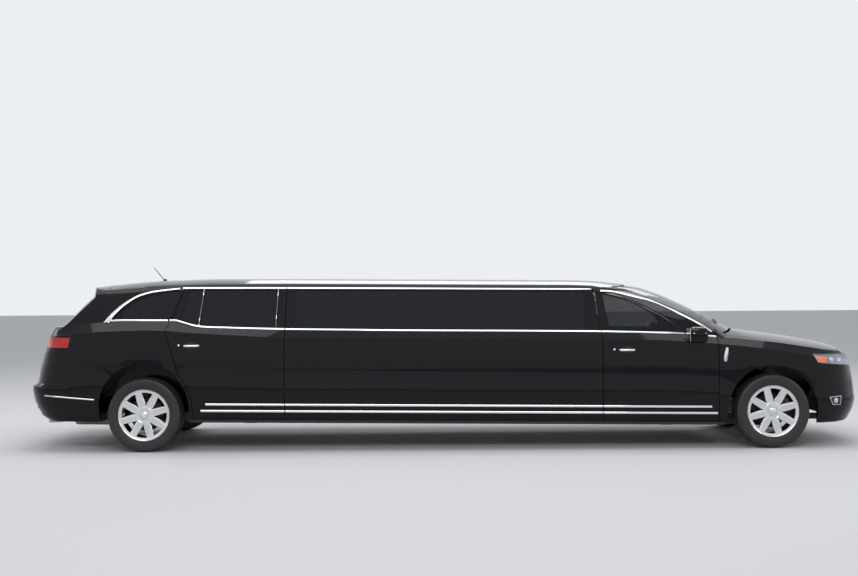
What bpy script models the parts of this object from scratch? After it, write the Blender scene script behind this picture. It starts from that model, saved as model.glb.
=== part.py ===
"""Stretch limousine built on a luxury crossover, full size, in metres.

+X is forward, +Z is up and the ground is z = 0. The body is modelled level and then
leaned nose down by RAKE, as the car stands. The wheels, axles and knuckles stand level.
"""

import math

import bmesh
import bpy
from mathutils import Matrix, Vector

# Overall sizes
WHEELBASE = 6.297
FRONT_OVERHANG = 1.010
REAR_OVERHANG = 1.268
HALF_WIDTH = 0.965
ROOF_HEIGHT = 1.716
TYRE_RADIUS = 0.3705
TYRE_WIDTH = 0.235
RAKE = 0.011  # drop of the level body for each metre forward
CAB_LENGTH = 1.705  # front axle back to the rear edge of the front door
REAR_CAB_LENGTH = 1.410  # rear axle forward to the front edge of the rear door

FRONT_AXLE_X = (WHEELBASE + REAR_OVERHANG - FRONT_OVERHANG) / 2
REAR_AXLE_X = FRONT_AXLE_X - WHEELBASE

# Heights of the level body
SILL_BOTTOM = 0.1515 * ROOF_HEIGHT
DOOR_BOTTOM = 0.1719 * ROOF_HEIGHT
FLOOR_TOP = 0.1981 * ROOF_HEIGHT
LIP_RISE = 0.004
FLOOR_LIP = FLOOR_TOP + LIP_RISE  # where the floor's edge meets the walls
CREASE_HEIGHT = 0.6515 * ROOF_HEIGHT
BELT_HEIGHT = 0.6976 * ROOF_HEIGHT
RAIL_HEIGHT = 0.9441 * ROOF_HEIGHT
BUMPER_SEAM = 0.3689 * ROOF_HEIGHT
GLASS_HEIGHT = ROOF_HEIGHT - BELT_HEIGHT
SIDE_HEIGHT = CREASE_HEIGHT - SILL_BOTTOM

# Walls and gaps
DOOR_THICK = 0.140
FRAME_THICK = 0.045
SKIN_THICK = 0.060
HOOD_THICK = 0.038
GLASS_THICK = 0.006
GLASS_DEPTH = 0.006
LAMP_DEPTH = 0.045
SEAT_GAP = 0.0003
SHUT_GAP = 0.0065
SEAM_MERGE = 0.00005
FLAT_ANGLE, SHARP_ANGLE = 0.3, 32.0
OVERRUN = 0.5  # how far a cutting prism runs past the body

# Jacking pads under the sills, inboard of the axles
JACK_SETBACK = 1.050
JACK_Y = 0.8083 * HALF_WIDTH
JACK_PAD_LENGTH = 0.120
JACK_PAD_WIDTH = 0.060
JACK_PAD_DROP = 0.010

# Plan shape
NOSE_ARC = 0.879 * FRONT_OVERHANG  # length of the rounded nose, seen from above
TAIL_ARC = 0.4637 * REAR_OVERHANG
NOSE_POWER = 3.2
TAIL_POWER = 3.4
TAPER_FRONT_SHARE, TAPER_REAR_SHARE = 0.25, -0.80
NOSE_TAPER = 0.985
TAIL_TAPER = 0.965
GLASS_LEAN = 0.4286  # how far the side glass leans in for each metre up
BELT_HALF_WIDTH = 0.9119 * HALF_WIDTH
WINDSHIELD_BOW = 0.3316 * HALF_WIDTH
REAR_GLASS_BOW = 0.1347 * HALF_WIDTH
ROOF_CROWN = 0.0466 * ROOF_HEIGHT
SCREEN_CROWN = 0.0093 * ROOF_HEIGHT

# Wheels
RIM_RADIUS = 0.6977 * TYRE_RADIUS
RIM_SEAT_RADIUS = 0.6100 * TYRE_RADIUS
RIM_WIDTH = 0.8723 * TYRE_WIDTH
WHEEL_Y = 0.8575 * HALF_WIDTH
RIM_WELL_RADIUS = 0.5560 * TYRE_RADIUS
RIM_LIP = 0.008
TYRE_BULGE_RADIUS = 0.8421 * TYRE_RADIUS
TYRE_SHOULDER_RADIUS = 0.9501 * TYRE_RADIUS
TYRE_SHOULDER = 0.1915 * TYRE_WIDTH
CAP_RADIUS = 0.2294 * TYRE_RADIUS
SPOKE_END_RADIUS = 0.5830 * TYRE_RADIUS
SPOKE_DEPTH = 0.020
DISC_DEPTH = 0.050
WINDOW_INNER_RADIUS, WINDOW_INNER_HALF = 0.3293 * TYRE_RADIUS, 0.0162 * TYRE_RADIUS
WINDOW_OUTER_RADIUS, WINDOW_OUTER_HALF = 0.5506 * TYRE_RADIUS, 0.1289 * TYRE_RADIUS
HUB_RADIUS = 0.1943 * TYRE_RADIUS
HUB_GAP = 0.0003
ARCH_RADIUS = 1.2200 * TYRE_RADIUS
ARCH_HEIGHT = 1.1147 * TYRE_RADIUS
ARCH_INNER_Y = 0.6788 * HALF_WIDTH
BAY_INNER_Y = 0.5078 * HALF_WIDTH
KINGPIN_Y = 0.7876 * HALF_WIDTH
SPOKES = 8
WINDOW_TURN = -3  # turn of the spokes from the top, in facets of the rim
WHEEL_STEPS = 36

ROUND_STEPS = 16

# Half widths of the floor, as shares of HALF_WIDTH
FLOOR_SIDE_SHARE = 0.79
TRUNK_SIDE_SHARE = 0.70

# The roof and the front and rear glass on the centre line.
# Columns: share of CAB_LENGTH ahead of the front door's rear edge, share of GLASS_HEIGHT below the roof.
FRONT_DOOR_REAR_X = FRONT_AXLE_X - CAB_LENGTH
REAR_DOOR_FRONT_X = REAR_AXLE_X + REAR_CAB_LENGTH
SCREEN_LINE_SHARES = (
    (-0.18, 0.000), (-0.055, 0.007), (0.072, 0.028), (0.20, 0.077), (0.327, 0.150), (0.454, 0.300),
    (0.581, 0.490), (0.709, 0.700), (0.836, 0.930), (0.99, 1.230),
)
# Columns: share of REAR_OVERHANG behind the rear axle, share of GLASS_HEIGHT below the roof.
TAIL_LINE_SHARES = (
    (0.82, 1.150), (0.797, 1.000), (0.734, 0.884), (0.671, 0.719), (0.600, 0.532), (0.530, 0.360),
    (0.525, 0.190), (0.387, 0.146), (0.216, 0.098), (0.019, 0.057), (-0.212, 0.033), (-0.468, 0.010),
    (-1.150, 0.000),
)
# The belt line, as the top row of the lower body. Same columns as the tables above, heights above the belt.
FRONT_BELT_SHARES = ((0.0, 0.0), (0.35, -0.015), (0.51, -0.048), (0.673, -0.094), (0.84, -0.139),
                     (1.0, -0.191), (1.13, -0.245), (1.25, -0.303), (1.37, -0.36), (1.55, -0.39))
REAR_BELT_SHARES = ((1.0, 0.008), (0.80, 0.012), (0.54, 0.073), (0.33, 0.131), (0.22, 0.165), (0.0, 0.168),
                    (-0.25, 0.150), (-0.45, 0.083), (-0.60, 0.045), (-0.70, 0.025), (-1.15, 0.0))
# The crease below the belt, as a share of GLASS_HEIGHT above CREASE_HEIGHT.
FRONT_CREASE_SHARES = ((0.0, 0.0), (0.35, -0.010), (0.51, -0.035), (0.673, -0.075), (0.84, -0.125),
                       (1.0, -0.190), (1.25, -0.320), (1.37, -0.38), (1.55, -0.41))
REAR_CREASE_SHARES = ((1.0, -0.05), (0.80, -0.02), (0.33, 0.10), (0.0, 0.13), (-0.25, 0.125),
                      (-0.45, 0.055),
                      (-0.70, 0.010), (-1.15, 0.0))
# The hood on its centre line, as a share of GLASS_HEIGHT above the belt.
HOOD_LINE_SHARES = ((0.60, -0.055), (0.72, 0.045), (0.836, 0.050), (0.946, -0.018), (1.093, -0.070),
                    (1.221, -0.132), (1.35, -0.195), (1.446, -0.265), (1.523, -0.335), (1.58, -0.37))

# Rows of the lower body, from the sill up to the crease.
# Columns: share of the side height, share of HALF_WIDTH, nose and tail ends as shares of their arcs.
SIDE_ROW_SHARES = (
    (0.000, 0.905, 0.850, 0.720),
    (0.065, 0.955, 0.915, 0.850),
    (0.220, 0.985, 0.975, 0.960),
    (0.360, 1.000, 1.000, 1.000),
    (0.420, 0.998, 0.998, 0.985),
    (0.465, 0.995, 0.990, 0.885),
    (0.630, 0.990, 0.980, 0.840),
    (0.810, 0.986, 0.955, 0.765),
    (1.000, 0.980, 0.930, 0.665),
)
TOP_NOSE_SHARE = 0.868
TOP_TAIL_SHARE = 0.600
BELT_LEDGE = 0.004
HOOD_SIDE = 0.090  # from the widest row in to the hood's top row
CROSS_SHARES = (1.0, 0.88, 0.62, 0.32, 0.0)
TOP_POWER = 2.2

NOSE_ARC_X = FRONT_AXLE_X + FRONT_OVERHANG - NOSE_ARC
TAIL_ARC_X = REAR_AXLE_X - REAR_OVERHANG + TAIL_ARC
SIDE_STATION_SHARES = (
    ("tail", (0.40, 0.355, 0.20, 0.0, -0.18, -0.36)),
    ("mid", (-0.01, 0.22, 0.5, 0.78, 1.0)),
    ("front", (0.16, 0.34, 0.52, 0.67, 0.75, 0.84, 0.92, 1.0)),
)
TAIL_ANGLES = (0, 16, 32, 48, 64, 78)
NOSE_ANGLES = (82, 70, 56, 42, 28, 14, 0)

HOOD_BLEND_SHARES = (0.60, 0.84)  # where the top row leaves the glass and runs out to the hood
HOOD_BLEND_LENGTH = (HOOD_BLEND_SHARES[1] - HOOD_BLEND_SHARES[0]) * CAB_LENGTH

GREENHOUSE_STATION_SHARES = (
    ("tail", (0.82, 0.797, 0.734, 0.671, 0.600, 0.530, 0.525, 0.387, 0.216, 0.019, -0.212, -0.468)),
    ("mid", (-0.01, 0.35, 0.70)),
    ("front", (-0.18, -0.055, 0.072, 0.20, 0.327, 0.454, 0.581, 0.709, 0.836, 0.99)),
)
TOP_SHARES = (0.96, 0.86, 0.68, 0.46, 0.23, 0.0)
RAIL_ROUND_SHARE = 0.4
LOW_ROUND_SHARE = 1.6  # how far below the rail the last points of a low section stand
SCREEN_BLEND_SHARES = (-0.18, 0.327)  # where the sections start to bow to the windshield
TAIL_BLEND_SHARE = 0.525
GREENHOUSE_BASE = 0.5769 * ROOF_HEIGHT
BASE_DROP = 3.0  # how much deeper an inner wall's base reaches, for each metre of wall
BOW_POWER = 2.2
CROWN_POWER = 2.8

SHARPEST_TURN = 0.2  # keeps a moved outline's sharpest corners short

# Side view outlines, as (x, z) points, with a draft on the edges that swing past a post.
JAMB_DRAFT = 0.30

ARCH_LIP = 0.030
DOOR_ARCH_ANGLES = (97, 80, 62, 44)
# Columns: share of CAB_LENGTH ahead of the door's rear edge, share of GLASS_HEIGHT above the belt.
FRONT_DOOR_TOP_SHARES = ((0.080, 0.812), (0.198, 0.745), (0.310, 0.627), (0.434, 0.430), (0.556, 0.230),
                         (0.612, 0.115), (0.668, 0.000))
FRONT_DOOR_LEAN = 0.028  # how far the door's rear edge leans back at the rail, as a share of CAB_LENGTH
FRONT_DOOR_FRONT_SHARE = 0.682

# Windows. Columns as above.
SILL_CHROME = 0.010
FRONT_GLASS_SHARES = ((0.045, 0.020), (0.515, -0.050), (0.537, 0.096), (0.513, 0.215), (0.424, 0.450),
                      (0.305, 0.625), (0.156, 0.732), (0.020, 0.735))
# Columns: share of REAR_OVERHANG behind the rear axle, share of GLASS_HEIGHT above the belt.
REAR_GLASS_SHARES = ((-1.029, 0.018), (-1.029, 0.760), (-0.330, 0.760), (-0.275, 0.200), (-0.300, 0.140),
                     (-0.440, 0.075), (-0.680, 0.045))
QUARTER_GLASS_SHARES = ((-0.175, 0.200), (-0.215, 0.350), (-0.254, 0.745), (-0.148, 0.715), (-0.029, 0.662),
                        (0.052, 0.595), (0.131, 0.475), (0.180, 0.357), (0.222, 0.200))
STRETCH_GLASS_REAR = 0.088  # body from the rear door's edge to the glass
STRETCH_GLASS_FRONT = 0.153  # body from the front door's edge to the glass
STRETCH_GLASS_TOP_SHARE = 0.775
STRETCH_GLASS_LOW_SHARE = 0.018

# The windshield seen from above. Columns: share of CAB_LENGTH, share of HALF_WIDTH.
SCREEN_PLAN_SHARES = ((0.215, 0.0), (0.195, 0.32), (0.135, 0.52), (0.060, 0.655), (0.10, 0.685),
                      (0.33, 0.728), (0.585, 0.785), (0.655, 0.72), (0.74, 0.50), (0.80, 0.25),
                      (0.818, 0.0))
HOOD_PLAN_SHARES = ((0.745, 0.79), (0.80, 0.60), (0.858, 0.30), (0.872, 0.0))
HOOD_FRONT_SHARES = ((1.25, 0.800), (1.38, 0.755), (1.445, 0.64), (1.487, 0.42), (1.503, 0.20),
                     (1.508, 0.0))
HEADER_X_SHARE = 0.028
HEADER_Y_SHARE = 0.645

GATE_HALF_SHARE = 0.68  # half width of the liftgate, as a share of HALF_WIDTH
GATE_TOP = ROOF_HEIGHT + OVERRUN
GATE_GLASS_SHARES = ((0.63, 0.13), (0.575, 0.600))
GATE_HINGE_SHARE = 0.345  # share of the rear overhang behind the axle

# Lamps and bumper seams, in shares of the front overhang ahead of the axle and of the glass height.
HEADLAMP_SHARES = ((0.400, -0.419), (0.455, -0.593), (1.10, -0.700), (1.10, -0.425), (0.748, -0.431))
HEADLAMP_INNER_SHARE = 0.54
LAMP_LOW_SHARE = -0.365
LAMP_HIGH_SHARE = -0.170
LAMP_REAR_SHARE = 0.583
GATE_LAMP_HALF_SHARE = 0.664
FENDER_SEAM_SHARE = 0.438
FENDER_TIP_SHARE = 0.760

# Half widths at which the cutting prisms of the panels end.
DOOR_NEAR_Y = 0.3109 * HALF_WIDTH
SIDE_NEAR_Y = 0.5181 * HALF_WIDTH
QUARTER_NEAR_Y = 0.2073 * HALF_WIDTH
NOSE_THICK = 0.078
REAR_DROP_SHARE = 0.28  # part of the roof's crown by which the roof's lower edge falls at the gate
REAR_DOOR_TOP_SHARE = -0.293
REAR_DOOR_BEND_SHARES = (-0.214, 0.22)
REAR_DOOR_REAR_SHARE = -0.184
BEHIND_ARCH_ANGLE = 45
FRONT_DOOR_BEND_SHARE = -0.18
FRONT_DOOR_BELT_LEAN = 0.012
COWL_LOW_SHARE = -0.03
HOOD_LOW_SHARE = -0.46
PILLAR_LOW_SHARE = -0.10
FENDER_REAR_SHARE = 0.678
POST_TOP_SHARE = -0.045
FLOOR_REAR_SHARE, TRUNK_REAR_SHARE, TRUNK_FRONT_SHARE = 0.36, 0.74, 0.30
REAR_SEAM_SHARES = ((0.30, -1.36), (0.77, -1.295))
REAR_SEAM_TOP_SHARE = 0.79
QUARTER_FRONT_SHARES = ((-0.42, -0.3), (-0.33, 0.2))
QUARTER_TOP_SHARE = -0.30
LAMP_REAR_LOW_SHARE = 0.603
LAMP_SEAM_SHARE = -0.593
SCREEN_LOW = 0.6071 * ROOF_HEIGHT

# Front wheelhouse liner
LINER_THICK = 0.012
LINER_OUTER_Y = 0.9637 * HALF_WIDTH
LINER_OPEN_Y = 0.6218 * HALF_WIDTH  # the liner is open inboard of this, below LINER_OPEN_HEIGHT
LINER_OPEN_HEIGHT = 1.3495 * TYRE_RADIUS

# Rear axle, its tunnel and the underbody
TUNNEL_HALF_LENGTH = 0.160
TUNNEL_TOP = 1.3495 * TYRE_RADIUS
TUNNEL_THICK = 0.030
AXLE_RADIUS = 0.1134 * TYRE_RADIUS
AXLE_HUB_Y = 0.7150 * HALF_WIDTH
CASING_RADIUS = 0.3239 * TYRE_RADIUS
CASING_LENGTH = 0.280
SPRING_RADIUS = 0.050
SPRING_Y = 0.5181 * HALF_WIDTH
POST_HALF_LENGTH, POST_HALF_WIDTH = 0.035, 0.030
POST_LOW, POST_TOP = 0.6626 * TYRE_RADIUS, 1.3495 * TYRE_RADIUS
BALL_RADIUS = 0.014
STRUT_Y = 0.6788 * HALF_WIDTH
STRUT_RADIUS = 0.026
STRUT_TUBE_RADIUS = 0.0234
STRUT_DROP = 0.0133
STRUT_LOW = 1.2281 * TYRE_RADIUS
STRUT_TOP = 0.4720 * ROOF_HEIGHT
STRUT_BRACKET = 0.040
CROSS_HALF_LENGTH = 0.120
CROSS_HALF_WIDTH = 0.4560 * HALF_WIDTH
CROSS_LOW, CROSS_TOP = 0.4588 * TYRE_RADIUS, 0.6748 * TYRE_RADIUS
ARM_LOW, ARM_TOP = 0.5128 * TYRE_RADIUS, 0.6370 * TYRE_RADIUS
ARM_HALF_LENGTH = 0.045
ARM_END_Y = 0.8031 * HALF_WIDTH
RAIL_Y = 0.4145 * HALF_WIDTH
RAIL_WIDTH = 0.050
RAIL_DEPTH = 0.060
RADIATOR_SHARE = 0.740  # share of the front overhang ahead of the axle
RADIATOR_THICK = 0.050
RADIATOR_HALF_WIDTH = 0.4145 * HALF_WIDTH
RADIATOR_TOP = 0.4837 * ROOF_HEIGHT
ENGINE_REAR_SHARE, ENGINE_FRONT_SHARE = -0.210, 0.480
ENGINE_HALF_WIDTH = 0.3109 * HALF_WIDTH
ENGINE_TOP = 0.5012 * ROOF_HEIGHT
PIPE_Y, PIPE_HEIGHT = -0.2073 * HALF_WIDTH, 0.1253 * ROOF_HEIGHT
PIPE_RADIUS = 0.028
MUFFLER_HALF_WIDTH, MUFFLER_LOW = 0.1347 * HALF_WIDTH, 0.0962 * ROOF_HEIGHT
MUFFLER_REAR_SHARE, MUFFLER_FRONT_SHARE = 0.700, 0.310
PIPE_END_SHARE, PIPE_FRONT_SHARE = 0.890, -0.160
TANK_REAR_SHARE, TANK_FRONT_SHARE = -0.520, -1.230
TANK_LOW_Y, TANK_HIGH_Y, TANK_LOW = 0.0829 * HALF_WIDTH, 0.6425 * HALF_WIDTH, 0.0991 * ROOF_HEIGHT

FIREWALL_SHARE = 0.695

# Hinge pins stand in the shut gaps, and each has a lug on the piece that carries it.
PIN_RADIUS = SHUT_GAP / 2 - SEAT_GAP
PIN_LENGTH = 0.060
LUG_SIZE = 0.012
WIDEST_ROW_SHARE = 0.36
COWL_GAP = 0.022

# Grille, seen from the front. Columns: share of HALF_WIDTH, share of GLASS_HEIGHT above the belt.
GRILLE_SHARES = ((0.0, -1.090), (0.30, -1.075), (0.46, -1.000), (0.515, -0.860), (0.500, -0.640),
                 (0.44, -0.530),
                 (0.25, -0.505), (0.0, -0.500))
GRILLE_REAR_SHARE = 0.55
GRILLE_BACK_DEPTH = 0.050
GRILLE_SLOT_DEPTH = 0.030
GRILLE_BARS = 10
GRILLE_BAR_SHARE = 0.38  # part of each bar's pitch that is bar
GRILLE_MIDDLE = 0.0570 * HALF_WIDTH  # half width of the post between the grille's halves
GRILLE_FRAME = 0.018

FLAP_SHARE = 0.130  # middle of the fuel flap, as a share of the rear overhang behind the axle
FLAP_HEIGHT = 0.5740 * ROOF_HEIGHT
FLAP_HALF = 0.085
FLAP_THICK = 0.010
FLAP_POCKET = 0.035

MIRROR_X_SHARE = 0.547  # share of CAB_LENGTH ahead of the front door's rear edge
MIRROR_LENGTH = 0.180
MIRROR_NEAR_Y, MIRROR_FAR_Y = 0.9585 * HALF_WIDTH, 1.1606 * HALF_WIDTH
MIRROR_LOW, MIRROR_HIGH = 0.6364 * ROOF_HEIGHT, 0.7267 * ROOF_HEIGHT
MIRROR_ROUND = 0.040
MIRROR_FOOT_LENGTH = 0.100
MIRROR_FOOT_HEIGHT = 0.035
MIRROR_FOOT_Y = 0.8290 * HALF_WIDTH

ANTENNA_SHARE = 0.0  # share of the rear overhang behind the axle
ANTENNA_BASE_RADIUS = 0.030
ANTENNA_BASE_HEIGHT = 0.022
ANTENNA_RADIUS, ANTENNA_TIP_RADIUS = 0.005, 0.003
ANTENNA_LENGTH = 0.190
ANTENNA_LEAN = 40.0  # degrees back from upright

# Cabin. Places along the car are shares of CAB_LENGTH ahead of the front door's rear edge.
CABIN_LOW = FLOOR_TOP + SEAT_GAP
DASH_HALF_WIDTH = 0.7979 * HALF_WIDTH
# Columns: share of CAB_LENGTH, share of GLASS_HEIGHT above the belt.
DASH_SHARES = ((0.680, -0.980), (0.6945, -0.90), (0.6945, -0.190), (0.590, -0.140), (0.480, -0.230),
               (0.435, -0.420), (0.480, -0.880))
CONSOLE_SHARES = (0.130, 0.560)
RISER_SHARE, RISER_TOP_SHARE = 0.47, -0.70
CONSOLE_HALF_WIDTH = 0.1088 * HALF_WIDTH
CONSOLE_TOP = 0.3613 * ROOF_HEIGHT
WHEEL_RING_RADIUS = 0.185
WHEEL_RING_TUBE = 0.016
WHEEL_SHARE, WHEEL_SIDE, WHEEL_HEIGHT = 0.335, 0.4145 * HALF_WIDTH, 0.5740 * ROOF_HEIGHT
WHEEL_LEAN = 25.0
BOSS_RADIUS, BOSS_LENGTH = 0.056, 0.042
RING_STEPS, WHEEL_SPOKES, SPOKE_TURN = 6, 3, 90
COLUMN_RADIUS = 0.035
COLUMN_LENGTH = 0.240
SEAT_Y = 0.4145 * HALF_WIDTH
SEAT_HALF_WIDTH = 0.2642 * HALF_WIDTH
SEAT_ROUND = 0.035
# Columns: rear and front as shares of CAB_LENGTH, half width share, low and high above the floor as shares of
# ROOF_HEIGHT.
SEAT_BLOCK_SHARES = (
    (0.040, 0.385, 0.90, 0.0000, 0.1049),
    (0.045, 0.390, 1.00, 0.0874, 0.1923),
    (0.020, 0.120, 0.95, 0.1399, 0.4953),
    (0.030, 0.085, 0.30, 0.4662, 0.5245),
    (0.015, 0.090, 0.52, 0.5012, 0.5944),
)
PARTITION_SHARE = -0.085
PARTITION_THICK = 0.040
PARTITION_GAP = 0.010
HATCH_HALF_WIDTH = 0.3420 * HALF_WIDTH
HATCH_LOW, HATCH_HIGH = 0.6002 * ROOF_HEIGHT, 0.8275 * ROOF_HEIGHT
BAR_NEAR_Y, BAR_FAR_Y = 0.4145 * HALF_WIDTH, 0.7409 * HALF_WIDTH
BAR_TOP = 0.5711 * ROOF_HEIGHT
BAR_REAR_GAP, BAR_FRONT_GAP = 0.330, 0.330
BENCH_TOP = 0.4429 * ROOF_HEIGHT
BENCH_NEAR_Y = 0.2591 * HALF_WIDTH
BENCH_BACK_Y = 0.6010 * HALF_WIDTH
BENCH_FAR_Y = 0.7409 * HALF_WIDTH
BENCH_BACK_TOP = 0.6469 * ROOF_HEIGHT
REAR_BENCH_HALF_WIDTH = 0.6218 * HALF_WIDTH
# The rear bench from the side. Columns: share of REAR_OVERHANG behind the axle, share of ROOF_HEIGHT.
REAR_BENCH_SHARES = ((-0.185, 0.2040), (-0.710, 0.2040), (-0.730, 0.4312), (-0.700, 0.4487),
                     (-0.330, 0.4312),
                     (-0.270, 0.7168), (-0.180, 0.7168))

HOOD_HINGE_INSET = 0.070  # from the hood's rear corner in to the end of its hinge pin


def clear_scene():
    """Removes every object that the file starts with."""
    for obj in list(bpy.data.objects):
        bpy.data.objects.remove(obj, do_unlink=True)


def paint(name, colour, roughness, metallic=0.0, alpha=1.0):
    """A plain material of one colour."""
    material = bpy.data.materials.get(name) or bpy.data.materials.new(name)
    material.use_nodes = True
    shader = material.node_tree.nodes["Principled BSDF"]
    shader.inputs["Base Color"].default_value = (*colour, 1.0)
    shader.inputs["Roughness"].default_value = roughness
    shader.inputs["Metallic"].default_value = metallic
    shader.inputs["Alpha"].default_value = alpha
    return material


def eased(table, x):
    """Height of a smooth curve through (x, z) points, with no overshoot between them."""
    if x <= table[0][0]:
        return table[0][1]
    if x >= table[-1][0]:
        return table[-1][1]
    slopes = [(b[1] - a[1]) / (b[0] - a[0]) for a, b in zip(table, table[1:])]
    tangents = [slopes[0]]
    for before, after in zip(slopes, slopes[1:]):
        level = before * after <= 0
        tangents.append(0.0 if level else 2 * before * after / (before + after))
    tangents.append(slopes[-1])
    for k, (a, b) in enumerate(zip(table, table[1:])):
        if x <= b[0]:
            span = b[0] - a[0]
            t = (x - a[0]) / span
            return (
                a[1] * (1 + 2 * t) * (1 - t) ** 2
                + b[1] * t * t * (3 - 2 * t)
                + span * tangents[k] * t * (1 - t) ** 2
                - span * tangents[k + 1] * t * t * (1 - t)
            )
    return table[-1][1]


def front_x(share):
    """Place ahead of the front door's rear edge, as a share of the cab's length."""
    return FRONT_DOOR_REAR_X + share * CAB_LENGTH


def tail_x(share):
    """Place behind the rear axle, as a share of the rear overhang."""
    return REAR_AXLE_X - share * REAR_OVERHANG


def glass_z(share):
    """Height above the belt, as a share of the glass height."""
    return BELT_HEIGHT + share * GLASS_HEIGHT


def long_line(rear, front, base):
    """One (x, z) table from a rear and a front table of shares."""
    behind = sorted((tail_x(s), base + h * GLASS_HEIGHT) for s, h in rear)
    ahead = [(front_x(s), base + h * GLASS_HEIGHT) for s, h in front]
    return behind + ahead


BELT_LINE = long_line(REAR_BELT_SHARES, FRONT_BELT_SHARES, BELT_HEIGHT)
CREASE_LINE = long_line(REAR_CREASE_SHARES, FRONT_CREASE_SHARES, CREASE_HEIGHT)
HOOD_LINE = [(front_x(s), glass_z(h)) for s, h in HOOD_LINE_SHARES]
ROOF_LINE = sorted(
    [(tail_x(s), ROOF_HEIGHT - h * GLASS_HEIGHT) for s, h in TAIL_LINE_SHARES]
    + [(front_x(s), ROOF_HEIGHT - h * GLASS_HEIGHT) for s, h in SCREEN_LINE_SHARES]
)


def side_stations():
    """Places along the body's side where the lower body has a column of points."""
    found = []
    for zone, shares in SIDE_STATION_SHARES:
        for share in shares:
            if zone == "tail":
                found.append(tail_x(share))
            elif zone == "front":
                found.append(front_x(share))
            else:
                found.append(REAR_DOOR_FRONT_X + share * (FRONT_DOOR_REAR_X - REAR_DOOR_FRONT_X))
    return found


def taper(x):
    """How much narrower the body is at x than at its middle."""
    middle_front, middle_rear = front_x(TAPER_FRONT_SHARE), tail_x(TAPER_REAR_SHARE)
    if x > middle_front:
        t = min(1.0, (x - middle_front) / (NOSE_ARC_X - middle_front))
        return 1 - (1 - NOSE_TAPER) * t * t
    if x < middle_rear:
        t = min(1.0, (middle_rear - x) / (middle_rear - TAIL_ARC_X))
        return 1 - (1 - TAIL_TAPER) * t * t
    return 1.0


def glass_half_width(x, z):
    """Half width of the side glass, which leans in above the belt and stands upright below it."""
    return (BELT_HALF_WIDTH - GLASS_LEAN * max(0.0, z - BELT_HEIGHT)) * taper(x)


def top_half_width(x):
    """Half width of the lower body's top row, which meets the glass and rounds into the hood."""
    z = eased(BELT_LINE, x)
    hood = max(0.0, min(1.0, (x - front_x(HOOD_BLEND_SHARES[0])) / HOOD_BLEND_LENGTH))
    level = glass_half_width(x, z) + BELT_LEDGE
    return level * (1 - hood) + (HALF_WIDTH * taper(x) - HOOD_SIDE) * hood


def ring_point(x, angle, end, share, half_width, inset, end_inset):
    """(x, y) of one point of a plan outline: along the side, or round the nose or tail."""
    if end is None:
        return x, half_width * taper(x) - inset
    if end == "nose":
        start, arc, power, sign = NOSE_ARC_X, NOSE_ARC, NOSE_POWER, 1
    else:
        start, arc, power, sign = TAIL_ARC_X, TAIL_ARC, TAIL_POWER, -1
    reach = arc * share - end_inset
    a = math.radians(angle)
    across = half_width * taper(start) - inset
    return start + sign * reach * math.cos(a) ** (2 / power), across * math.sin(a) ** (2 / power)


def solid(name, points, faces, material=None):
    """A mesh object from points and faces, with its faces turned outwards."""
    mesh = bpy.data.meshes.new(name)
    mesh.from_pydata([tuple(p) for p in points], [], faces)
    shape = bmesh.new()
    shape.from_mesh(mesh)
    bmesh.ops.recalc_face_normals(shape, faces=shape.faces)
    if shape.calc_volume(signed=True) < 0:
        bmesh.ops.reverse_faces(shape, faces=shape.faces)
    shape.to_mesh(mesh)
    shape.free()
    obj = bpy.data.objects.new(name, mesh)
    bpy.context.scene.collection.objects.link(obj)
    if material:
        mesh.materials.append(material)
    return obj


def faceted(obj):
    """An object with its curved faces split into flat triangles."""
    shape = bmesh.new()
    shape.from_mesh(obj.data)
    bmesh.ops.triangulate(shape, faces=shape.faces)
    shape.to_mesh(obj.data)
    shape.free()
    return obj


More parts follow.
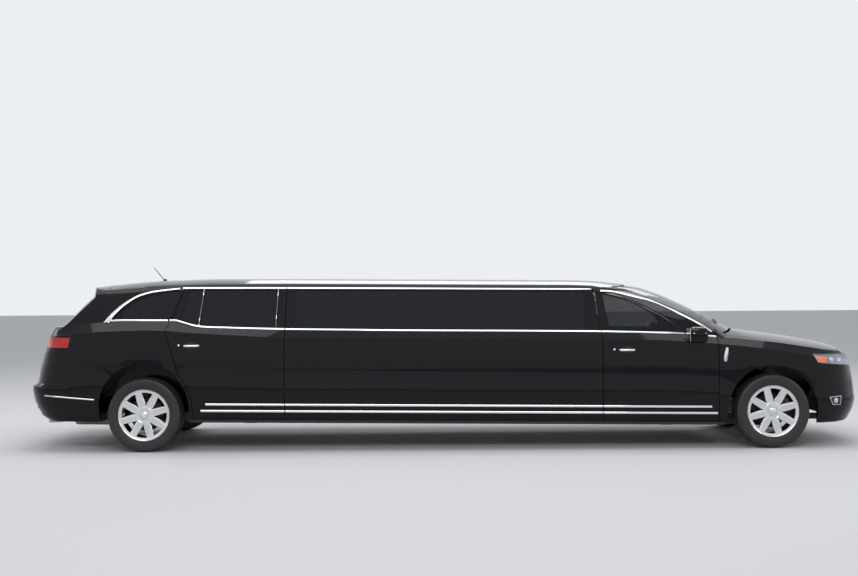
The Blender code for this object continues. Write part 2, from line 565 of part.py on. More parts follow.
def lower_body(name, inset=0.0, end_inset=0.0, floor=None, top_drop=0.0, rear=None, front=None):
    """The body below the belt as rings of points, one ring for each row, closed by a curved top.

    rear and front, where given, are the x of flat ends in place of the rounded tail and nose.
    """
    columns = []
    if rear is None:
        columns += [(None, a, "tail") for a in TAIL_ANGLES]
    else:
        columns.append((rear, 0, "flat"))
        columns.append((rear, 0, None))
    low = TAIL_ARC_X if rear is None else rear
    high = NOSE_ARC_X if front is None else front
    if rear is None:
        columns.append((TAIL_ARC_X, 0, None))
    columns += [(x, 0, None) for x in side_stations() if low + SKIN_THICK < x < high - SKIN_THICK]
    if front is None:
        columns.append((NOSE_ARC_X, 0, None))
        columns += [(None, a, "nose") for a in NOSE_ANGLES]
    else:
        columns.append((front, 0, None))
        columns.append((front, 0, "flat"))

    rows = list(SIDE_ROW_SHARES) + [(None, None, TOP_NOSE_SHARE, TOP_TAIL_SHARE)]
    rings = []
    for height, width, nose, tail in rows:
        half = []
        for x, angle, end in columns:
            share = nose if end == "nose" else tail
            if height is None:
                at = x if x is not None else (NOSE_ARC_X if end == "nose" else TAIL_ARC_X)
                across = top_half_width(at) / taper(at)
            else:
                across = HALF_WIDTH * width
            if end == "flat":
                px, py = x, 0.0
            else:
                px, py = ring_point(x, angle, end, share, across, inset, end_inset)
                if angle == 0 and end in ("nose", "tail"):
                    py = 0.0
            if height is None:
                pz = eased(BELT_LINE, px) - top_drop
            else:
                pz = SILL_BOTTOM + height * (eased(CREASE_LINE, px) - top_drop - SILL_BOTTOM)
            if floor is not None:
                share_up = 0.0 if height is None else 1 - height
                pz = pz + (floor - SILL_BOTTOM) * share_up
            half.append((px, py, pz))
        rings.append(half)

    points, index = [], {}

    def add(key, point):
        if key not in index:
            index[key] = len(points)
            points.append(point)
        return index[key]

    def spot(row, column, side):
        px, py, pz = rings[row][column]
        if py == 0.0:
            return add((row, column), (px, 0.0, pz))
        return add((row, column, side), (px, side * py, pz))

    def top(column, cross, side):
        px, py, pz = rings[-1][column]
        share = CROSS_SHARES[cross]
        if cross == 0 or py == 0.0:
            return spot(len(rings) - 1, column, side)
        crown = max(eased(HOOD_LINE, px) - top_drop, pz) if px > HOOD_LINE[0][0] else pz
        z = pz + (crown - pz) * (1 - share ** TOP_POWER)
        if share == 0.0:
            return add(("top", column), (px, 0.0, z))
        return add(("top", column, cross, side), (px, side * py * share, z))

    faces = []
    for side in (1, -1):
        for r in range(len(rings) - 1):
            for c in range(len(columns) - 1):
                faces.append([spot(r, c, side), spot(r, c + 1, side), spot(r + 1, c + 1, side),
                              spot(r + 1, c, side)])
        for c in range(len(columns) - 1):
            for k in range(len(CROSS_SHARES) - 1):
                faces.append([top(c, k, side), top(c + 1, k, side), top(c + 1, k + 1, side),
                              top(c, k + 1, side)])
    bottom = [spot(0, c, 1) for c in range(len(columns))]
    bottom += [spot(0, c, -1) for c in reversed(range(len(columns)))]
    faces.append(bottom)
    tidy = []
    for face in faces:
        kept = [v for k, v in enumerate(face) if v != face[k - 1]]
        if len(set(kept)) > 2:
            tidy.append(kept)
    return faceted(solid(name, points, tidy))


def greenhouse_section(s, thick):
    """Half of one section of the body above the belt, at station s, drawn in by a wall thickness."""
    start = front_x(SCREEN_BLEND_SHARES[0])
    length = (SCREEN_BLEND_SHARES[1] - SCREEN_BLEND_SHARES[0]) * CAB_LENGTH
    front_blend = max(0.0, min(1.0, (s - start) / length))
    rear_blend = max(0.0, min(1.0, (REAR_AXLE_X - s) / (TAIL_BLEND_SHARE * REAR_OVERHANG)))
    bow = REAR_GLASS_BOW * rear_blend ** 2 - WINDSHIELD_BOW * front_blend * (2 - front_blend)
    steep = max(front_blend ** 2, rear_blend ** 6)
    crown = ROOF_CROWN + (SCREEN_CROWN - ROOF_CROWN) * steep
    peak = eased(ROOF_LINE, s) - thick
    rail_z = peak - crown
    rail_x = s + bow
    rail_y = glass_half_width(rail_x, rail_z) - thick
    base = GREENHOUSE_BASE - min(thick, FRAME_THICK) * BASE_DROP
    section = [(rail_x, glass_half_width(rail_x, base) - thick, base)]
    for share in (0.0, 0.5):
        z = BELT_HEIGHT + share * (rail_z - BELT_HEIGHT)
        if z < rail_z - crown * RAIL_ROUND_SHARE and rail_z > BELT_HEIGHT:
            section.append((rail_x, glass_half_width(rail_x, z) - thick, z))
        else:
            z = rail_z - crown * RAIL_ROUND_SHARE * (LOW_ROUND_SHARE - share)
            section.append((rail_x, glass_half_width(rail_x, z) - thick, z))
    z = rail_z - crown * RAIL_ROUND_SHARE
    section.append((rail_x, glass_half_width(rail_x, z) - thick, z))
    for share in TOP_SHARES:
        section.append((s + bow * share ** BOW_POWER, rail_y * share, peak - crown * share ** CROWN_POWER))
    return section


def tube(name, sections):
    """A closed solid through half sections that end on the centre line.

    The top points of each section stand on points of the base, so its two ends are upright walls.
    """
    tops = len(TOP_SHARES)
    first = len(sections[0]) - tops
    rings = []
    for half in sections:
        base = half[0][2]
        rings.append(half + [(x, y, base) for x, y, z in half[first:]])
    points, index = [], {}

    def spot(i, j, side):
        px, py, pz = rings[i][j]
        key = (i, j) if py == 0.0 else (i, j, side)
        if key not in index:
            index[key] = len(points)
            points.append((px, side * py, pz))
        return index[key]

    last = first + tops - 1
    chain = list(range(last + 1))
    under = [0] + list(range(last + 1, last + 1 + tops))
    faces = []
    for i in range(len(rings) - 1):
        for side in (1, -1):
            for path in (chain, under):
                for a, b in zip(path, path[1:]):
                    faces.append([spot(i, a, side), spot(i + 1, a, side), spot(i + 1, b, side),
                                  spot(i, b, side)])
    for i in (0, len(rings) - 1):
        for side in (1, -1):
            faces.append([spot(i, j, side) for j in list(range(first + 1)) + [last + 1]])
            for k in range(tops - 1):
                faces.append([spot(i, first + k, side), spot(i, first + k + 1, side),
                              spot(i, last + 2 + k, side), spot(i, last + 1 + k, side)])
    return faceted(solid(name, points, faces))


def greenhouse_stations():
    """The stations of the body above the belt, from the tail forward."""
    found = []
    for zone, shares in GREENHOUSE_STATION_SHARES:
        for share in shares:
            if zone == "tail":
                found.append(tail_x(share))
            elif zone == "front":
                found.append(front_x(share))
            else:
                found.append(REAR_DOOR_FRONT_X + share * (FRONT_DOOR_REAR_X - REAR_DOOR_FRONT_X))
    return found


def greenhouse(name, thick=0.0):
    """The body above the belt: roof, side glass, windshield and rear glass."""
    return tube(name, [greenhouse_section(s, thick) for s in greenhouse_stations()])


def combined(obj, tool, operation="DIFFERENCE", keep_tool=False):
    """obj after one Boolean with tool. The tool is deleted unless it is kept."""
    modifier = obj.modifiers.new(operation.lower(), "BOOLEAN")
    modifier.operation = operation
    modifier.solver = "EXACT"
    modifier.object = tool
    bpy.context.view_layer.update()
    graph = bpy.context.evaluated_depsgraph_get()
    mesh = bpy.data.meshes.new_from_object(obj.evaluated_get(graph))
    obj.modifiers.clear()
    old, obj.data = obj.data, mesh
    bpy.data.meshes.remove(old)
    if not keep_tool:
        bpy.data.objects.remove(tool, do_unlink=True)
    return obj


def twin(obj, name):
    """A copy of an object with its own mesh."""
    copy = bpy.data.objects.new(name, obj.data.copy())
    bpy.context.scene.collection.objects.link(copy)
    return copy


def offset_outline(points, distance):
    """An outline moved outwards by a distance, or inwards where it is negative."""
    area = sum(a[0] * b[1] - b[0] * a[1] for a, b in zip(points, points[1:] + points[:1]))
    sign = 1 if area > 0 else -1
    moved = []
    for k, point in enumerate(points):
        before, after = Vector(points[k - 1][:2]), Vector(points[(k + 1) % len(points)][:2])
        here = Vector(point[:2])
        d1, d2 = (here - before).normalized(), (after - here).normalized()
        n1, n2 = Vector((d1.y, -d1.x)) * sign, Vector((d2.y, -d2.x)) * sign
        middle = n1 + n2
        scale = distance / max(SHARPEST_TURN, middle.length_squared / 2)
        shifted = here + middle * scale
        moved.append((shifted.x, shifted.y, *point[2:]))
    return moved


def skin_half_width(x, z):
    """Half width of the outer skin, near enough to set a draft from."""
    above_crease = max(0.0, min(1.0, (z - CREASE_HEIGHT) / (BELT_HEIGHT - CREASE_HEIGHT)))
    return HALF_WIDTH + (glass_half_width(x, z) - HALF_WIDTH) * above_crease


def side_prism(name, outline, near, far, grow=0.0):
    """A prism along Y from an (x, z) outline, between two half widths on the right side (y < 0).

    A point may carry a draft: how far it shifts forward for each metre further in.
    """
    points = offset_outline(outline, grow) if grow else outline
    verts = []
    for half in (far, near):
        for point in points:
            x, z = point[0], point[1]
            draft = point[2] if len(point) > 2 else 0.0
            verts.append((x + draft * (skin_half_width(x, z) - half), -half, z))
    n = len(points)
    faces = [list(range(n)), list(range(n, 2 * n))]
    for k in range(n):
        after = (k + 1) % n
        faces += [[k, after, n + after], [k, n + after, n + k]]
    return solid(name, verts, faces)


def across_prism(name, outline, grow=0.0):
    """A prism along Y through the whole body from an (x, z) outline."""
    far = HALF_WIDTH + OVERRUN
    return side_prism(name, outline, -far, far, grow=grow)


def upright_prism(name, outline, low, high, grow=0.0):
    """A prism along Z from an (x, y) outline."""
    points = offset_outline(outline, grow) if grow else outline
    n = len(points)
    verts = [(p[0], p[1], low) for p in points] + [(p[0], p[1], high) for p in points]
    faces = [list(range(n)), list(range(n, 2 * n))]
    faces += [[k, (k + 1) % n, n + (k + 1) % n, n + k] for k in range(n)]
    return solid(name, verts, faces)


def lengthwise_prism(name, outline, low, high, grow=0.0):
    """A prism along X from a (y, z) outline."""
    points = offset_outline(outline, grow) if grow else outline
    n = len(points)
    verts = [(low, p[0], p[1]) for p in points] + [(high, p[0], p[1]) for p in points]
    faces = [list(range(n)), list(range(n, 2 * n))]
    faces += [[k, (k + 1) % n, n + (k + 1) % n, n + k] for k in range(n)]
    return solid(name, verts, faces)


def block(name, low, high, bevel=0.0):
    """A box between two corners, with rounded edges where a bevel is given."""
    mesh = bpy.data.meshes.new(name)
    shape = bmesh.new()
    bmesh.ops.create_cube(shape, size=1.0)
    size = [h - b for b, h in zip(low, high)]
    centre = [(h + b) / 2 for b, h in zip(low, high)]
    bmesh.ops.scale(shape, vec=size, verts=shape.verts)
    bmesh.ops.translate(shape, vec=centre, verts=shape.verts)
    if bevel:
        bmesh.ops.bevel(shape, geom=shape.edges[:], offset=bevel, segments=2, affect="EDGES", profile=0.5)
    shape.to_mesh(mesh)
    shape.free()
    obj = bpy.data.objects.new(name, mesh)
    bpy.context.scene.collection.objects.link(obj)
    return obj


def round_bar(name, centre, radius, length, axis="Y", steps=ROUND_STEPS, taper_radius=None):
    """A cylinder or cone frustum along one axis, centred on a point."""
    mesh = bpy.data.meshes.new(name)
    shape = bmesh.new()
    bmesh.ops.create_cone(shape, cap_ends=True, segments=steps, radius1=radius,
                          radius2=taper_radius if taper_radius is not None else radius, depth=length)
    turn = {"Z": Matrix(), "Y": Matrix.Rotation(math.radians(-90), 4, "X"),
            "X": Matrix.Rotation(math.radians(90), 4, "Y")}[axis]
    bmesh.ops.transform(shape, matrix=Matrix.Translation(centre) @ turn, verts=shape.verts)
    shape.to_mesh(mesh)
    shape.free()
    obj = bpy.data.objects.new(name, mesh)
    bpy.context.scene.collection.objects.link(obj)
    return obj


def turned(name, profile, steps=WHEEL_STEPS):
    """A ring turned about the Y axis from a closed (radius, y) profile."""
    verts, faces = [], []
    n = len(profile)
    for i in range(steps):
        a = 2 * math.pi * i / steps
        verts += [(r * math.sin(a), y, r * math.cos(a)) for r, y in profile]
    for i in range(steps):
        j = (i + 1) % steps
        faces += [[i * n + k, j * n + k, j * n + (k + 1) % n, i * n + (k + 1) % n] for k in range(n)]
    return solid(name, verts, faces)


def moved(obj, offset):
    """An object's mesh moved by an offset."""
    obj.data.transform(Matrix.Translation(offset))
    return obj


def merged(first, *others):
    """One solid from several that overlap."""
    for other in others:
        combined(first, other, "UNION")
    return first


FINISHED = {}


def finish(obj, name, material, raked=True, smooth=True):
    """Names a piece, cleans its mesh, leans it with the body and gives it its material."""
    shape = bmesh.new()
    shape.from_mesh(obj.data)
    bmesh.ops.remove_doubles(shape, verts=shape.verts, dist=SEAM_MERGE)
    bmesh.ops.dissolve_degenerate(shape, edges=shape.edges, dist=SEAM_MERGE)
    bmesh.ops.dissolve_limit(shape, angle_limit=math.radians(FLAT_ANGLE), verts=shape.verts,
                             edges=shape.edges)
    bmesh.ops.triangulate(shape, faces=shape.faces)
    shape.to_mesh(obj.data)
    shape.free()
    if raked:
        lean = Matrix.Identity(4)
        lean[2][0] = -RAKE
        obj.data.transform(lean)
    obj.name = name
    obj.data.name = name
    obj.data.materials.clear()
    obj.data.materials.append(material)
    if smooth:
        obj.data.shade_smooth()
        obj.data.set_sharp_from_angle(angle=math.radians(SHARP_ANGLE))
    FINISHED[name] = obj
    return obj


def mirrored(obj, name, material):
    """The left-hand copy of a finished right-hand piece."""
    copy = twin(obj, name)
    copy.data.transform(Matrix.Scale(-1, 4, Vector((0, 1, 0))))
    copy.data.flip_normals()
    copy.data.name = name
    copy.data.materials.clear()
    copy.data.materials.append(material)
    FINISHED[name] = copy
    return copy


def carried(names, empty_name, point):
    """Hangs pieces on an empty that stands on their joint's axis."""
    empty = bpy.data.objects.new(empty_name, None)
    bpy.context.scene.collection.objects.link(empty)
    empty.location = point
    for name in names:
        piece = FINISHED[name]
        piece.data.transform(Matrix.Translation(-Vector(point)))
        piece.parent = empty


def world(x, y, z):
    """A point of the level body, leaned with the body."""
    return (x, y, z - RAKE * x)


def arch_point(x_centre, radius, angle):
    """A point on a circle about an arch centre; the angle is from straight up, forward positive."""
    a = math.radians(angle)
    return x_centre + radius * math.sin(a), ARCH_HEIGHT + radius * math.cos(a)


def arch_outline(x_centre, radius, steps=20):
    """The outline of a wheel arch: a half circle on straight legs that run out below the body."""
    arc = [arch_point(x_centre, radius, -90 + 180 * k / steps) for k in range(steps + 1)]
    low = SILL_BOTTOM - OVERRUN
    return [(x_centre - radius, low)] + arc + [(x_centre + radius, low)]


def front_door_outline():
    """The front door's shut line."""
    front = front_x(FRONT_DOOR_FRONT_SHARE)
    rear, top_rear = front_x(0.0), front_x(-FRONT_DOOR_LEAN)
    outline = [(rear, DOOR_BOTTOM, JAMB_DRAFT), (front, DOOR_BOTTOM, 0.0),
               (front, glass_z(FRONT_DOOR_BEND_SHARE), 0.0)]
    outline += [(front_x(s), glass_z(h), 0.0) for s, h in reversed(FRONT_DOOR_TOP_SHARES)]
    outline += [(top_rear, RAIL_HEIGHT, JAMB_DRAFT), (front_x(-FRONT_DOOR_BELT_LEAN), BELT_HEIGHT,
                                                      JAMB_DRAFT),
                (rear, CREASE_HEIGHT, JAMB_DRAFT)]
    return outline


def rear_door_outline():
    """The rear door's shut line, cut away round the rear arch."""
    front = REAR_DOOR_FRONT_X
    rear = tail_x(REAR_DOOR_REAR_SHARE)
    outline = [(front, DOOR_BOTTOM, 0.0), (front, RAIL_HEIGHT, 0.0)]
    outline.append((tail_x(REAR_DOOR_TOP_SHARE), RAIL_HEIGHT, JAMB_DRAFT))
    outline.append((tail_x(REAR_DOOR_BEND_SHARES[0]), glass_z(REAR_DOOR_BEND_SHARES[1]), JAMB_DRAFT))
    outline.append((rear, glass_z(0.0), JAMB_DRAFT))
    radius = ARCH_RADIUS + ARCH_LIP
    for angle in reversed(DOOR_ARCH_ANGLES):
        x, z = arch_point(REAR_AXLE_X, radius, angle)
        outline.append((max(x, rear) if angle < BEHIND_ARCH_ANGLE else x, max(z, DOOR_BOTTOM), JAMB_DRAFT))
    outline[-1] = (outline[-1][0], DOOR_BOTTOM, JAMB_DRAFT)
    return outline


def tail_outline(shares):
    """An outline in shares of the rear overhang and the glass height."""
    return [(tail_x(s), glass_z(h)) for s, h in shares]


def front_outline(shares):
    """An outline in shares of the cab length and the glass height."""
    return [(front_x(s), glass_z(h)) for s, h in shares]


def stretch_glass_outline():
    """The long side window between the doors."""
    rear = REAR_DOOR_FRONT_X + STRETCH_GLASS_REAR
    front = FRONT_DOOR_REAR_X - STRETCH_GLASS_FRONT
    low, high = glass_z(STRETCH_GLASS_LOW_SHARE), glass_z(STRETCH_GLASS_TOP_SHARE)
    return [(rear, low), (front, low), (front, high), (rear, high)]


def plan_outline(shares):
    """A closed outline seen from above, from one side's points that start and end on the centre line."""
    half = [(front_x(s), w * HALF_WIDTH) for s, w in shares]
    other = [(x, -y) for x, y in reversed(half) if y > 0]
    return half + other


def gate_outline():
    """The liftgate's shut line from behind, as (y, z)."""
    half = GATE_HALF_SHARE * HALF_WIDTH
    return [(half, BUMPER_SEAM), (half, GATE_TOP), (-half, GATE_TOP), (-half, BUMPER_SEAM)]


def nose_x(share):
    """Place ahead of the front axle, as a share of the front overhang."""
    return FRONT_AXLE_X + share * FRONT_OVERHANG


def fender_outline():
    """The fender between the front door, the bumper and the lamp."""
    door = front_x(FRONT_DOOR_FRONT_SHARE) + SHUT_GAP / 2
    seam, tip = nose_x(FENDER_SEAM_SHARE), nose_x(FENDER_TIP_SHARE)
    lamp = glass_z(LAMP_SEAM_SHARE)
    leg = front_x(FIREWALL_SHARE) + SKIN_THICK + SEAT_GAP
    return [(door, DOOR_BOTTOM), (leg, DOOR_BOTTOM), (leg, DOOR_BOTTOM - OVERRUN),
            (seam, DOOR_BOTTOM - OVERRUN),
            (seam, lamp), (tip, lamp), (tip, ROOF_HEIGHT), (door, ROOF_HEIGHT)]


def build_body():
    """Every painted panel and pane of the body."""
    black = paint("gloss_black", (0.012, 0.012, 0.014), 0.12)
    clad = paint("satin_black", (0.02, 0.02, 0.02), 0.5)
    pane = paint("dark_glass", (0.02, 0.022, 0.024), 0.05, alpha=0.55)
    lamp = paint("clear_lamp", (0.75, 0.78, 0.8), 0.1)
    red = paint("red_lamp", (0.45, 0.01, 0.01), 0.15)
    far = HALF_WIDTH + OVERRUN

    outer = merged(lower_body("outer"), greenhouse("outer_top"))
    firewall = front_x(FIREWALL_SHARE)
    bay_rear = firewall + SKIN_THICK
    cabin = lower_body("cabin", DOOR_THICK, SKIN_THICK, FLOOR_TOP, 0.0, front=firewall)
    cabin = merged(cabin, greenhouse("cabin_top", FRAME_THICK))
    nose = nose_x(1.0) + OVERRUN
    above = [(firewall, GREENHOUSE_BASE - OVERRUN), (nose, GREENHOUSE_BASE - OVERRUN),
             (nose, glass_z(COWL_LOW_SHARE)), (firewall, glass_z(COWL_LOW_SHARE))]
    cabin = combined(cabin, across_prism("under_cowl", above))
    bay = lower_body("bay", SKIN_THICK, NOSE_THICK, SILL_BOTTOM - OVERRUN, HOOD_THICK, rear=bay_rear)
    shell = twin(outer, "shell")
    combined(shell, cabin, keep_tool=True)
    combined(shell, bay, keep_tool=True)
    for axle in (FRONT_AXLE_X, REAR_AXLE_X):
        inner = BAY_INNER_Y if axle == FRONT_AXLE_X else ARCH_INNER_Y
        arch = arch_outline(axle, ARCH_RADIUS)
        combined(shell, side_prism("arch", arch, inner, far))
        combined(shell, side_prism("arch", arch, -far, -inner))

    def from_shell(name, *tools):
        piece = twin(shell, name)
        for tool, operation in tools:
            combined(piece, tool, operation)
        return piece

    keep, drop = "INTERSECT", "DIFFERENCE"
    front_door, rear_door = front_door_outline(), rear_door_outline()
    quarter_pane = tail_outline(QUARTER_GLASS_SHARES)
    gate_cut = gate_outline()
    gate_front = tail_x(GATE_HINGE_SHARE)
    tail_end, nose_end = tail_x(1.0) - OVERRUN, nose_x(1.0) + OVERRUN
    floor_rear, trunk_rear = tail_x(FLOOR_REAR_SHARE), tail_x(TRUNK_REAR_SHARE)
    roof_low_front = RAIL_HEIGHT + SHUT_GAP / 2
    roof_low_rear = RAIL_HEIGHT - ROOF_CROWN * REAR_DROP_SHARE
    door_grow, door_shrink = SHUT_GAP / 2, -SHUT_GAP / 2
    header_x, header_y = front_x(HEADER_X_SHARE), HEADER_Y_SHARE * HALF_WIDTH

    def door_cutters(grow):
        return (side_prism("cut_f", front_door, DOOR_NEAR_Y, far, grow=grow),
                side_prism("cut_r", rear_door, DOOR_NEAR_Y, far, grow=grow))

    screen = plan_outline(SCREEN_PLAN_SHARES)

    # Doors
    for name, outline, glass_outline in (
        ("front_door", front_door, front_outline(FRONT_GLASS_SHARES)),
        ("rear_door", rear_door, tail_outline(REAR_GLASS_SHARES)),
    ):
        door = from_shell(name, (side_prism("region", outline, DOOR_NEAR_Y, far, grow=door_shrink), keep),
                          (side_prism("window", glass_outline, DOOR_NEAR_Y, far), drop),
                          (block("floor", (REAR_AXLE_X, -FLOOR_SIDE_SHARE * HALF_WIDTH - SHUT_GAP, 0.0),
                                 (FRONT_AXLE_X, 0.0, FLOOR_LIP + SHUT_GAP)), drop),
                          (upright_prism("screen", screen, GREENHOUSE_BASE, GATE_TOP, FRAME_THICK), drop))
        finish(door, f"{name}_right", black)
        mirrored(door, f"{name}_left", black)

    # Roof, with the screen header
    roof_end = header_x + OVERRUN
    roof_side = [(gate_front + SHUT_GAP / 2, roof_low_rear), (tail_x(REAR_DOOR_TOP_SHARE), roof_low_front),
                 (header_x, roof_low_front), (roof_end, roof_low_front), (roof_end, GATE_TOP),
                 (gate_front + SHUT_GAP / 2, GATE_TOP)]
    corner = [(header_x, header_y), (roof_end, header_y), (roof_end, far), (header_x, far)]
    other_corner = [(x, -y) for x, y in corner]
    roof = from_shell("roof", (across_prism("region", roof_side, -SEAT_GAP / 2), keep),
                      (upright_prism("corner", corner, 0.0, GATE_TOP, SEAT_GAP / 2), drop),
                      (upright_prism("corner", other_corner, 0.0, GATE_TOP, SEAT_GAP / 2), drop),
                      (upright_prism("screen", screen, GREENHOUSE_BASE, GATE_TOP), drop))
    pin_z = eased(ROOF_LINE, gate_front)
    pin = round_bar("pin", (gate_front, 0.0, pin_z), PIN_RADIUS, 2 * PIN_LENGTH, "Y", ROUND_STEPS // 2)
    lug = block("lug", (gate_front, -PIN_LENGTH, pin_z - LUG_SIZE),
                (gate_front + LUG_SIZE, PIN_LENGTH, pin_z))
    finish(merged(roof, pin, lug), "roof", black)

    # Screen pillars, cowl and firewall
    hood_half = [(front_x(s), w * HALF_WIDTH) for s, w in reversed(HOOD_PLAN_SHARES)]
    hood_half += [(front_x(s), w * HALF_WIDTH) for s, w in HOOD_FRONT_SHARES]
    hood_plan = hood_half + [(x, -y) for x, y in reversed(hood_half) if y > 0]
    hood_low = glass_z(HOOD_LOW_SHARE)
    frame_zone = [(header_x, glass_z(PILLAR_LOW_SHARE)), (firewall - SKIN_THICK, glass_z(PILLAR_LOW_SHARE)),
                  (firewall - SKIN_THICK, FLOOR_LIP + SEAT_GAP), (bay_rear + OVERRUN, FLOOR_LIP + SEAT_GAP),
                  (bay_rear + OVERRUN, GATE_TOP), (header_x, GATE_TOP)]
    pillars = from_shell("frame", (across_prism("region", frame_zone, -SEAT_GAP / 2), keep),
                         (upright_prism("screen", screen, GREENHOUSE_BASE, GATE_TOP), drop))
    header_box = block("header", (header_x - OVERRUN, -header_y - SEAT_GAP / 2, roof_low_front - SEAT_GAP),
                       (roof_end, header_y + SEAT_GAP / 2, GATE_TOP))
    combined(pillars, header_box)
    combined(pillars, upright_prism("hood", hood_plan, hood_low - SHUT_GAP, GATE_TOP, COWL_GAP))
    for side in (1, -1):
        low_y, high_y = sorted((side * (FLOOR_SIDE_SHARE * HALF_WIDTH), side * far))
        combined(pillars, block("skin", (front_x(FENDER_REAR_SHARE), low_y, 0.0),
                                (nose_end, high_y, GATE_TOP)))
        cutter = side_prism("cut", front_door, DOOR_NEAR_Y, far, grow=door_grow)
        if side > 0:
            cutter.data.transform(Matrix.Scale(-1, 4, Vector((0, 1, 0))))
            cutter.data.flip_normals()
        combined(pillars, cutter)
    combined(pillars, block("ahead", (bay_rear + SEAT_GAP, -far, 0.0), (nose_end, far, hood_low)))
    pin_x, pin_y, pin_z = hood_pin()
    for side in (1, -1):
        pin = round_bar("pin", (pin_x, side * (pin_y - PIN_LENGTH / 2), pin_z), PIN_RADIUS, PIN_LENGTH, "Y",
                        ROUND_STEPS // 2)
        near, far_y = sorted((side * pin_y, side * (pin_y - PIN_LENGTH)))
        lug = block("lug", (pin_x - COWL_GAP * 2, near, pin_z - LUG_SIZE * 2), (pin_x, far_y, pin_z))
        pillars = merged(pillars, pin, lug)
    finish(pillars, "windshield_frame", black)

    # Long side panels between the doors
    post_top = front_x(POST_TOP_SHARE)
    side_zone = [(REAR_DOOR_FRONT_X - DOOR_THICK, DOOR_BOTTOM + SEAT_GAP),
                 (FRONT_DOOR_REAR_X + DOOR_THICK, DOOR_BOTTOM + SEAT_GAP),
                 (FRONT_DOOR_REAR_X + DOOR_THICK, BELT_HEIGHT), (post_top, RAIL_HEIGHT - SHUT_GAP * 2),
                 (post_top, roof_low_front), (REAR_DOOR_FRONT_X + SHUT_GAP, roof_low_front),
                 (REAR_DOOR_FRONT_X + SHUT_GAP, RAIL_HEIGHT - SHUT_GAP * 2),
                 (REAR_DOOR_FRONT_X - DOOR_THICK, BELT_HEIGHT)]
    cut_f, cut_r = door_cutters(door_grow)
    side = from_shell("side", (side_prism("region", side_zone, SIDE_NEAR_Y, far, grow=-SEAT_GAP / 2), keep),
                      (cut_f, drop), (cut_r, drop),
                      (side_prism("window", stretch_glass_outline(), DOOR_NEAR_Y, far), drop),
                      (block("floor", (-FRONT_AXLE_X, -FLOOR_SIDE_SHARE * HALF_WIDTH - SEAT_GAP, 0.0),
                             (FRONT_AXLE_X, 0.0, FLOOR_LIP + SEAT_GAP)), drop))
    hinge_y, hinge_low = door_hinge(REAR_DOOR_FRONT_X)
    side = merged(side, upright_hinge("hinge", REAR_DOOR_FRONT_X, hinge_y, hinge_low, PIN_LENGTH))
    finish(side, "side_panel_right", black)
    mirrored(side, "side_panel_left", black)

    # Rear quarters, with their wheelhouses
    seam = BUMPER_SEAM - SHUT_GAP / 2
    bumper_zone = [(tail_x(REAR_SEAM_SHARES[0][0]), SILL_BOTTOM - OVERRUN), *tail_outline(REAR_SEAM_SHARES),
                   (tail_x(REAR_SEAM_TOP_SHARE), seam), (tail_end, seam), (tail_end, SILL_BOTTOM - OVERRUN)]
    quarter_zone = [(tail_x(QUARTER_FRONT_SHARES[0][0]), DOOR_BOTTOM + SEAT_GAP),
                    *tail_outline(QUARTER_FRONT_SHARES),
                    (tail_x(QUARTER_TOP_SHARE), RAIL_HEIGHT - SHUT_GAP * 2),
                    (tail_x(REAR_DOOR_TOP_SHARE), roof_low_front), (gate_front, roof_low_rear),
                    (tail_end, roof_low_rear),
                    (tail_end, DOOR_BOTTOM + SEAT_GAP)]
    quarter = from_shell("quarter", (side_prism("region", quarter_zone, QUARTER_NEAR_Y, far,
                                                grow=-SEAT_GAP / 2), keep),
                         (side_prism("window", quarter_pane, DOOR_NEAR_Y, far), drop))
    house = arch_outline(REAR_AXLE_X, ARCH_RADIUS + HOOD_THICK)
    house = [(x, max(z, FLOOR_LIP + SEAT_GAP)) for x, z in house]
    tub = side_prism("tub", house, ARCH_INNER_Y - HOOD_THICK,
                     FLOOR_SIDE_SHARE * HALF_WIDTH + SKIN_THICK / 2)
    quarter = merged(quarter, tub)
    combined(quarter, side_prism("hollow", arch_outline(REAR_AXLE_X, ARCH_RADIUS), ARCH_INNER_Y, far))
    combined(quarter, side_prism("tunnel", tunnel_outline(), ARCH_INNER_Y - HOOD_THICK * 2,
                                 ARCH_INNER_Y + HOOD_THICK))
    combined(quarter, side_prism("door", rear_door, DOOR_NEAR_Y, far, grow=door_grow))
    combined(quarter, lengthwise_prism("gate", gate_cut, tail_end, gate_front, SHUT_GAP))
    combined(quarter, across_prism("bumper", bumper_zone, SEAT_GAP))
    combined(quarter, block("floor", (floor_rear, -FLOOR_SIDE_SHARE * HALF_WIDTH - SEAT_GAP, 0.0),
                            (FRONT_AXLE_X, 0.0, FLOOR_LIP + SEAT_GAP)))
    combined(quarter, block("floor", (tail_end, -TRUNK_SIDE_SHARE * HALF_WIDTH - SEAT_GAP, 0.0),
                            (FRONT_AXLE_X, 0.0, FLOOR_LIP + SEAT_GAP)))
    lamp_core = lower_body("lamp_core", LAMP_DEPTH, LAMP_DEPTH, SILL_BOTTOM + LAMP_DEPTH, LAMP_DEPTH)
    lamp_band = [(tail_x(LAMP_REAR_SHARE), glass_z(LAMP_HIGH_SHARE)),
                 (tail_x(LAMP_REAR_LOW_SHARE), glass_z(LAMP_LOW_SHARE)),
                 (tail_end, glass_z(LAMP_LOW_SHARE)), (tail_end, glass_z(LAMP_HIGH_SHARE))]

    deep = LAMP_DEPTH + SEAT_GAP
    cut_core = lower_body("cut_core", deep, deep, SILL_BOTTOM + deep, deep)

    def lamp_skin(name):
        skin = twin(outer, name)
        combined(skin, lamp_core, keep_tool=True)
        return combined(skin, across_prism("band", lamp_band, -SEAT_GAP), keep)

    def lamp_cutter(name):
        return combined(across_prism(name, lamp_band), cut_core, keep_tool=True)

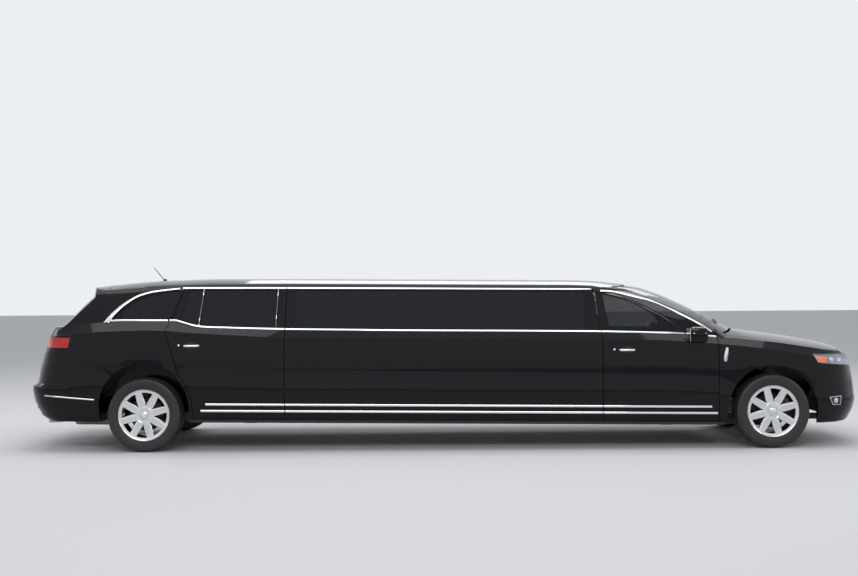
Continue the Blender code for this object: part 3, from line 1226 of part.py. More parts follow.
    tail_lamp = lamp_skin("tail_lamp")
    combined(quarter, lamp_cutter("lamp_cut"))
    combined(tail_lamp, lengthwise_prism("gate", gate_cut, tail_end, gate_front, SHUT_GAP))
    combined(tail_lamp, block("half", (tail_end, 0.0, 0.0), (0.0, far, GATE_TOP)))
    finish(quarter, "quarter_panel_right", black)
    mirrored(quarter, "quarter_panel_left", black)
    finish(tail_lamp, "tail_lamp_right", red)
    mirrored(tail_lamp, "tail_lamp_left", red)

    # Liftgate, its glass and its lamp bar
    pane_y = [(w * HALF_WIDTH, glass_z(h)) for w, h in GATE_GLASS_SHARES]
    pane_outline = pane_y + [(-y, z) for y, z in reversed(pane_y)]
    gate = from_shell("gate", (lengthwise_prism("region", gate_cut, tail_end, gate_front - SHUT_GAP / 2),
                               keep))
    combined(gate, lengthwise_prism("pane", pane_outline, tail_end, floor_rear))
    bar_cut = lamp_cutter("bar_cut")
    half_bar = GATE_LAMP_HALF_SHARE * HALF_WIDTH
    combined(bar_cut, block("span", (tail_end, -half_bar, 0.0), (0.0, half_bar, GATE_TOP)), keep)
    combined(gate, bar_cut)
    bar = lamp_skin("bar")
    inner_bar = half_bar - SEAT_GAP
    combined(bar, block("span", (tail_end, -inner_bar, 0.0), (0.0, inner_bar, GATE_TOP)), keep)
    finish(gate, "liftgate", black)
    finish(bar, "liftgate_lamp_bar", red)

    # Floor with its sills
    floor_zone = [(floor_rear, SILL_BOTTOM - OVERRUN), (bay_rear, SILL_BOTTOM - OVERRUN),
                  (bay_rear, FLOOR_LIP), (floor_rear, FLOOR_LIP)]
    floor = from_shell("floor", (across_prism("region", floor_zone), keep))
    for side in (1, -1):
        low_y, high_y = sorted((side * FLOOR_SIDE_SHARE * HALF_WIDTH, side * far))
        combined(floor, block("above", (tail_end, low_y, DOOR_BOTTOM - SHUT_GAP / 2),
                              (nose_end, high_y, GATE_TOP)))
    trunk_zone = block("trunk", (trunk_rear, -TRUNK_SIDE_SHARE * HALF_WIDTH, 0.0),
                       (tail_x(TRUNK_FRONT_SHARE), TRUNK_SIDE_SHARE * HALF_WIDTH, FLOOR_LIP))
    trunk = from_shell("trunk_floor", (trunk_zone, keep))
    floor = merged(floor, trunk)
    hump = across_prism("hump", [(REAR_AXLE_X + s * (TUNNEL_HALF_LENGTH + TUNNEL_THICK * k), z)
                                 for s, k, z in ((-1, 2, FLOOR_TOP - SEAT_GAP * 3),
                                                 (-1, 1, TUNNEL_TOP + TUNNEL_THICK),
                                                 (1, 1, TUNNEL_TOP + TUNNEL_THICK),
                                                 (1, 2, FLOOR_TOP - SEAT_GAP * 3))])
    hump_half = ARCH_INNER_Y - HOOD_THICK - SEAT_GAP
    combined(hump, block("zone", (tail_end, -hump_half, 0.0), (0.0, hump_half, GATE_TOP)), keep)
    floor = merged(floor, hump)
    combined(floor, across_prism("tunnel", tunnel_outline()))
    pads = [block("pad", (x - JACK_PAD_LENGTH / 2, side * JACK_Y - JACK_PAD_WIDTH / 2, SILL_BOTTOM - JACK_PAD_DROP),
                  (x + JACK_PAD_LENGTH / 2, side * JACK_Y + JACK_PAD_WIDTH / 2, SILL_BOTTOM + JACK_PAD_DROP))
            for x in (FRONT_AXLE_X - JACK_SETBACK, REAR_AXLE_X + JACK_SETBACK) for side in (1, -1)]
    floor = merged(floor, *pads)
    finish(floor, "floor_pan", clad)

    # Rear bumper
    bumper = from_shell("bumper", (across_prism("region", bumper_zone, -SEAT_GAP / 2), keep))
    combined(bumper, block("trunk", (trunk_rear - SEAT_GAP, -TRUNK_SIDE_SHARE * HALF_WIDTH - SEAT_GAP, 0.0),
                           (0.0, TRUNK_SIDE_SHARE * HALF_WIDTH + SEAT_GAP, FLOOR_LIP + SEAT_GAP)))
    combined(bumper, block("ahead", (floor_rear - SEAT_GAP, -far, 0.0), (0.0, far, GREENHOUSE_BASE)))
    finish(bumper, "rear_bumper", black)

    # Hood
    hood = from_shell("hood", (upright_prism("region", hood_plan, hood_low, GATE_TOP), keep))
    finish(hood, "hood", black)

    # Fenders and headlamps
    lamp_outline = [(nose_x(s), glass_z(h)) for s, h in HEADLAMP_SHARES]
    lamp_inner = HEADLAMP_INNER_SHARE * HALF_WIDTH
    fender = from_shell("fender", (side_prism("region", fender_outline(), lamp_inner + SEAT_GAP * 2, far,
                                              grow=-SEAT_GAP / 2), keep))
    liner = side_prism("liner", arch_outline(FRONT_AXLE_X, ARCH_RADIUS + LINER_THICK),
                       BAY_INNER_Y - LINER_THICK, LINER_OUTER_Y)
    combined(liner, block("zone", (bay_rear, -far, FLOOR_LIP + SHUT_GAP),
                          (nose_x(FENDER_SEAM_SHARE) - SEAT_GAP, 0.0, GATE_TOP)), keep)
    fender = merged(fender, liner)
    combined(fender, side_prism("hollow", arch_outline(FRONT_AXLE_X, ARCH_RADIUS), BAY_INNER_Y, far))
    combined(fender, block("open", (bay_rear - OVERRUN, -LINER_OPEN_Y, 0.0),
                           (nose_end, 0.0, LINER_OPEN_HEIGHT)))
    combined(fender, upright_prism("hood", hood_plan, hood_low - SHUT_GAP, GATE_TOP, SHUT_GAP))
    combined(fender, side_prism("lamp", lamp_outline, lamp_inner, far, grow=SEAT_GAP))
    combined(fender, block("frame", (0.0, -FLOOR_SIDE_SHARE * HALF_WIDTH - SEAT_GAP, 0.0),
                           (bay_rear + SEAT_GAP, 0.0, GATE_TOP)))
    combined(fender, block("cowl", (bay_rear, -FLOOR_SIDE_SHARE * HALF_WIDTH - SEAT_GAP,
                                    hood_low - SHUT_GAP),
                           (front_x(HOOD_PLAN_SHARES[-1][0]) + SHUT_GAP, 0.0, GATE_TOP)))
    combined(fender, side_prism("door", front_door, DOOR_NEAR_Y, far, grow=door_grow))
    door_edge = front_x(FRONT_DOOR_FRONT_SHARE)
    hinge_y, hinge_low = door_hinge(door_edge)
    fender = merged(fender, upright_hinge("hinge", door_edge, hinge_y, hinge_low, PIN_LENGTH))
    finish(fender, "fender_right", black)
    mirrored(fender, "fender_left", black)
    headlamp = from_shell("headlamp", (side_prism("region", lamp_outline, lamp_inner, far), keep),
                          (upright_prism("hood", hood_plan, hood_low - SHUT_GAP, GATE_TOP, SHUT_GAP), drop))
    finish(headlamp, "headlamp_right", lamp)
    mirrored(headlamp, "headlamp_left", lamp)

    # Front bumper and nose, with the grille openings
    fender_tip = nose_x(FENDER_TIP_SHARE)
    lamp_seam = glass_z(LAMP_SEAM_SHARE)
    nose_zone = [(nose_x(FENDER_SEAM_SHARE), SILL_BOTTOM - OVERRUN), (nose_end, SILL_BOTTOM - OVERRUN),
                 (nose_end, ROOF_HEIGHT), (fender_tip, ROOF_HEIGHT), (fender_tip, lamp_seam),
                 (nose_x(FENDER_SEAM_SHARE), lamp_seam)]
    nose = from_shell("nose", (across_prism("region", nose_zone, -SEAT_GAP / 2), keep),
                      (upright_prism("hood", hood_plan, hood_low - SHUT_GAP, GATE_TOP, SHUT_GAP), drop))
    for side in (1, -1):
        lamp_cut = side_prism("lamp", lamp_outline, lamp_inner, far, grow=SEAT_GAP)
        if side > 0:
            lamp_cut.data.transform(Matrix.Scale(-1, 4, Vector((0, 1, 0))))
            lamp_cut.data.flip_normals()
        combined(nose, lamp_cut)
    combined(nose, lengthwise_prism("mouth", grille_outline(), nose_x(GRILLE_REAR_SHARE), nose_end))
    finish(nose, "front_bumper", black)

    # Glass
    slab = combined(greenhouse("slab", GLASS_DEPTH), greenhouse("slab_core", GLASS_DEPTH + GLASS_THICK))
    for name, outline in (
        ("front_door_glass", front_outline(FRONT_GLASS_SHARES)),
        ("rear_door_glass", tail_outline(REAR_GLASS_SHARES)),
        ("side_glass", stretch_glass_outline()),
        ("quarter_glass", quarter_pane),
    ):
        glass = combined(twin(slab, name), side_prism("window", outline, DOOR_NEAR_Y, far, grow=-SEAT_GAP),
                         keep)
        combined(glass, upright_prism("screen", screen, GREENHOUSE_BASE, GATE_TOP, SEAT_GAP))
        finish(glass, f"{name}_right", pane)
        mirrored(glass, f"{name}_left", pane)
    windshield = combined(twin(slab, "screen"), upright_prism("cut", screen, SCREEN_LOW, GATE_TOP,
                                                              -SEAT_GAP), keep)
    finish(windshield, "windshield", pane)
    back = combined(twin(slab, "back"), lengthwise_prism("cut", pane_outline, tail_end, floor_rear,
                                                         -SEAT_GAP),
                    keep)
    finish(back, "liftgate_glass", pane)
    build_grille(outer)
    build_flap(outer)
    build_mirrors()
    build_antenna()
    for obj in (outer, cabin, bay, shell, lamp_core, cut_core, slab):
        bpy.data.objects.remove(obj, do_unlink=True)


def build_wheels():
    """Tyres, wheels, knuckles and axles."""
    rubber = paint("tyre_rubber", (0.02, 0.02, 0.02), 0.85)
    chrome = paint("chrome", (0.8, 0.8, 0.8), 0.08, 1.0)
    iron = paint("cast_iron", (0.12, 0.12, 0.12), 0.6)
    half, wall = TYRE_WIDTH / 2, RIM_WIDTH / 2
    tyre_profile = [
        (RIM_SEAT_RADIUS + SEAT_GAP, wall - RIM_LIP * 3),
        (RIM_SEAT_RADIUS + SEAT_GAP, wall - RIM_LIP * 2 - SEAT_GAP * 2),
        (RIM_RADIUS + SEAT_GAP, wall - RIM_LIP - SEAT_GAP * 2),
        (TYRE_BULGE_RADIUS, half),
        (TYRE_SHOULDER_RADIUS, half - RIM_LIP),
        (TYRE_RADIUS, half - TYRE_SHOULDER),
    ]
    tyre_profile = tyre_profile + [(r, -y) for r, y in reversed(tyre_profile)]
    rim_profile = []
    for side in (-1, 1):
        edge = [(RIM_SEAT_RADIUS, side * (wall - RIM_LIP * 2)), (RIM_RADIUS, side * (wall - RIM_LIP)),
                (RIM_RADIUS, side * wall), (RIM_WELL_RADIUS, side * (wall - RIM_LIP * 3))]
        rim_profile += edge if side < 0 else edge[::-1]
    face = wall - RIM_LIP * 2
    disc = [(0.0, face), (CAP_RADIUS, face), (SPOKE_END_RADIUS, face + RIM_LIP / 2),
            (SPOKE_END_RADIUS, face - SPOKE_DEPTH), (HUB_RADIUS, face - DISC_DEPTH),
            (0.0, face - DISC_DEPTH)]
    barrel = turned("barrel", rim_profile)
    plate = spun_disc("plate", disc)
    for k in range(SPOKES):
        middle = 2 * math.pi * (k + 1 / 2) / SPOKES
        near, wide = WINDOW_INNER_RADIUS, WINDOW_OUTER_RADIUS
        outline = [(near, WINDOW_INNER_HALF), (wide, WINDOW_OUTER_HALF), (wide, -WINDOW_OUTER_HALF),
                   (near, -WINDOW_INNER_HALF)]
        pts = []
        for y in (face - OVERRUN, face + OVERRUN):
            for r, w in outline:
                pts.append((r * math.sin(middle) + w * math.cos(middle), y,
                            r * math.cos(middle) - w * math.sin(middle)))
        n = len(outline)
        faces = [list(range(n)), list(range(n, 2 * n))]
        faces += [[i, (i + 1) % n, n + (i + 1) % n, n + i] for i in range(n)]
        combined(plate, solid("window", pts, faces))
    wheel = merged(barrel, plate)
    wheel.data.transform(Matrix.Rotation(2 * math.pi * WINDOW_TURN / WHEEL_STEPS, 4, "Y"))
    tyre = turned("tyre", tyre_profile)
    for end, axle in (("front", FRONT_AXLE_X), ("rear", REAR_AXLE_X)):
        for side, word in ((-1, "right"), (1, "left")):
            for source, name, material in ((tyre, f"{end}_tyre_{word}", rubber),
                                           (wheel, f"{end}_wheel_{word}", chrome)):
                copy = twin(source, name)
                if side < 0:
                    copy.data.transform(Matrix.Rotation(math.pi, 4, "Z"))
                moved(copy, (axle, side * WHEEL_Y, TYRE_RADIUS))
                finish(copy, name, material, raked=False)
    bpy.data.objects.remove(tyre, do_unlink=True)
    bpy.data.objects.remove(wheel, do_unlink=True)
    hub_face = WHEEL_Y + face - DISC_DEPTH - HUB_GAP
    knuckle = round_bar("knuckle", (FRONT_AXLE_X, -(hub_face + KINGPIN_Y) / 2, TYRE_RADIUS), HUB_RADIUS,
                        hub_face - KINGPIN_Y)
    post = block("post", (FRONT_AXLE_X - POST_HALF_LENGTH, -KINGPIN_Y - POST_HALF_WIDTH, POST_LOW),
                 (FRONT_AXLE_X + POST_HALF_LENGTH, -KINGPIN_Y + POST_HALF_WIDTH, POST_TOP))
    bracket = block("bracket", (FRONT_AXLE_X - STRUT_RADIUS, -KINGPIN_Y, STRUT_LOW),
                    (FRONT_AXLE_X + STRUT_RADIUS, -STRUT_Y, STRUT_LOW + STRUT_BRACKET))
    strut = round_bar("strut", (FRONT_AXLE_X, -STRUT_Y, (STRUT_LOW + STRUT_TOP) / 2 - STRUT_DROP),
                      STRUT_TUBE_RADIUS, STRUT_TOP - STRUT_LOW, "Z", ROUND_STEPS)
    knuckle = merged(knuckle, post, bracket, strut)
    finish(knuckle, "knuckle_right", iron, raked=False)
    mirrored(knuckle, "knuckle_left", iron)
    build_axles(hub_face, iron)


def spun_disc(name, profile):
    """A solid turned about the Y axis from a profile that starts and ends on the axis."""
    verts, faces = [], []
    inner = profile[1:-1]
    n = len(inner)
    steps = 2 * SPOKES
    for i in range(steps):
        a = 2 * math.pi * i / steps
        verts += [(r * math.sin(a), y, r * math.cos(a)) for r, y in inner]
    top, low = len(verts), len(verts) + 1
    verts += [(0.0, profile[0][1], 0.0), (0.0, profile[-1][1], 0.0)]
    for i in range(steps):
        j = (i + 1) % steps
        faces += [[i * n + k, j * n + k, j * n + k + 1, i * n + k + 1] for k in range(n - 1)]
        faces.append([top, j * n, i * n])
        faces.append([low, i * n + n - 1, j * n + n - 1])
    return solid(name, verts, faces)


def tunnel_outline():
    """The side view of the tunnel that the rear axle runs in."""
    rear, front = REAR_AXLE_X - TUNNEL_HALF_LENGTH, REAR_AXLE_X + TUNNEL_HALF_LENGTH
    low = SILL_BOTTOM - OVERRUN
    return [(rear, low), (front, low), (front, TUNNEL_TOP), (rear, TUNNEL_TOP)]


def build_axles(hub_face, iron):
    """Rear axle, front subframe, engine, exhaust and fuel tank."""
    steel = paint("dull_steel", (0.25, 0.25, 0.26), 0.5, 0.8)
    plastic = paint("black_plastic", (0.03, 0.03, 0.03), 0.7)
    centre = (REAR_AXLE_X, 0.0, TYRE_RADIUS)
    axle = round_bar("rear_axle", centre, AXLE_RADIUS, 2 * (hub_face - HUB_GAP))
    casing = round_bar("casing", centre, CASING_RADIUS, CASING_LENGTH)
    axle = merged(axle, casing)
    spring_top = TUNNEL_TOP - RAKE * (REAR_AXLE_X + SPRING_RADIUS) - SEAT_GAP
    for side in (1, -1):
        hub_middle = side * (AXLE_HUB_Y + hub_face) / 2
        hub = round_bar("hub", (REAR_AXLE_X, hub_middle, TYRE_RADIUS), HUB_RADIUS, hub_face - AXLE_HUB_Y)
        spring = round_bar("spring", (REAR_AXLE_X, side * SPRING_Y, (TYRE_RADIUS + spring_top) / 2),
                           SPRING_RADIUS,
                           spring_top - TYRE_RADIUS, "Z")
        axle = merged(axle, hub, spring)
    finish(axle, "rear_axle", iron, raked=False)

    frame = block("subframe", (FRONT_AXLE_X - CROSS_HALF_LENGTH, -CROSS_HALF_WIDTH, CROSS_LOW),
                  (FRONT_AXLE_X + CROSS_HALF_LENGTH, CROSS_HALF_WIDTH, CROSS_TOP))
    arms = block("arms", (FRONT_AXLE_X - ARM_HALF_LENGTH, -ARM_END_Y, ARM_LOW),
                 (FRONT_AXLE_X + ARM_HALF_LENGTH, ARM_END_Y, ARM_TOP))
    radiator_x = nose_x(RADIATOR_SHARE)
    rear = front_x(FIREWALL_SHARE) + SKIN_THICK + SEAT_GAP * 2
    rail_low = CROSS_TOP - RAIL_DEPTH / 3
    rails = [block("rail", (rear, side * RAIL_Y - RAIL_WIDTH / 2, rail_low),
                   (radiator_x + RADIATOR_THICK / 2, side * RAIL_Y + RAIL_WIDTH / 2, rail_low + RAIL_DEPTH))
             for side in (1, -1)]
    radiator = block("radiator", (radiator_x, -RADIATOR_HALF_WIDTH, rail_low + RAIL_DEPTH / 2),
                     (radiator_x + RADIATOR_THICK, RADIATOR_HALF_WIDTH, RADIATOR_TOP))
    balls = [round_bar("ball", (FRONT_AXLE_X, side * KINGPIN_Y, (ARM_LOW + POST_LOW - SEAT_GAP) / 2),
                       BALL_RADIUS,
                       POST_LOW - SEAT_GAP - ARM_LOW, "Z", ROUND_STEPS // 2) for side in (1, -1)]
    frame = merged(frame, arms, *rails, radiator, *balls)
    finish(frame, "front_subframe", iron, raked=False)
    engine = block("engine", (nose_x(ENGINE_REAR_SHARE), -ENGINE_HALF_WIDTH, CROSS_TOP + SEAT_GAP),
                   (nose_x(ENGINE_FRONT_SHARE), ENGINE_HALF_WIDTH, ENGINE_TOP))
    finish(engine, "engine_block", paint("cast_aluminium", (0.4, 0.4, 0.4), 0.5, 0.6), raked=False)

    muffler_top = SILL_BOTTOM - SEAT_GAP
    pipe_rear, pipe_front = tail_x(PIPE_END_SHARE), nose_x(PIPE_FRONT_SHARE)
    pipe = round_bar("pipe", ((pipe_rear + pipe_front) / 2, PIPE_Y, PIPE_HEIGHT), PIPE_RADIUS,
                     pipe_front - pipe_rear, "X", ROUND_STEPS // 2)
    muffler = block("muffler", (tail_x(MUFFLER_REAR_SHARE), PIPE_Y - MUFFLER_HALF_WIDTH, MUFFLER_LOW),
                    (tail_x(MUFFLER_FRONT_SHARE), PIPE_Y + MUFFLER_HALF_WIDTH, muffler_top), PIPE_RADIUS)
    finish(merged(pipe, muffler), "exhaust", steel)
    tank = block("tank", (tail_x(TANK_REAR_SHARE), TANK_LOW_Y, TANK_LOW),
                 (tail_x(TANK_FRONT_SHARE), TANK_HIGH_Y, muffler_top), PIPE_RADIUS)
    finish(tank, "fuel_tank", plastic)


def side_skin(x, z):
    """Half width of the lower body's skin at a place on its side."""
    share = (z - SILL_BOTTOM) / (eased(CREASE_LINE, x) - SILL_BOTTOM)
    for low, high in zip(SIDE_ROW_SHARES, SIDE_ROW_SHARES[1:]):
        if share <= high[0]:
            t = (share - low[0]) / (high[0] - low[0])
            return HALF_WIDTH * taper(x) * (low[1] + t * (high[1] - low[1]))
    return HALF_WIDTH * taper(x) * SIDE_ROW_SHARES[-1][1]


def upright_hinge(name, x, y, low, length, side=-1):
    """A vertical hinge pin with its lug, ahead of the shut line at x."""
    pin = round_bar(name, (x, side * y, low + length / 2), PIN_RADIUS, length, "Z", ROUND_STEPS // 2)
    near, far = sorted((side * y, side * (y - LUG_SIZE)))
    return merged(pin, block("lug", (x, near, low), (x + LUG_SIZE, far, low + length)))


def door_hinge(x):
    """(y, low end) of a door's hinge pin, at the widest height of the side."""
    low = SILL_BOTTOM + WIDEST_ROW_SHARE * (eased(CREASE_LINE, x) - SILL_BOTTOM)
    return side_skin(x, low), low


def grille_outline():
    """The grille's opening from the front, as (y, z)."""
    half = [(w * HALF_WIDTH, glass_z(h)) for w, h in GRILLE_SHARES]
    return half + [(-y, z) for y, z in reversed(half) if y > 0]


def build_grille(outer):
    """The grille, with upright bars standing on a back plate."""
    chrome = paint("chrome", (0.8, 0.8, 0.8), 0.08, 1.0)
    low, high = nose_x(GRILLE_REAR_SHARE), nose_x(1.0) + OVERRUN
    grille = combined(twin(outer, "grille"), lengthwise_prism("mouth", grille_outline(), low, high,
                                                              -SEAT_GAP), "INTERSECT")
    combined(grille, lower_body("back", SEAT_GAP, GRILLE_BACK_DEPTH))
    half_span = max(w for w, h in GRILLE_SHARES) * HALF_WIDTH - GRILLE_FRAME
    pitch = (half_span - GRILLE_MIDDLE) / GRILLE_BARS
    verts, faces = [], []
    top, bottom = glass_z(GRILLE_SHARES[-1][1]) + OVERRUN, glass_z(GRILLE_SHARES[0][1]) - OVERRUN
    for side in (1, -1):
        for k in range(GRILLE_BARS):
            near = side * (GRILLE_MIDDLE + k * pitch)
            far = near + side * pitch * (1 - GRILLE_BAR_SHARE)
            y0, y1 = sorted((near, far))
            n = len(verts)
            verts += [(x, y, z) for x in (low, high) for y in (y0, y1) for z in (bottom, top)]
            faces += [[n + i for i in quad] for quad in
                      ((0, 1, 3, 2), (4, 6, 7, 5), (0, 4, 5, 1), (2, 3, 7, 6), (0, 2, 6, 4), (1, 5, 7, 3))]
    slots = solid("slots", verts, faces)
    combined(slots, lower_body("depth", SEAT_GAP, GRILLE_SLOT_DEPTH))
    combined(slots, lengthwise_prism("frame", grille_outline(), low - OVERRUN, high + OVERRUN,
                                     -GRILLE_FRAME),
             "INTERSECT")
    combined(grille, slots)
    finish(grille, "grille", chrome)


def flap_outline(grow):
    """The fuel flap's outline from the side, as (x, z)."""
    x, half = tail_x(FLAP_SHARE), FLAP_HALF + grow
    return [(x - half, FLAP_HEIGHT - half), (x + half, FLAP_HEIGHT - half),
            (x + half, FLAP_HEIGHT + half), (x - half, FLAP_HEIGHT + half)]


def left_prism(name, outline, near, far):
    """A side prism on the left."""
    prism = side_prism(name, outline, near, far)
    prism.data.transform(Matrix.Scale(-1, 4, Vector((0, 1, 0))))
    prism.data.flip_normals()
    return prism


def build_flap(outer):
    """The fuel flap on the left quarter, over a pocket."""
    far, near = HALF_WIDTH + OVERRUN, HALF_WIDTH * FLOOR_SIDE_SHARE
    pocket = left_prism("pocket", flap_outline(SHUT_GAP / 2), near, far)
    combined(pocket, lower_body("core", FLAP_POCKET, FLAP_POCKET, SILL_BOTTOM + FLAP_POCKET, FLAP_POCKET))
    lean = Matrix.Identity(4)
    lean[2][0] = -RAKE
    pocket.data.transform(lean)
    quarter = combined(FINISHED["quarter_panel_left"], pocket)
    hinge_x = tail_x(FLAP_SHARE) + FLAP_HALF
    pin = upright_hinge("hinge", hinge_x, side_skin(hinge_x, FLAP_HEIGHT), FLAP_HEIGHT - PIN_LENGTH / 2,
                        PIN_LENGTH, 1)
    pin.data.transform(lean)
    quarter = merged(quarter, pin)
    quarter.data.name = "quarter_panel_left"
    flap = combined(twin(outer, "flap"), left_prism("zone", flap_outline(-SHUT_GAP / 2), near, far),
                    "INTERSECT")
    combined(flap, lower_body("core", FLAP_THICK, FLAP_THICK, SILL_BOTTOM + FLAP_THICK, FLAP_THICK))
    finish(flap, "fuel_flap", paint("gloss_black", (0.012, 0.012, 0.014), 0.12))


def build_mirrors():
    """Door mirrors, each on a foot that fits the door's skin."""
    x, z = front_x(MIRROR_X_SHARE), (MIRROR_LOW + MIRROR_HIGH) / 2
    head = block("mirror", (x - MIRROR_LENGTH / 2, -MIRROR_FAR_Y, MIRROR_LOW),
                 (x + MIRROR_LENGTH / 2, -MIRROR_NEAR_Y, MIRROR_HIGH), MIRROR_ROUND)
    foot = block("foot", (x - MIRROR_FOOT_LENGTH / 2, -MIRROR_NEAR_Y - MIRROR_ROUND,
                          z - MIRROR_FOOT_HEIGHT / 2),
                 (x + MIRROR_FOOT_LENGTH / 2, -MIRROR_FOOT_Y, z + MIRROR_FOOT_HEIGHT / 2))
    mirror = merged(head, foot)
    combined(mirror, lower_body("skin", -SEAT_GAP, -SEAT_GAP, None, -SEAT_GAP))
    combined(mirror, greenhouse("pane", -SEAT_GAP))
    black = paint("gloss_black", (0.012, 0.012, 0.014), 0.12)
    finish(mirror, "mirror_right", black)
    mirrored(mirror, "mirror_left", black)


def build_antenna():
    """A short whip on a round base at the back of the roof."""
    x = tail_x(ANTENNA_SHARE)
    roof = eased(ROOF_LINE, x)
    base = round_bar("base", (x, 0.0, roof), ANTENNA_BASE_RADIUS, 2 * ANTENNA_BASE_HEIGHT, "Z", ROUND_STEPS,
                     ANTENNA_BASE_RADIUS / 2)
    whip = round_bar("whip", (0.0, 0.0, ANTENNA_LENGTH / 2), ANTENNA_RADIUS, ANTENNA_LENGTH, "Z",
                     ROUND_STEPS // 2, ANTENNA_TIP_RADIUS)
    lean = Matrix.Rotation(math.radians(-ANTENNA_LEAN), 4, "Y")
    whip.data.transform(Matrix.Translation((x, 0.0, roof)) @ lean)
    antenna = merged(base, whip)
    combined(antenna, greenhouse("roof", -SEAT_GAP))
    finish(antenna, "antenna", paint("black_plastic", (0.03, 0.03, 0.03), 0.7))


def build_cabin():
    """Dashboard, steering wheel, seats, partition and bar."""
    leather = paint("black_leather", (0.03, 0.03, 0.032), 0.5)
    plastic = paint("black_plastic", (0.03, 0.03, 0.03), 0.7)
    wood = paint("dark_wood", (0.09, 0.04, 0.02), 0.3)
    dash_outline = front_outline(DASH_SHARES)
    dash = side_prism("dash", dash_outline, -DASH_HALF_WIDTH, DASH_HALF_WIDTH)
    console = block("console", (front_x(CONSOLE_SHARES[0]), -CONSOLE_HALF_WIDTH, CABIN_LOW),
                    (front_x(CONSOLE_SHARES[1]), CONSOLE_HALF_WIDTH, CONSOLE_TOP))
    riser = block("riser", (front_x(RISER_SHARE), -CONSOLE_HALF_WIDTH, CONSOLE_TOP - SEAT_ROUND),
                  (front_x(CONSOLE_SHARES[1]), CONSOLE_HALF_WIDTH, glass_z(RISER_TOP_SHARE)))
    finish(merged(dash, console, riser), "dashboard", plastic)

    ring = [(WHEEL_RING_RADIUS + WHEEL_RING_TUBE * math.cos(a), WHEEL_RING_TUBE * math.sin(a))
            for a in (2 * math.pi * k / RING_STEPS for k in range(RING_STEPS))]
    wheel = turned("steering_wheel", ring, ROUND_STEPS)
    hub = round_bar("hub", (0.0, 0.0, 0.0), BOSS_RADIUS, BOSS_LENGTH)
    column = round_bar("column", (0.0, COLUMN_LENGTH / 2, 0.0), COLUMN_RADIUS, COLUMN_LENGTH)
    spokes = []
    for k in range(WHEEL_SPOKES):
        spoke = block("spoke", (0.0, -WHEEL_RING_TUBE / 2, -COLUMN_RADIUS / 2),
                      (WHEEL_RING_RADIUS, WHEEL_RING_TUBE / 2, COLUMN_RADIUS / 2))
        spoke.data.transform(Matrix.Rotation(math.radians(SPOKE_TURN * k), 4, "Y"))
        spokes.append(spoke)
    wheel = merged(wheel, hub, column, *spokes)
    place = (Matrix.Translation((front_x(WHEEL_SHARE), WHEEL_SIDE, WHEEL_HEIGHT))
             @ Matrix.Rotation(math.radians(WHEEL_LEAN), 4, "Y")
             @ Matrix.Rotation(math.radians(-90), 4, "Z"))
    wheel.data.transform(place)
    combined(wheel, side_prism("dash", dash_outline, -DASH_HALF_WIDTH - OVERRUN, DASH_HALF_WIDTH + OVERRUN,
                               grow=SEAT_GAP))
    finish(wheel, "steering_wheel", leather)

    pieces = []
    for rear, front, width, low, high in SEAT_BLOCK_SHARES:
        half = SEAT_HALF_WIDTH * width
        pieces.append(block("seat", (front_x(rear), -SEAT_Y - half, CABIN_LOW + low * ROOF_HEIGHT),
                            (front_x(front), -SEAT_Y + half, CABIN_LOW + high * ROOF_HEIGHT),
                            SEAT_ROUND if low else 0.0))
    seat = merged(pieces[0], *pieces[1:])
    finish(seat, "front_seat_right", leather)
    mirrored(seat, "front_seat_left", leather)

    inner = merged(lower_body("inner", DOOR_THICK + PARTITION_GAP, SKIN_THICK, FLOOR_TOP, 0.0),
                   greenhouse("inner_top", FRAME_THICK + PARTITION_GAP))
    x = front_x(PARTITION_SHARE)
    wall = combined(inner, block("slice", (x - PARTITION_THICK, -HALF_WIDTH, CABIN_LOW),
                                 (x, HALF_WIDTH, ROOF_HEIGHT)), "INTERSECT")
    combined(wall, block("hatch", (x - OVERRUN, -HATCH_HALF_WIDTH, HATCH_LOW),
                         (x + OVERRUN, HATCH_HALF_WIDTH,
                                                                              HATCH_HIGH)))
    finish(wall, "partition", leather)

    rear, front = REAR_DOOR_FRONT_X + BAR_REAR_GAP, x - PARTITION_THICK - SHUT_GAP
    bar = block("bar", (rear, -BAR_FAR_Y, CABIN_LOW), (front, -BAR_NEAR_Y, BAR_TOP))
    finish(bar, "bar_cabinet", wood)

    bench_rear = tail_x(REAR_BENCH_SHARES[2][0])
    profile = [(BENCH_NEAR_Y, CABIN_LOW), (BENCH_FAR_Y, CABIN_LOW), (BENCH_FAR_Y, BENCH_BACK_TOP),
               (BENCH_BACK_Y + SEAT_ROUND, BENCH_BACK_TOP), (BENCH_BACK_Y, BENCH_TOP),
               (BENCH_NEAR_Y, BENCH_TOP)]
    side = lengthwise_prism("side_bench", profile, bench_rear - SHUT_GAP, front)
    outline = [(tail_x(s), h * ROOF_HEIGHT) for s, h in REAR_BENCH_SHARES]
    back = side_prism("rear_bench", outline, -REAR_BENCH_HALF_WIDTH, REAR_BENCH_HALF_WIDTH)
    finish(merged(back, side), "lounge_seat", leather)


def hood_pin():
    """(x, y, z) of the outer end of a hood hinge pin, just behind the hood's rear corner."""
    (corner_x, corner_y), (next_x, next_y) = HOOD_PLAN_SHARES[:2]
    inward = HOOD_HINGE_INSET / ((corner_y - next_y) * HALF_WIDTH)
    x = front_x(corner_x + inward * (next_x - corner_x))
    y = corner_y * HALF_WIDTH - HOOD_HINGE_INSET
    low, crown = eased(BELT_LINE, x), eased(HOOD_LINE, x)
    z = low + (crown - low) * (1 - (y / top_half_width(x)) ** TOP_POWER)
    return x - SHUT_GAP / 2, y, z


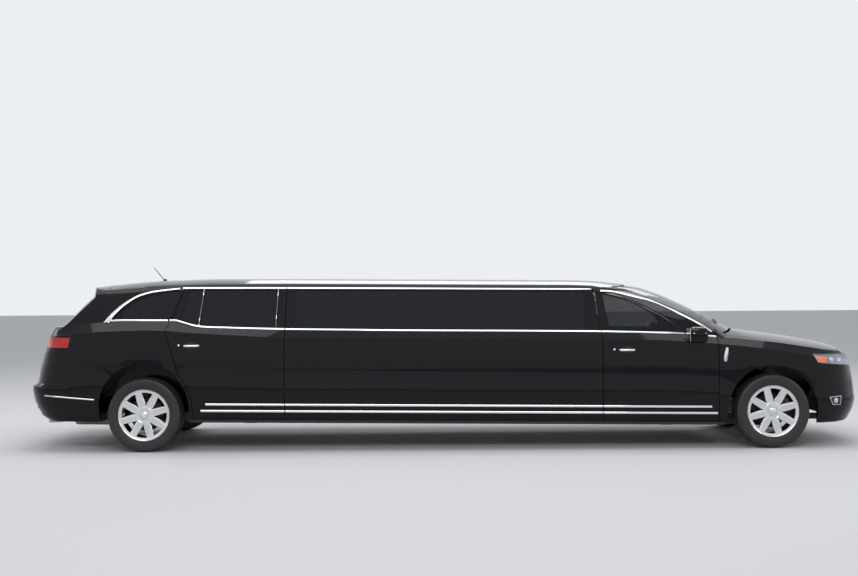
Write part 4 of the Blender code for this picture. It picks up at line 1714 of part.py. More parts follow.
def hang_pieces():
    """Puts each moving piece on an empty that stands on its joint's axis."""
    for side, word in ((-1, "right"), (1, "left")):
        x = front_x(FRONT_DOOR_FRONT_SHARE)
        y, low = door_hinge(x)
        carried((f"front_door_{word}", f"front_door_glass_{word}", f"mirror_{word}"),
                f"front_door_hinge_{word}", world(x, side * y, low))
        y, low = door_hinge(REAR_DOOR_FRONT_X)
        carried((f"rear_door_{word}", f"rear_door_glass_{word}"), f"rear_door_hinge_{word}",
                world(REAR_DOOR_FRONT_X, side * y, low))
        carried((f"knuckle_{word}",), f"kingpin_{word}", (FRONT_AXLE_X, side * KINGPIN_Y, TYRE_RADIUS))
        for end, axle in (("front", FRONT_AXLE_X), ("rear", REAR_AXLE_X)):
            carried((f"{end}_tyre_{word}", f"{end}_wheel_{word}"), f"{end}_hub_{word}",
                    (axle, side * WHEEL_Y, TYRE_RADIUS))
    x, _, z = hood_pin()
    carried(("hood",), "hood_hinge", world(x, 0.0, z))
    x = tail_x(GATE_HINGE_SHARE)
    carried(("liftgate", "liftgate_glass", "liftgate_lamp_bar"), "liftgate_hinge",
            world(x, 0.0, eased(ROOF_LINE, x)))
    x = tail_x(FLAP_SHARE) + FLAP_HALF
    carried(("fuel_flap",), "fuel_flap_hinge", world(x, side_skin(x, FLAP_HEIGHT), FLAP_HEIGHT))


def main():
    """Builds the car."""
    clear_scene()
    build_body()
    build_wheels()
    build_cabin()
    hang_pieces()


main()
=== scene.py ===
"""Looks of a black stretch limousine: paint, glass, trim, wheels, cabin fittings, light and camera.

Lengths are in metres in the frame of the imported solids: +X forward, +Z up, ground at z = 0.
"""

import logging
import math
from dataclasses import dataclass
from enum import Enum
from typing import Callable, Iterable, Sequence

import bmesh
import bpy
from mathutils import Matrix, Vector, noise
from mathutils.bvhtree import BVHTree


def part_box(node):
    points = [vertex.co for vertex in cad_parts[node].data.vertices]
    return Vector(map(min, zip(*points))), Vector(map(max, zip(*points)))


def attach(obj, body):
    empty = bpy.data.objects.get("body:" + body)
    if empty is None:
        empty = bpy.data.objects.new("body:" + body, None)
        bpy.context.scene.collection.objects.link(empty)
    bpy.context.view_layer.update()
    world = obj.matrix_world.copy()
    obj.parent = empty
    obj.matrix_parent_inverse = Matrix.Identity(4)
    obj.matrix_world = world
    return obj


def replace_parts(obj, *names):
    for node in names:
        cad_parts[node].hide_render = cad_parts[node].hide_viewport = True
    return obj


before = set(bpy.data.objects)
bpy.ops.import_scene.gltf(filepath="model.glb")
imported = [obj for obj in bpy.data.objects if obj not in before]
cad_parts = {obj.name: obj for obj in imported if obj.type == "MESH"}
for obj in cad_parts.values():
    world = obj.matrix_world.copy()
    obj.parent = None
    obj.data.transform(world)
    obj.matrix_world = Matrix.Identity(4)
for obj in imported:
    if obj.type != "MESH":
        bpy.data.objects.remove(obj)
LOG = logging.getLogger("limousine")

Point = Sequence[float]
Faces = list[list[int]]
Colour = tuple[float, float, float]
Line = Sequence[tuple[float, float]]
Mesh = tuple[list[Vector], Faces]
Hit = tuple[Vector, Vector]

RAKE = 0.011  # drop of the level body for each metre forward
SMOOTH_ANGLE = 32.0  # edges flatter than this, in degrees, are shaded smooth
SEAM = 0.004  # half of the gap that trim leaves at a shut line
PIECE_WELD = 1e-6  # points of a piece closer than this are one
NODE_WELD = 2e-5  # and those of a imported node
BESIDE = 2.0  # y from which a side is seen
BEYOND_ENDS = 6.0  # x from which the nose and the tail are seen

BLACK = (0.0, 0.0, 0.0, 1.0)
ROAD_DUST = (0.30, 0.27, 0.23, 1.0)
COAT_ROUGHNESS = 0.02


class Side(Enum):
    """A side of the car, with the sign of its y."""

    RIGHT = -1
    LEFT = 1

    @property
    def word(self) -> str:
        """The side's word in the names of pieces."""
        return self.name.lower()


class Pattern(Enum):
    """The relief of a finish."""

    GRAIN = "grain"
    DOTS = "dots"
    WOOD = "wood"
    RIBS = "ribs"
    PILE = "pile"


# Node groups that the materials share


def shader_group(name: str, inputs: Sequence[tuple[str, str, object]],
                 outputs: Sequence[tuple[str, str]]) -> bpy.types.ShaderNodeTree:
    """Makes an empty shader group with its sockets.

    Args:
        name: Name of the group.
        inputs: Label, socket type and default of each input.
        outputs: Label and socket type of each output.

    Returns:
        The group's node tree.
    """
    tree = bpy.data.node_groups.new(name, "ShaderNodeTree")
    for label, kind, default in inputs:
        socket = tree.interface.new_socket(label, in_out="INPUT", socket_type=kind)
        if default is not None:
            socket.default_value = default
    for label, kind in outputs:
        tree.interface.new_socket(label, in_out="OUTPUT", socket_type=kind)
    return tree


def add(tree: bpy.types.NodeTree, kind: str, links: dict[str, object] | None = None,
        **settings: object) -> bpy.types.Node:
    """Adds one node, sets its properties and fills or links its inputs.

    Args:
        tree: The node tree.
        kind: Blender's name for the node type.
        links: Input name or number to a socket to link from, or to a plain value.
        **settings: Properties of the node.

    Returns:
        The node.
    """
    node = tree.nodes.new(kind)
    for key, value in settings.items():
        setattr(node, key, value)
    for key, value in (links or {}).items():
        socket = node.inputs[key]
        if isinstance(value, bpy.types.NodeSocket):
            tree.links.new(value, socket)
        else:
            socket.default_value = value
    return node


def worn_group() -> bpy.types.ShaderNodeTree:
    """The group that mottles a colour, lays road dust low on it and varies its roughness.

    Returns:
        The group, made on the first call.
    """
    made = bpy.data.node_groups.get("worn_surface")
    if made:
        return made
    tree = shader_group("worn_surface", (
        ("Vector", "NodeSocketVector", None), ("Colour", "NodeSocketColor", (0.5, 0.5, 0.5, 1.0)),
        ("Roughness", "NodeSocketFloat", 0.5), ("Mottle", "NodeSocketFloat", 0.1),
        ("Dust", "NodeSocketFloat", 0.0), ("Dust Top", "NodeSocketFloat", 0.7)),
        (("Colour", "NodeSocketColor"), ("Roughness", "NodeSocketFloat")))
    given = add(tree, "NodeGroupInput").outputs
    cloud = add(tree, "ShaderNodeTexNoise", {"Vector": given["Vector"], "Scale": 7.0, "Detail": 4.0})
    amount = add(tree, "ShaderNodeMath", {0: cloud.outputs["Fac"], 1: given["Mottle"]}, operation="MULTIPLY")
    dark = add(tree, "ShaderNodeMix", {"Factor": amount.outputs[0], 6: given["Colour"], 7: BLACK},
               data_type="RGBA")
    height = add(tree, "ShaderNodeSeparateXYZ", {0: given["Vector"]})
    low = add(tree, "ShaderNodeMapRange", {"Value": height.outputs["Z"], "From Min": 0.12,
                                           "From Max": given["Dust Top"], "To Min": 1.0, "To Max": 0.0})
    speck = add(tree, "ShaderNodeTexNoise", {"Vector": given["Vector"], "Scale": 38.0, "Detail": 6.0})
    patch = add(tree, "ShaderNodeMath", {0: low.outputs[0], 1: speck.outputs["Fac"]}, operation="MULTIPLY")
    laid = add(tree, "ShaderNodeMath", {0: patch.outputs[0], 1: given["Dust"]}, operation="MULTIPLY",
               use_clamp=True)
    dusty = add(tree, "ShaderNodeMix", {"Factor": laid.outputs[0], 6: dark.outputs[2], 7: ROAD_DUST},
                data_type="RGBA")
    swing = add(tree, "ShaderNodeMath", {0: cloud.outputs["Fac"], 1: -0.5}, operation="ADD")
    vary = add(tree, "ShaderNodeMath", {0: swing.outputs[0], 1: given["Mottle"]}, operation="MULTIPLY")
    rough = add(tree, "ShaderNodeMath", {0: vary.outputs[0], 1: given["Roughness"]}, operation="ADD")
    total = add(tree, "ShaderNodeMath", {0: laid.outputs[0], 1: rough.outputs[0]}, operation="ADD",
                use_clamp=True)
    add(tree, "NodeGroupOutput", {"Colour": dusty.outputs[2], "Roughness": total.outputs[0]})
    return tree


def relief_group(pattern: Pattern) -> bpy.types.ShaderNodeTree:
    """The group that gives the relief of one pattern.

    Args:
        pattern: Which relief.

    Returns:
        A group with a Height and a Mask output, made on the first call.
    """
    name = f"relief_{pattern.value}"
    made = bpy.data.node_groups.get(name)
    if made:
        return made
    tree = shader_group(name, (("Vector", "NodeSocketVector", None), ("Scale", "NodeSocketFloat", 100.0)),
                        (("Height", "NodeSocketFloat"), ("Mask", "NodeSocketFloat")))
    given = add(tree, "NodeGroupInput").outputs
    both = {"Vector": given["Vector"], "Scale": given["Scale"]}
    if pattern is Pattern.GRAIN:
        cells = add(tree, "ShaderNodeTexVoronoi", dict(both), feature="DISTANCE_TO_EDGE")
        fine = add(tree, "ShaderNodeTexNoise", {**both, "Detail": 3.0})
        edge = add(tree, "ShaderNodeMath", {0: cells.outputs["Distance"], 1: 0.25}, operation="MINIMUM")
        value = add(tree, "ShaderNodeMath", {0: edge.outputs[0], 1: fine.outputs["Fac"]},
                    operation="MULTIPLY")
    elif pattern is Pattern.DOTS:
        cells = add(tree, "ShaderNodeTexVoronoi", {**both, "Randomness": 0.0}, feature="F1")
        value = add(tree, "ShaderNodeMath", {0: cells.outputs["Distance"], 1: 0.28},
                    operation="GREATER_THAN")
    elif pattern is Pattern.WOOD:
        value = add(tree, "ShaderNodeTexWave",
                    {**both, "Distortion": 6.0, "Detail": 3.0, "Detail Scale": 1.4}, bands_direction="Y")
    elif pattern is Pattern.RIBS:
        value = add(tree, "ShaderNodeTexWave", {**both, "Distortion": 0.0}, bands_direction="Z")
    else:
        value = add(tree, "ShaderNodeTexNoise", {**both, "Detail": 8.0, "Roughness": 0.8})
    out = value.outputs["Fac"] if "Fac" in value.outputs else value.outputs[0]
    add(tree, "NodeGroupOutput", {"Height": out, "Mask": out})
    return tree


@dataclass(frozen=True)
class Finish:
    """A surface finish, from which one material is made."""

    name: str
    slot: str
    colour: Colour
    roughness: float
    metallic: float = 0.0
    coat: float = 0.0
    alpha: float = 1.0
    transmission: float = 0.0
    specular: float = 0.5
    sheen: float = 0.0
    mottle: float = 0.1
    dust: float = 0.0
    dust_top: float = 0.7
    pattern: Pattern = Pattern.GRAIN
    scale: float = 300.0
    relief: float = 0.1
    depth: float = 0.0005
    second: Colour | None = None
    glow: float = 0.0

    def material(self) -> bpy.types.Material:
        """Makes the material.

        Returns:
            The material, made on the first call.
        """
        made = bpy.data.materials.get(self.name)
        if made:
            return made
        material = bpy.data.materials.new(self.name)
        material.use_nodes = True
        tree = material.node_tree
        shader = tree.nodes["Principled BSDF"]
        place = add(tree, "ShaderNodeTexCoord").outputs["Object"]
        relief = add(tree, "ShaderNodeGroup", node_tree=relief_group(self.pattern))
        tree.links.new(place, relief.inputs["Vector"])
        relief.inputs["Scale"].default_value = self.scale
        worn = add(tree, "ShaderNodeGroup", node_tree=worn_group())
        tree.links.new(place, worn.inputs["Vector"])
        for label, value in (("Colour", (*self.colour, 1.0)), ("Roughness", self.roughness),
                             ("Mottle", self.mottle), ("Dust", self.dust), ("Dust Top", self.dust_top)):
            worn.inputs[label].default_value = value
        if self.second:
            mix = add(tree, "ShaderNodeMix", {"Factor": relief.outputs["Mask"], 6: (*self.second, 1.0),
                                              7: (*self.colour, 1.0)}, data_type="RGBA")
            tree.links.new(mix.outputs[2], worn.inputs["Colour"])
        tree.links.new(worn.outputs["Colour"], shader.inputs["Base Color"])
        tree.links.new(worn.outputs["Roughness"], shader.inputs["Roughness"])
        bump = add(tree, "ShaderNodeBump", {"Height": relief.outputs["Height"], "Strength": self.relief,
                                            "Distance": self.depth})
        tree.links.new(bump.outputs["Normal"], shader.inputs["Normal"])
        for label, value in (("Metallic", self.metallic), ("Coat Weight", self.coat),
                             ("Coat Roughness", COAT_ROUGHNESS), ("Alpha", self.alpha),
                             ("Transmission Weight", self.transmission),
                             ("Specular IOR Level", self.specular), ("Sheen Weight", self.sheen)):
            shader.inputs[label].default_value = value
        if self.glow:
            shader.inputs["Emission Color"].default_value = (*self.colour, 1.0)
            shader.inputs["Emission Strength"].default_value = self.glow
        return material


PAINT = Finish("paint_gloss_black", "gloss_black", (0.0018, 0.0022, 0.0038), 0.16, coat=0.42, mottle=0.03,
               specular=0.05, dust=0.02, dust_top=0.60, scale=900.0, relief=0.008, depth=0.0001)
CLADDING = Finish("cladding_satin", "satin_black", (0.016, 0.016, 0.017), 0.42, mottle=0.2, dust=0.30,
                  dust_top=0.55, scale=900.0, relief=0.25, depth=0.0003)
LIMO_GLASS = Finish("glass_limousine", "dark_glass", (0.0015, 0.003, 0.006), 0.02, alpha=0.95, mottle=0.02,
                    specular=0.32, scale=2.0, relief=0.004, depth=0.002)
DOOR_GLASS = Finish("glass_front_door", "dark_glass", (0.003, 0.005, 0.008), 0.02, alpha=0.50, mottle=0.02,
                    specular=0.35, scale=2.0, relief=0.004, depth=0.002)
SCREEN_GLASS = Finish("glass_windshield", "dark_glass", (0.006, 0.010, 0.011), 0.02, alpha=0.34, mottle=0.02,
                      specular=0.4, scale=2.0, relief=0.004, depth=0.002)
LENS = Finish("lamp_lens", "clear_lamp", (0.80, 0.86, 0.92), 0.02, alpha=0.16, mottle=0.0, scale=4.0,
              relief=0.01, depth=0.001)
REFLECTOR = Finish("lamp_reflector", "chrome", (0.42, 0.45, 0.50), 0.16, metallic=1.0, mottle=0.1,
                   pattern=Pattern.RIBS, scale=60.0, relief=0.5, depth=0.003)
LAMP_DARK = Finish("lamp_housing", "black_plastic", (0.03, 0.03, 0.035), 0.30, scale=500.0)
PROJECTOR = Finish("lamp_projector", "clear_lamp", (0.55, 0.62, 0.72), 0.03, coat=1.0, metallic=0.4,
                   mottle=0.1, scale=30.0, relief=0.02)
AMBER = Finish("lamp_amber", "clear_lamp", (0.85, 0.16, 0.01), 0.12, coat=1.0, glow=0.25,
               pattern=Pattern.RIBS, scale=90.0, relief=0.4, depth=0.002)
RED = Finish("lamp_red", "red_lamp", (0.62, 0.008, 0.010), 0.10, coat=0.6, mottle=0.2, pattern=Pattern.RIBS,
             specular=0.3, scale=38.0, relief=0.25, depth=0.002, second=(0.34, 0.003, 0.005), glow=0.12)
CHROME = Finish("chrome_trim", "chrome", (0.84, 0.84, 0.85), 0.06, metallic=1.0, mottle=0.04, dust=0.06,
                scale=700.0, relief=0.01)
WHEEL_METAL = Finish("wheel_polished", "chrome", (0.78, 0.79, 0.80), 0.12, metallic=1.0, mottle=0.08,
                     dust=0.10, dust_top=0.75, scale=800.0, relief=0.03)
RUBBER = Finish("tyre_side", "tyre_rubber", (0.011, 0.011, 0.012), 0.48, mottle=0.3, dust=0.10, dust_top=0.9,
                scale=420.0, relief=0.35, depth=0.0006)
# Matte black for the flat sheet round each door handle: painted shade where the handle's recess would be.
RECESS_SHADE = Finish("rubber_seal", "black_plastic", (0.012, 0.012, 0.012), 0.55, scale=600.0)
PLASTIC = Finish("moulded_plastic", "black_plastic", (0.022, 0.022, 0.023), 0.50, mottle=0.15, scale=1100.0,
                 relief=0.4, depth=0.0003)
IRON = Finish("forged_iron", "cast_iron", (0.060, 0.056, 0.052), 0.62, metallic=0.6, mottle=0.5, dust=0.6,
              dust_top=1.1, scale=240.0, relief=0.5, depth=0.001)
ALLOY = Finish("cast_alloy", "cast_aluminium", (0.42, 0.42, 0.42), 0.45, metallic=0.9, mottle=0.3, dust=0.3,
               dust_top=1.1, scale=260.0, relief=0.4, depth=0.0008)
STEEL = Finish("dull_steel_pipe", "dull_steel", (0.33, 0.31, 0.29), 0.42, metallic=0.9, mottle=0.5, dust=0.4,
               scale=120.0, relief=0.2, depth=0.0006)
# The brake disc is painted far darker than the steel's own grey: painted shade inside the wheel behind the
# spokes.
SHADED_DISC = Finish("brake_disc_steel", "dull_steel", (0.05, 0.05, 0.052), 0.42, metallic=0.8, mottle=0.2,
              pattern=Pattern.RIBS, scale=260.0, relief=0.2, depth=0.0003)
LEATHER = Finish("leather_black", "black_leather", (0.026, 0.025, 0.025), 0.42, sheen=0.15, mottle=0.2,
                 scale=420.0, relief=0.55, depth=0.0008)
PERFORATED = Finish("leather_perforated", "black_leather", (0.035, 0.034, 0.034), 0.5, mottle=0.15,
                    pattern=Pattern.DOTS, scale=95.0, relief=0.8, depth=0.001, second=(0.004, 0.004, 0.004))
WOOD = Finish("wood_gloss", "dark_wood", (0.16, 0.065, 0.025), 0.22, coat=0.8, pattern=Pattern.WOOD,
              scale=14.0, relief=0.05, second=(0.055, 0.02, 0.008))
CARPET = Finish("carpet_black", "black_leather", (0.020, 0.020, 0.022), 0.95, sheen=0.3, pattern=Pattern.PILE,
                scale=900.0, relief=0.9, depth=0.003, mottle=0.4)
HEADLINER = Finish("headliner_grey", "black_leather", (0.22, 0.21, 0.20), 0.9, sheen=0.2,
                   pattern=Pattern.PILE, scale=1200.0, relief=0.4, depth=0.001)
CRYSTAL = Finish("bar_crystal", "clear_lamp", (0.90, 0.93, 0.95), 0.02, transmission=1.0, mottle=0.0,
                 scale=30.0, relief=0.02)
PLATE = Finish("blank_plate", "clear_lamp", (0.62, 0.63, 0.64), 0.35, metallic=0.2, mottle=0.08, scale=500.0)
SCREEN = Finish("display_glass", "dark_glass", (0.006, 0.008, 0.010), 0.05, coat=1.0, scale=3.0, relief=0.01)

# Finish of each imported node, by the start of its name
NODE_FINISHES: tuple[tuple[str, Finish], ...] = (
    ("front_door_glass", DOOR_GLASS), ("rear_door_glass", LIMO_GLASS), ("side_glass", LIMO_GLASS),
    ("quarter_glass", LIMO_GLASS), ("liftgate_glass", LIMO_GLASS), ("windshield_frame", PAINT),
    ("windshield", SCREEN_GLASS), ("headlamp", LENS), ("tail_lamp", RED), ("liftgate_lamp_bar", RED),
    ("grille", CHROME), ("antenna", PLASTIC), ("floor_pan", CLADDING), ("fuel_tank", PLASTIC),
    ("exhaust", STEEL), ("engine_block", ALLOY), ("front_subframe", IRON), ("rear_axle", IRON),
    ("knuckle", IRON), ("front_wheel", WHEEL_METAL), ("rear_wheel", WHEEL_METAL), ("front_tyre", RUBBER),
    ("rear_tyre", RUBBER), ("dashboard", PLASTIC), ("steering_wheel", LEATHER), ("front_seat", LEATHER),
    ("lounge_seat", LEATHER), ("partition", PERFORATED), ("bar_cabinet", WOOD), ("", PAINT),
)


# Mesh helpers


def lean(x: float, z: float) -> float:
    """Height of a point of the level body once it leans, from its x and its level height."""
    return z - RAKE * x


def placed(at: Point, turn: float = 0.0, axis: str = "Y") -> Matrix:
    """A place, with a turn in radians about one of its axes."""
    return Matrix.Translation(at) @ Matrix.Rotation(turn, 4, axis)


def facing(at: Vector, out: Vector) -> Matrix:
    """A place whose local Y points out of a surface."""
    return Matrix.Translation(at) @ out.to_track_quat("Y", "Z").to_matrix().to_4x4()


def oval(wide: float, tall: float, steps: int) -> list[tuple[float, float]]:
    """Points round an oval of those half lengths."""
    return [(wide * math.cos(2 * math.pi * k / steps), tall * math.sin(2 * math.pi * k / steps))
            for k in range(steps)]


def fan(count: int) -> Faces:
    """Faces that join point 0 with a loop of points after it."""
    return [[0, k + 1, (k + 1) % count + 1] for k in range(count)]


def tube_faces(rings: int, count: int, start: int = 0, closed: bool = False) -> Faces:
    """Faces between rings of points that follow one another.

    Args:
        rings: How many rings there are.
        count: Points in each ring.
        start: Number of the first point.
        closed: Whether the last ring joins the first; otherwise both end rings are capped.

    Returns:
        The faces.
    """
    faces = [[start + i * count + k, start + (i + 1) % rings * count + k,
              start + (i + 1) % rings * count + (k + 1) % count, start + i * count + (k + 1) % count]
             for i in range(rings if closed else rings - 1) for k in range(count)]
    if not closed:
        faces += [[first + k for k in range(count)] for first in (start, start + (rings - 1) * count)]
    return faces


def slab(near: list[Vector], far: list[Vector], columns: int) -> Mesh:
    """A closed slab between two grids of points.

    Args:
        near: Points of the first grid, row by row.
        far: Points of the second grid, in the same order.
        columns: Points in each row.

    Returns:
        Points and faces.
    """
    count, last = len(near), columns - 1
    steps = count // columns - 1
    faces: Faces = []
    for i in range(steps):
        for k in range(last):
            a = i * columns + k
            faces += [[a, a + 1, a + columns + 1, a + columns],
                      [count + a, count + a + columns, count + a + columns + 1, count + a + 1]]
    edge = ([*range(columns)] + [i * columns + last for i in range(1, steps + 1)]
            + [steps * columns + k for k in range(last - 1, -1, -1)]
            + [i * columns for i in range(steps - 1, 0, -1)])
    faces += [[a, b, count + b, count + a] for a, b in zip(edge, edge[1:] + edge[:1])]
    return near + far, faces


def laid(hits: Iterable[Hit | None], lift: float = 0.0) -> tuple[list[Vector], list[Vector]]:
    """The places of the rays that hit, lifted off the surface, and the normals there."""
    found = [hit for hit in hits if hit]
    return [place + normal * lift for place, normal in found], [normal for _, normal in found]


def piece(name: str, points: Sequence[Point], faces: Faces, finish: Finish, body: str,
          smooth: float = SMOOTH_ANGLE) -> bpy.types.Object:
    """Makes a finished piece that moves with a body.

    Args:
        name: Name of the piece.
        points: Its points.
        faces: Its faces, as lists of point numbers.
        finish: Its finish.
        body: The body it moves with.
        smooth: Edges flatter than this, in degrees, are shaded smooth.

    Returns:
        The object.
    """
    shape = bmesh.new()
    verts = [shape.verts.new(p) for p in points]
    for loop in faces:
        if len(set(loop)) > 2:
            shape.faces.new([verts[i] for i in loop])
    return from_shape(name, shape, finish, body, smooth)


def from_shape(name: str, shape: bmesh.types.BMesh, finish: Finish, body: str,
               smooth: float = SMOOTH_ANGLE) -> bpy.types.Object:
    """Makes a finished piece from an edit mesh, which is freed.

    Args:
        name: Name of the piece.
        shape: The edit mesh, in the row frame.
        finish: Its finish.
        body: The body it moves with.
        smooth: Edges flatter than this, in degrees, are shaded smooth.

    Returns:
        The object.
    """
    bmesh.ops.remove_doubles(shape, verts=shape.verts, dist=PIECE_WELD)
    bmesh.ops.recalc_face_normals(shape, faces=shape.faces)
    mesh = bpy.data.meshes.new(name)
    shape.to_mesh(mesh)
    shape.free()
    obj = bpy.data.objects.new(name, mesh)
    bpy.context.scene.collection.objects.link(obj)
    mesh.materials.append(finish.material())
    mesh.shade_smooth()
    mesh.set_sharp_from_angle(angle=math.radians(smooth))
    LOG.info("made %s, which moves with %s", name, body)
    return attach(obj, body)


def lathed(profile: Line, steps: int, place: Matrix) -> Mesh:
    """Turns a closed (radius, along) profile about the local Y axis.

    Args:
        profile: The profile's points.
        steps: Steps round the axis.
        place: Where the axis stands.

    Returns:
        Points and faces.
    """
    points = []
    for i in range(steps):
        turn = 2 * math.pi * i / steps
        points += [place @ Vector((r * math.sin(turn), y, r * math.cos(turn))) for r, y in profile]
    return points, tube_faces(steps, len(profile), closed=True)


def swept(path: Sequence[Vector], normals: Sequence[Vector], section: Line,
          taper: Callable[[float], float] | None = None) -> Mesh:
    """Sweeps a closed section along a path.

    Args:
        path: Points of the path.
        normals: Direction away from the surface at each point.
        section: (across, out) points of the closed section.
        taper: Scale of the section at each share of the path.

    Returns:
        Points and faces, with both ends capped.
    """
    points: list[Vector] = []
    for i, at in enumerate(path):
        before, after = path[max(0, i - 1)], path[min(len(path) - 1, i + 1)]
        along = (after - before).normalized()
        out = (normals[i] - along * normals[i].dot(along)).normalized()
        across = along.cross(out)
        scale = taper(i / (len(path) - 1)) if taper else 1.0
        points += [at + across * (a * scale) + out * (o * scale) for a, o in section]
    return points, tube_faces(len(path), len(section))


def rounded_box(size: Point, radius: float, place: Matrix, segments: int = 3) -> bmesh.types.BMesh:
    """A box with rounded edges.

    Args:
        size: Its three lengths.
        radius: Radius of its edges.
        place: Where its centre and axes stand.
        segments: Steps round each edge.

    Returns:
        An edit mesh.
    """
    shape = bmesh.new()
    bmesh.ops.create_cube(shape, size=1.0)
    bmesh.ops.scale(shape, vec=Vector(size), verts=shape.verts)
    bmesh.ops.bevel(shape, geom=shape.edges[:], offset=radius, segments=segments, affect="EDGES",
                    profile=0.5)
    bmesh.ops.transform(shape, matrix=place, verts=shape.verts)
    return shape


def merged(*shapes: bmesh.types.BMesh) -> bmesh.types.BMesh:
    """Puts the faces of several edit meshes into one.

    Args:
        *shapes: The edit meshes. All but the first are freed.

    Returns:
        The first of them, with all the faces.
    """
    base = shapes[0]
    for other in shapes[1:]:
        table = {v: base.verts.new(v.co) for v in other.verts}
        for face in other.faces:
            base.faces.new([table[v] for v in face.verts])
        other.free()
    return base


def resampled(points: Line, spacing: float) -> list[tuple[float, float]]:
    """A smooth line through some points, as points about one spacing apart.

    Args:
        points: The line's points.
        spacing: Distance between the new points.

    Returns:
        The new points.
    """
    found = []
    count = len(points)
    for k in range(count - 1):
        p0, p1 = Vector(points[max(0, k - 1)]), Vector(points[k])
        p2, p3 = Vector(points[k + 1]), Vector(points[min(count - 1, k + 2)])
        steps = max(1, round((p2 - p1).length / spacing))
        for i in range(steps):
            t = i / steps
            found.append(tuple(0.5 * (2 * p1 + (p2 - p0) * t + (2 * p0 - 5 * p1 + 4 * p2 - p3) * t * t
                                      + (3 * p1 - 3 * p2 + p3 - p0) * t ** 3)))
    found.append(tuple(points[-1]))
    return found


class Skin:
    """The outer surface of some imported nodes, on which trim is placed."""

    WIDTH_REACH = 2  # points on each side that a line's y is taken from
    NORMAL_REACH = 4  # and its normals

    def __init__(self, names: Sequence[str]) -> None:
        """Joins some nodes into one surface for ray casts.

        Args:
            names: The nodes.
        """
        points, faces = [], []
        for name in names:
            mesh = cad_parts[name].data
            start = len(points)
            points += [v.co.copy() for v in mesh.vertices]
            faces += [[start + i for i in p.vertices] for p in mesh.polygons]
        self.tree = BVHTree.FromPolygons(points, faces)

    def cast(self, origin: Point, direction: Point) -> Hit | None:
        """The first point of the surface along a ray, with its normal, or None where the ray misses."""
        place, normal, _, _ = self.tree.ray_cast(Vector(origin), Vector(direction))
        return (place, normal) if place else None

    def side(self, x: float, z: float, side: Side) -> Hit | None:
        """The surface seen from that side at x and z."""
        return self.cast((x, side.value * BESIDE, z), (0, -side.value, 0))

    def line(self, points: Line, side: Side, spacing: float = 0.03) -> tuple[list[Vector], list[Vector]]:
        """A line laid on the side of the car.

        Args:
            points: (x, z) points of the line.
            side: Which side.
            spacing: Distance between the line's points.

        Returns:
            Points on the surface, and the normals there.
        """
        flat = resampled(points, spacing)
        hits = [self.side(x, z, side) for x, z in flat]
        known = [h for h in hits if h]
        widths = [abs(h[0].y) if h else 0.0 for h in hits]
        if not known:
            return [], []
        reach = self.WIDTH_REACH
        wide = [max(widths[max(0, i - reach):i + reach + 1]) for i in range(len(widths))]
        path, normals = [], []
        for i, (x, z) in enumerate(flat):
            near = wide[max(0, i - reach):i + reach + 1]
            path.append(Vector((x, side.value * sum(near) / len(near), z)))
        for at, hit in zip(path, hits):
            hit = hit or min(known, key=lambda h: (h[0] - at).length)
            normal = hit[1] if hit[1].y * side.value > 0 else Vector((0, side.value, 0))
            normals.append(Vector((0, normal.y, max(0.0, normal.z))).normalized())
        reach = self.NORMAL_REACH
        smooth = [sum(normals[max(0, i - reach):i + reach + 1], Vector()).normalized()
                  for i in range(len(normals))]
        return path, smooth


# Starts of the nodes' names that aren't the body's own surface
OFF_BODY = (
    "front_tyre", "rear_tyre", "front_wheel", "rear_wheel", "knuckle", "rear_axle", "mirror", "antenna",
    "exhaust", "front_seat", "lounge", "dash", "steering", "partition", "bar_cab", "engine",
    "front_subframe", "fuel_tank")
SKIN = Skin([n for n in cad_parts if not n.startswith(OFF_BODY)])


# Geometry trees for what repeats


def geometry_tree(name: str, inputs: Sequence[tuple[str, str, object]]
                  ) -> tuple[bpy.types.GeometryNodeTree, dict[str, str]]:
    """Makes an empty geometry tree with named inputs.

    Args:
        name: Name of the tree.
        inputs: Label, socket type and default of each input.

    Returns:
        The tree and the identifiers of its inputs.
    """
    tree = bpy.data.node_groups.new(name, "GeometryNodeTree")
    tree.interface.new_socket("Geometry", in_out="OUTPUT", socket_type="NodeSocketGeometry")
    identifiers = {}
    for label, kind, default in inputs:
        socket = tree.interface.new_socket(label, in_out="INPUT", socket_type=kind)
        if default is not None:
            socket.default_value = default
        identifiers[label] = socket.identifier
    return tree, identifiers


def realised(name: str, tree: bpy.types.GeometryNodeTree, values: dict[str, object], place: Matrix,
             finish: Finish, body: str) -> bpy.types.Object:
    """Runs a geometry tree once and keeps its result as a plain mesh.

    Args:
        name: Name of the piece.
        tree: The tree.
        values: Input identifiers and their values.
        place: Where the result stands.
        finish: Its finish.
        body: The body it moves with.

    Returns:
        The piece.
    """
    obj = bpy.data.objects.new(name, bpy.data.meshes.new(name))
    bpy.context.scene.collection.objects.link(obj)
    modifier = obj.modifiers.new("repeat", "NODES")
    modifier.node_group = tree
    for key, value in values.items():
        modifier[key] = value
    bpy.context.view_layer.update()
    graph = bpy.context.evaluated_depsgraph_get()
    mesh = bpy.data.meshes.new_from_object(obj.evaluated_get(graph))
    obj.modifiers.clear()
    obj.data = mesh
    mesh.transform(place)
    mesh.materials.clear()
    mesh.materials.append(finish.material())
    mesh.shade_smooth()
    mesh.set_sharp_from_angle(angle=math.radians(SMOOTH_ANGLE))
    LOG.info("made %s, which moves with %s", name, body)
    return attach(obj, body)


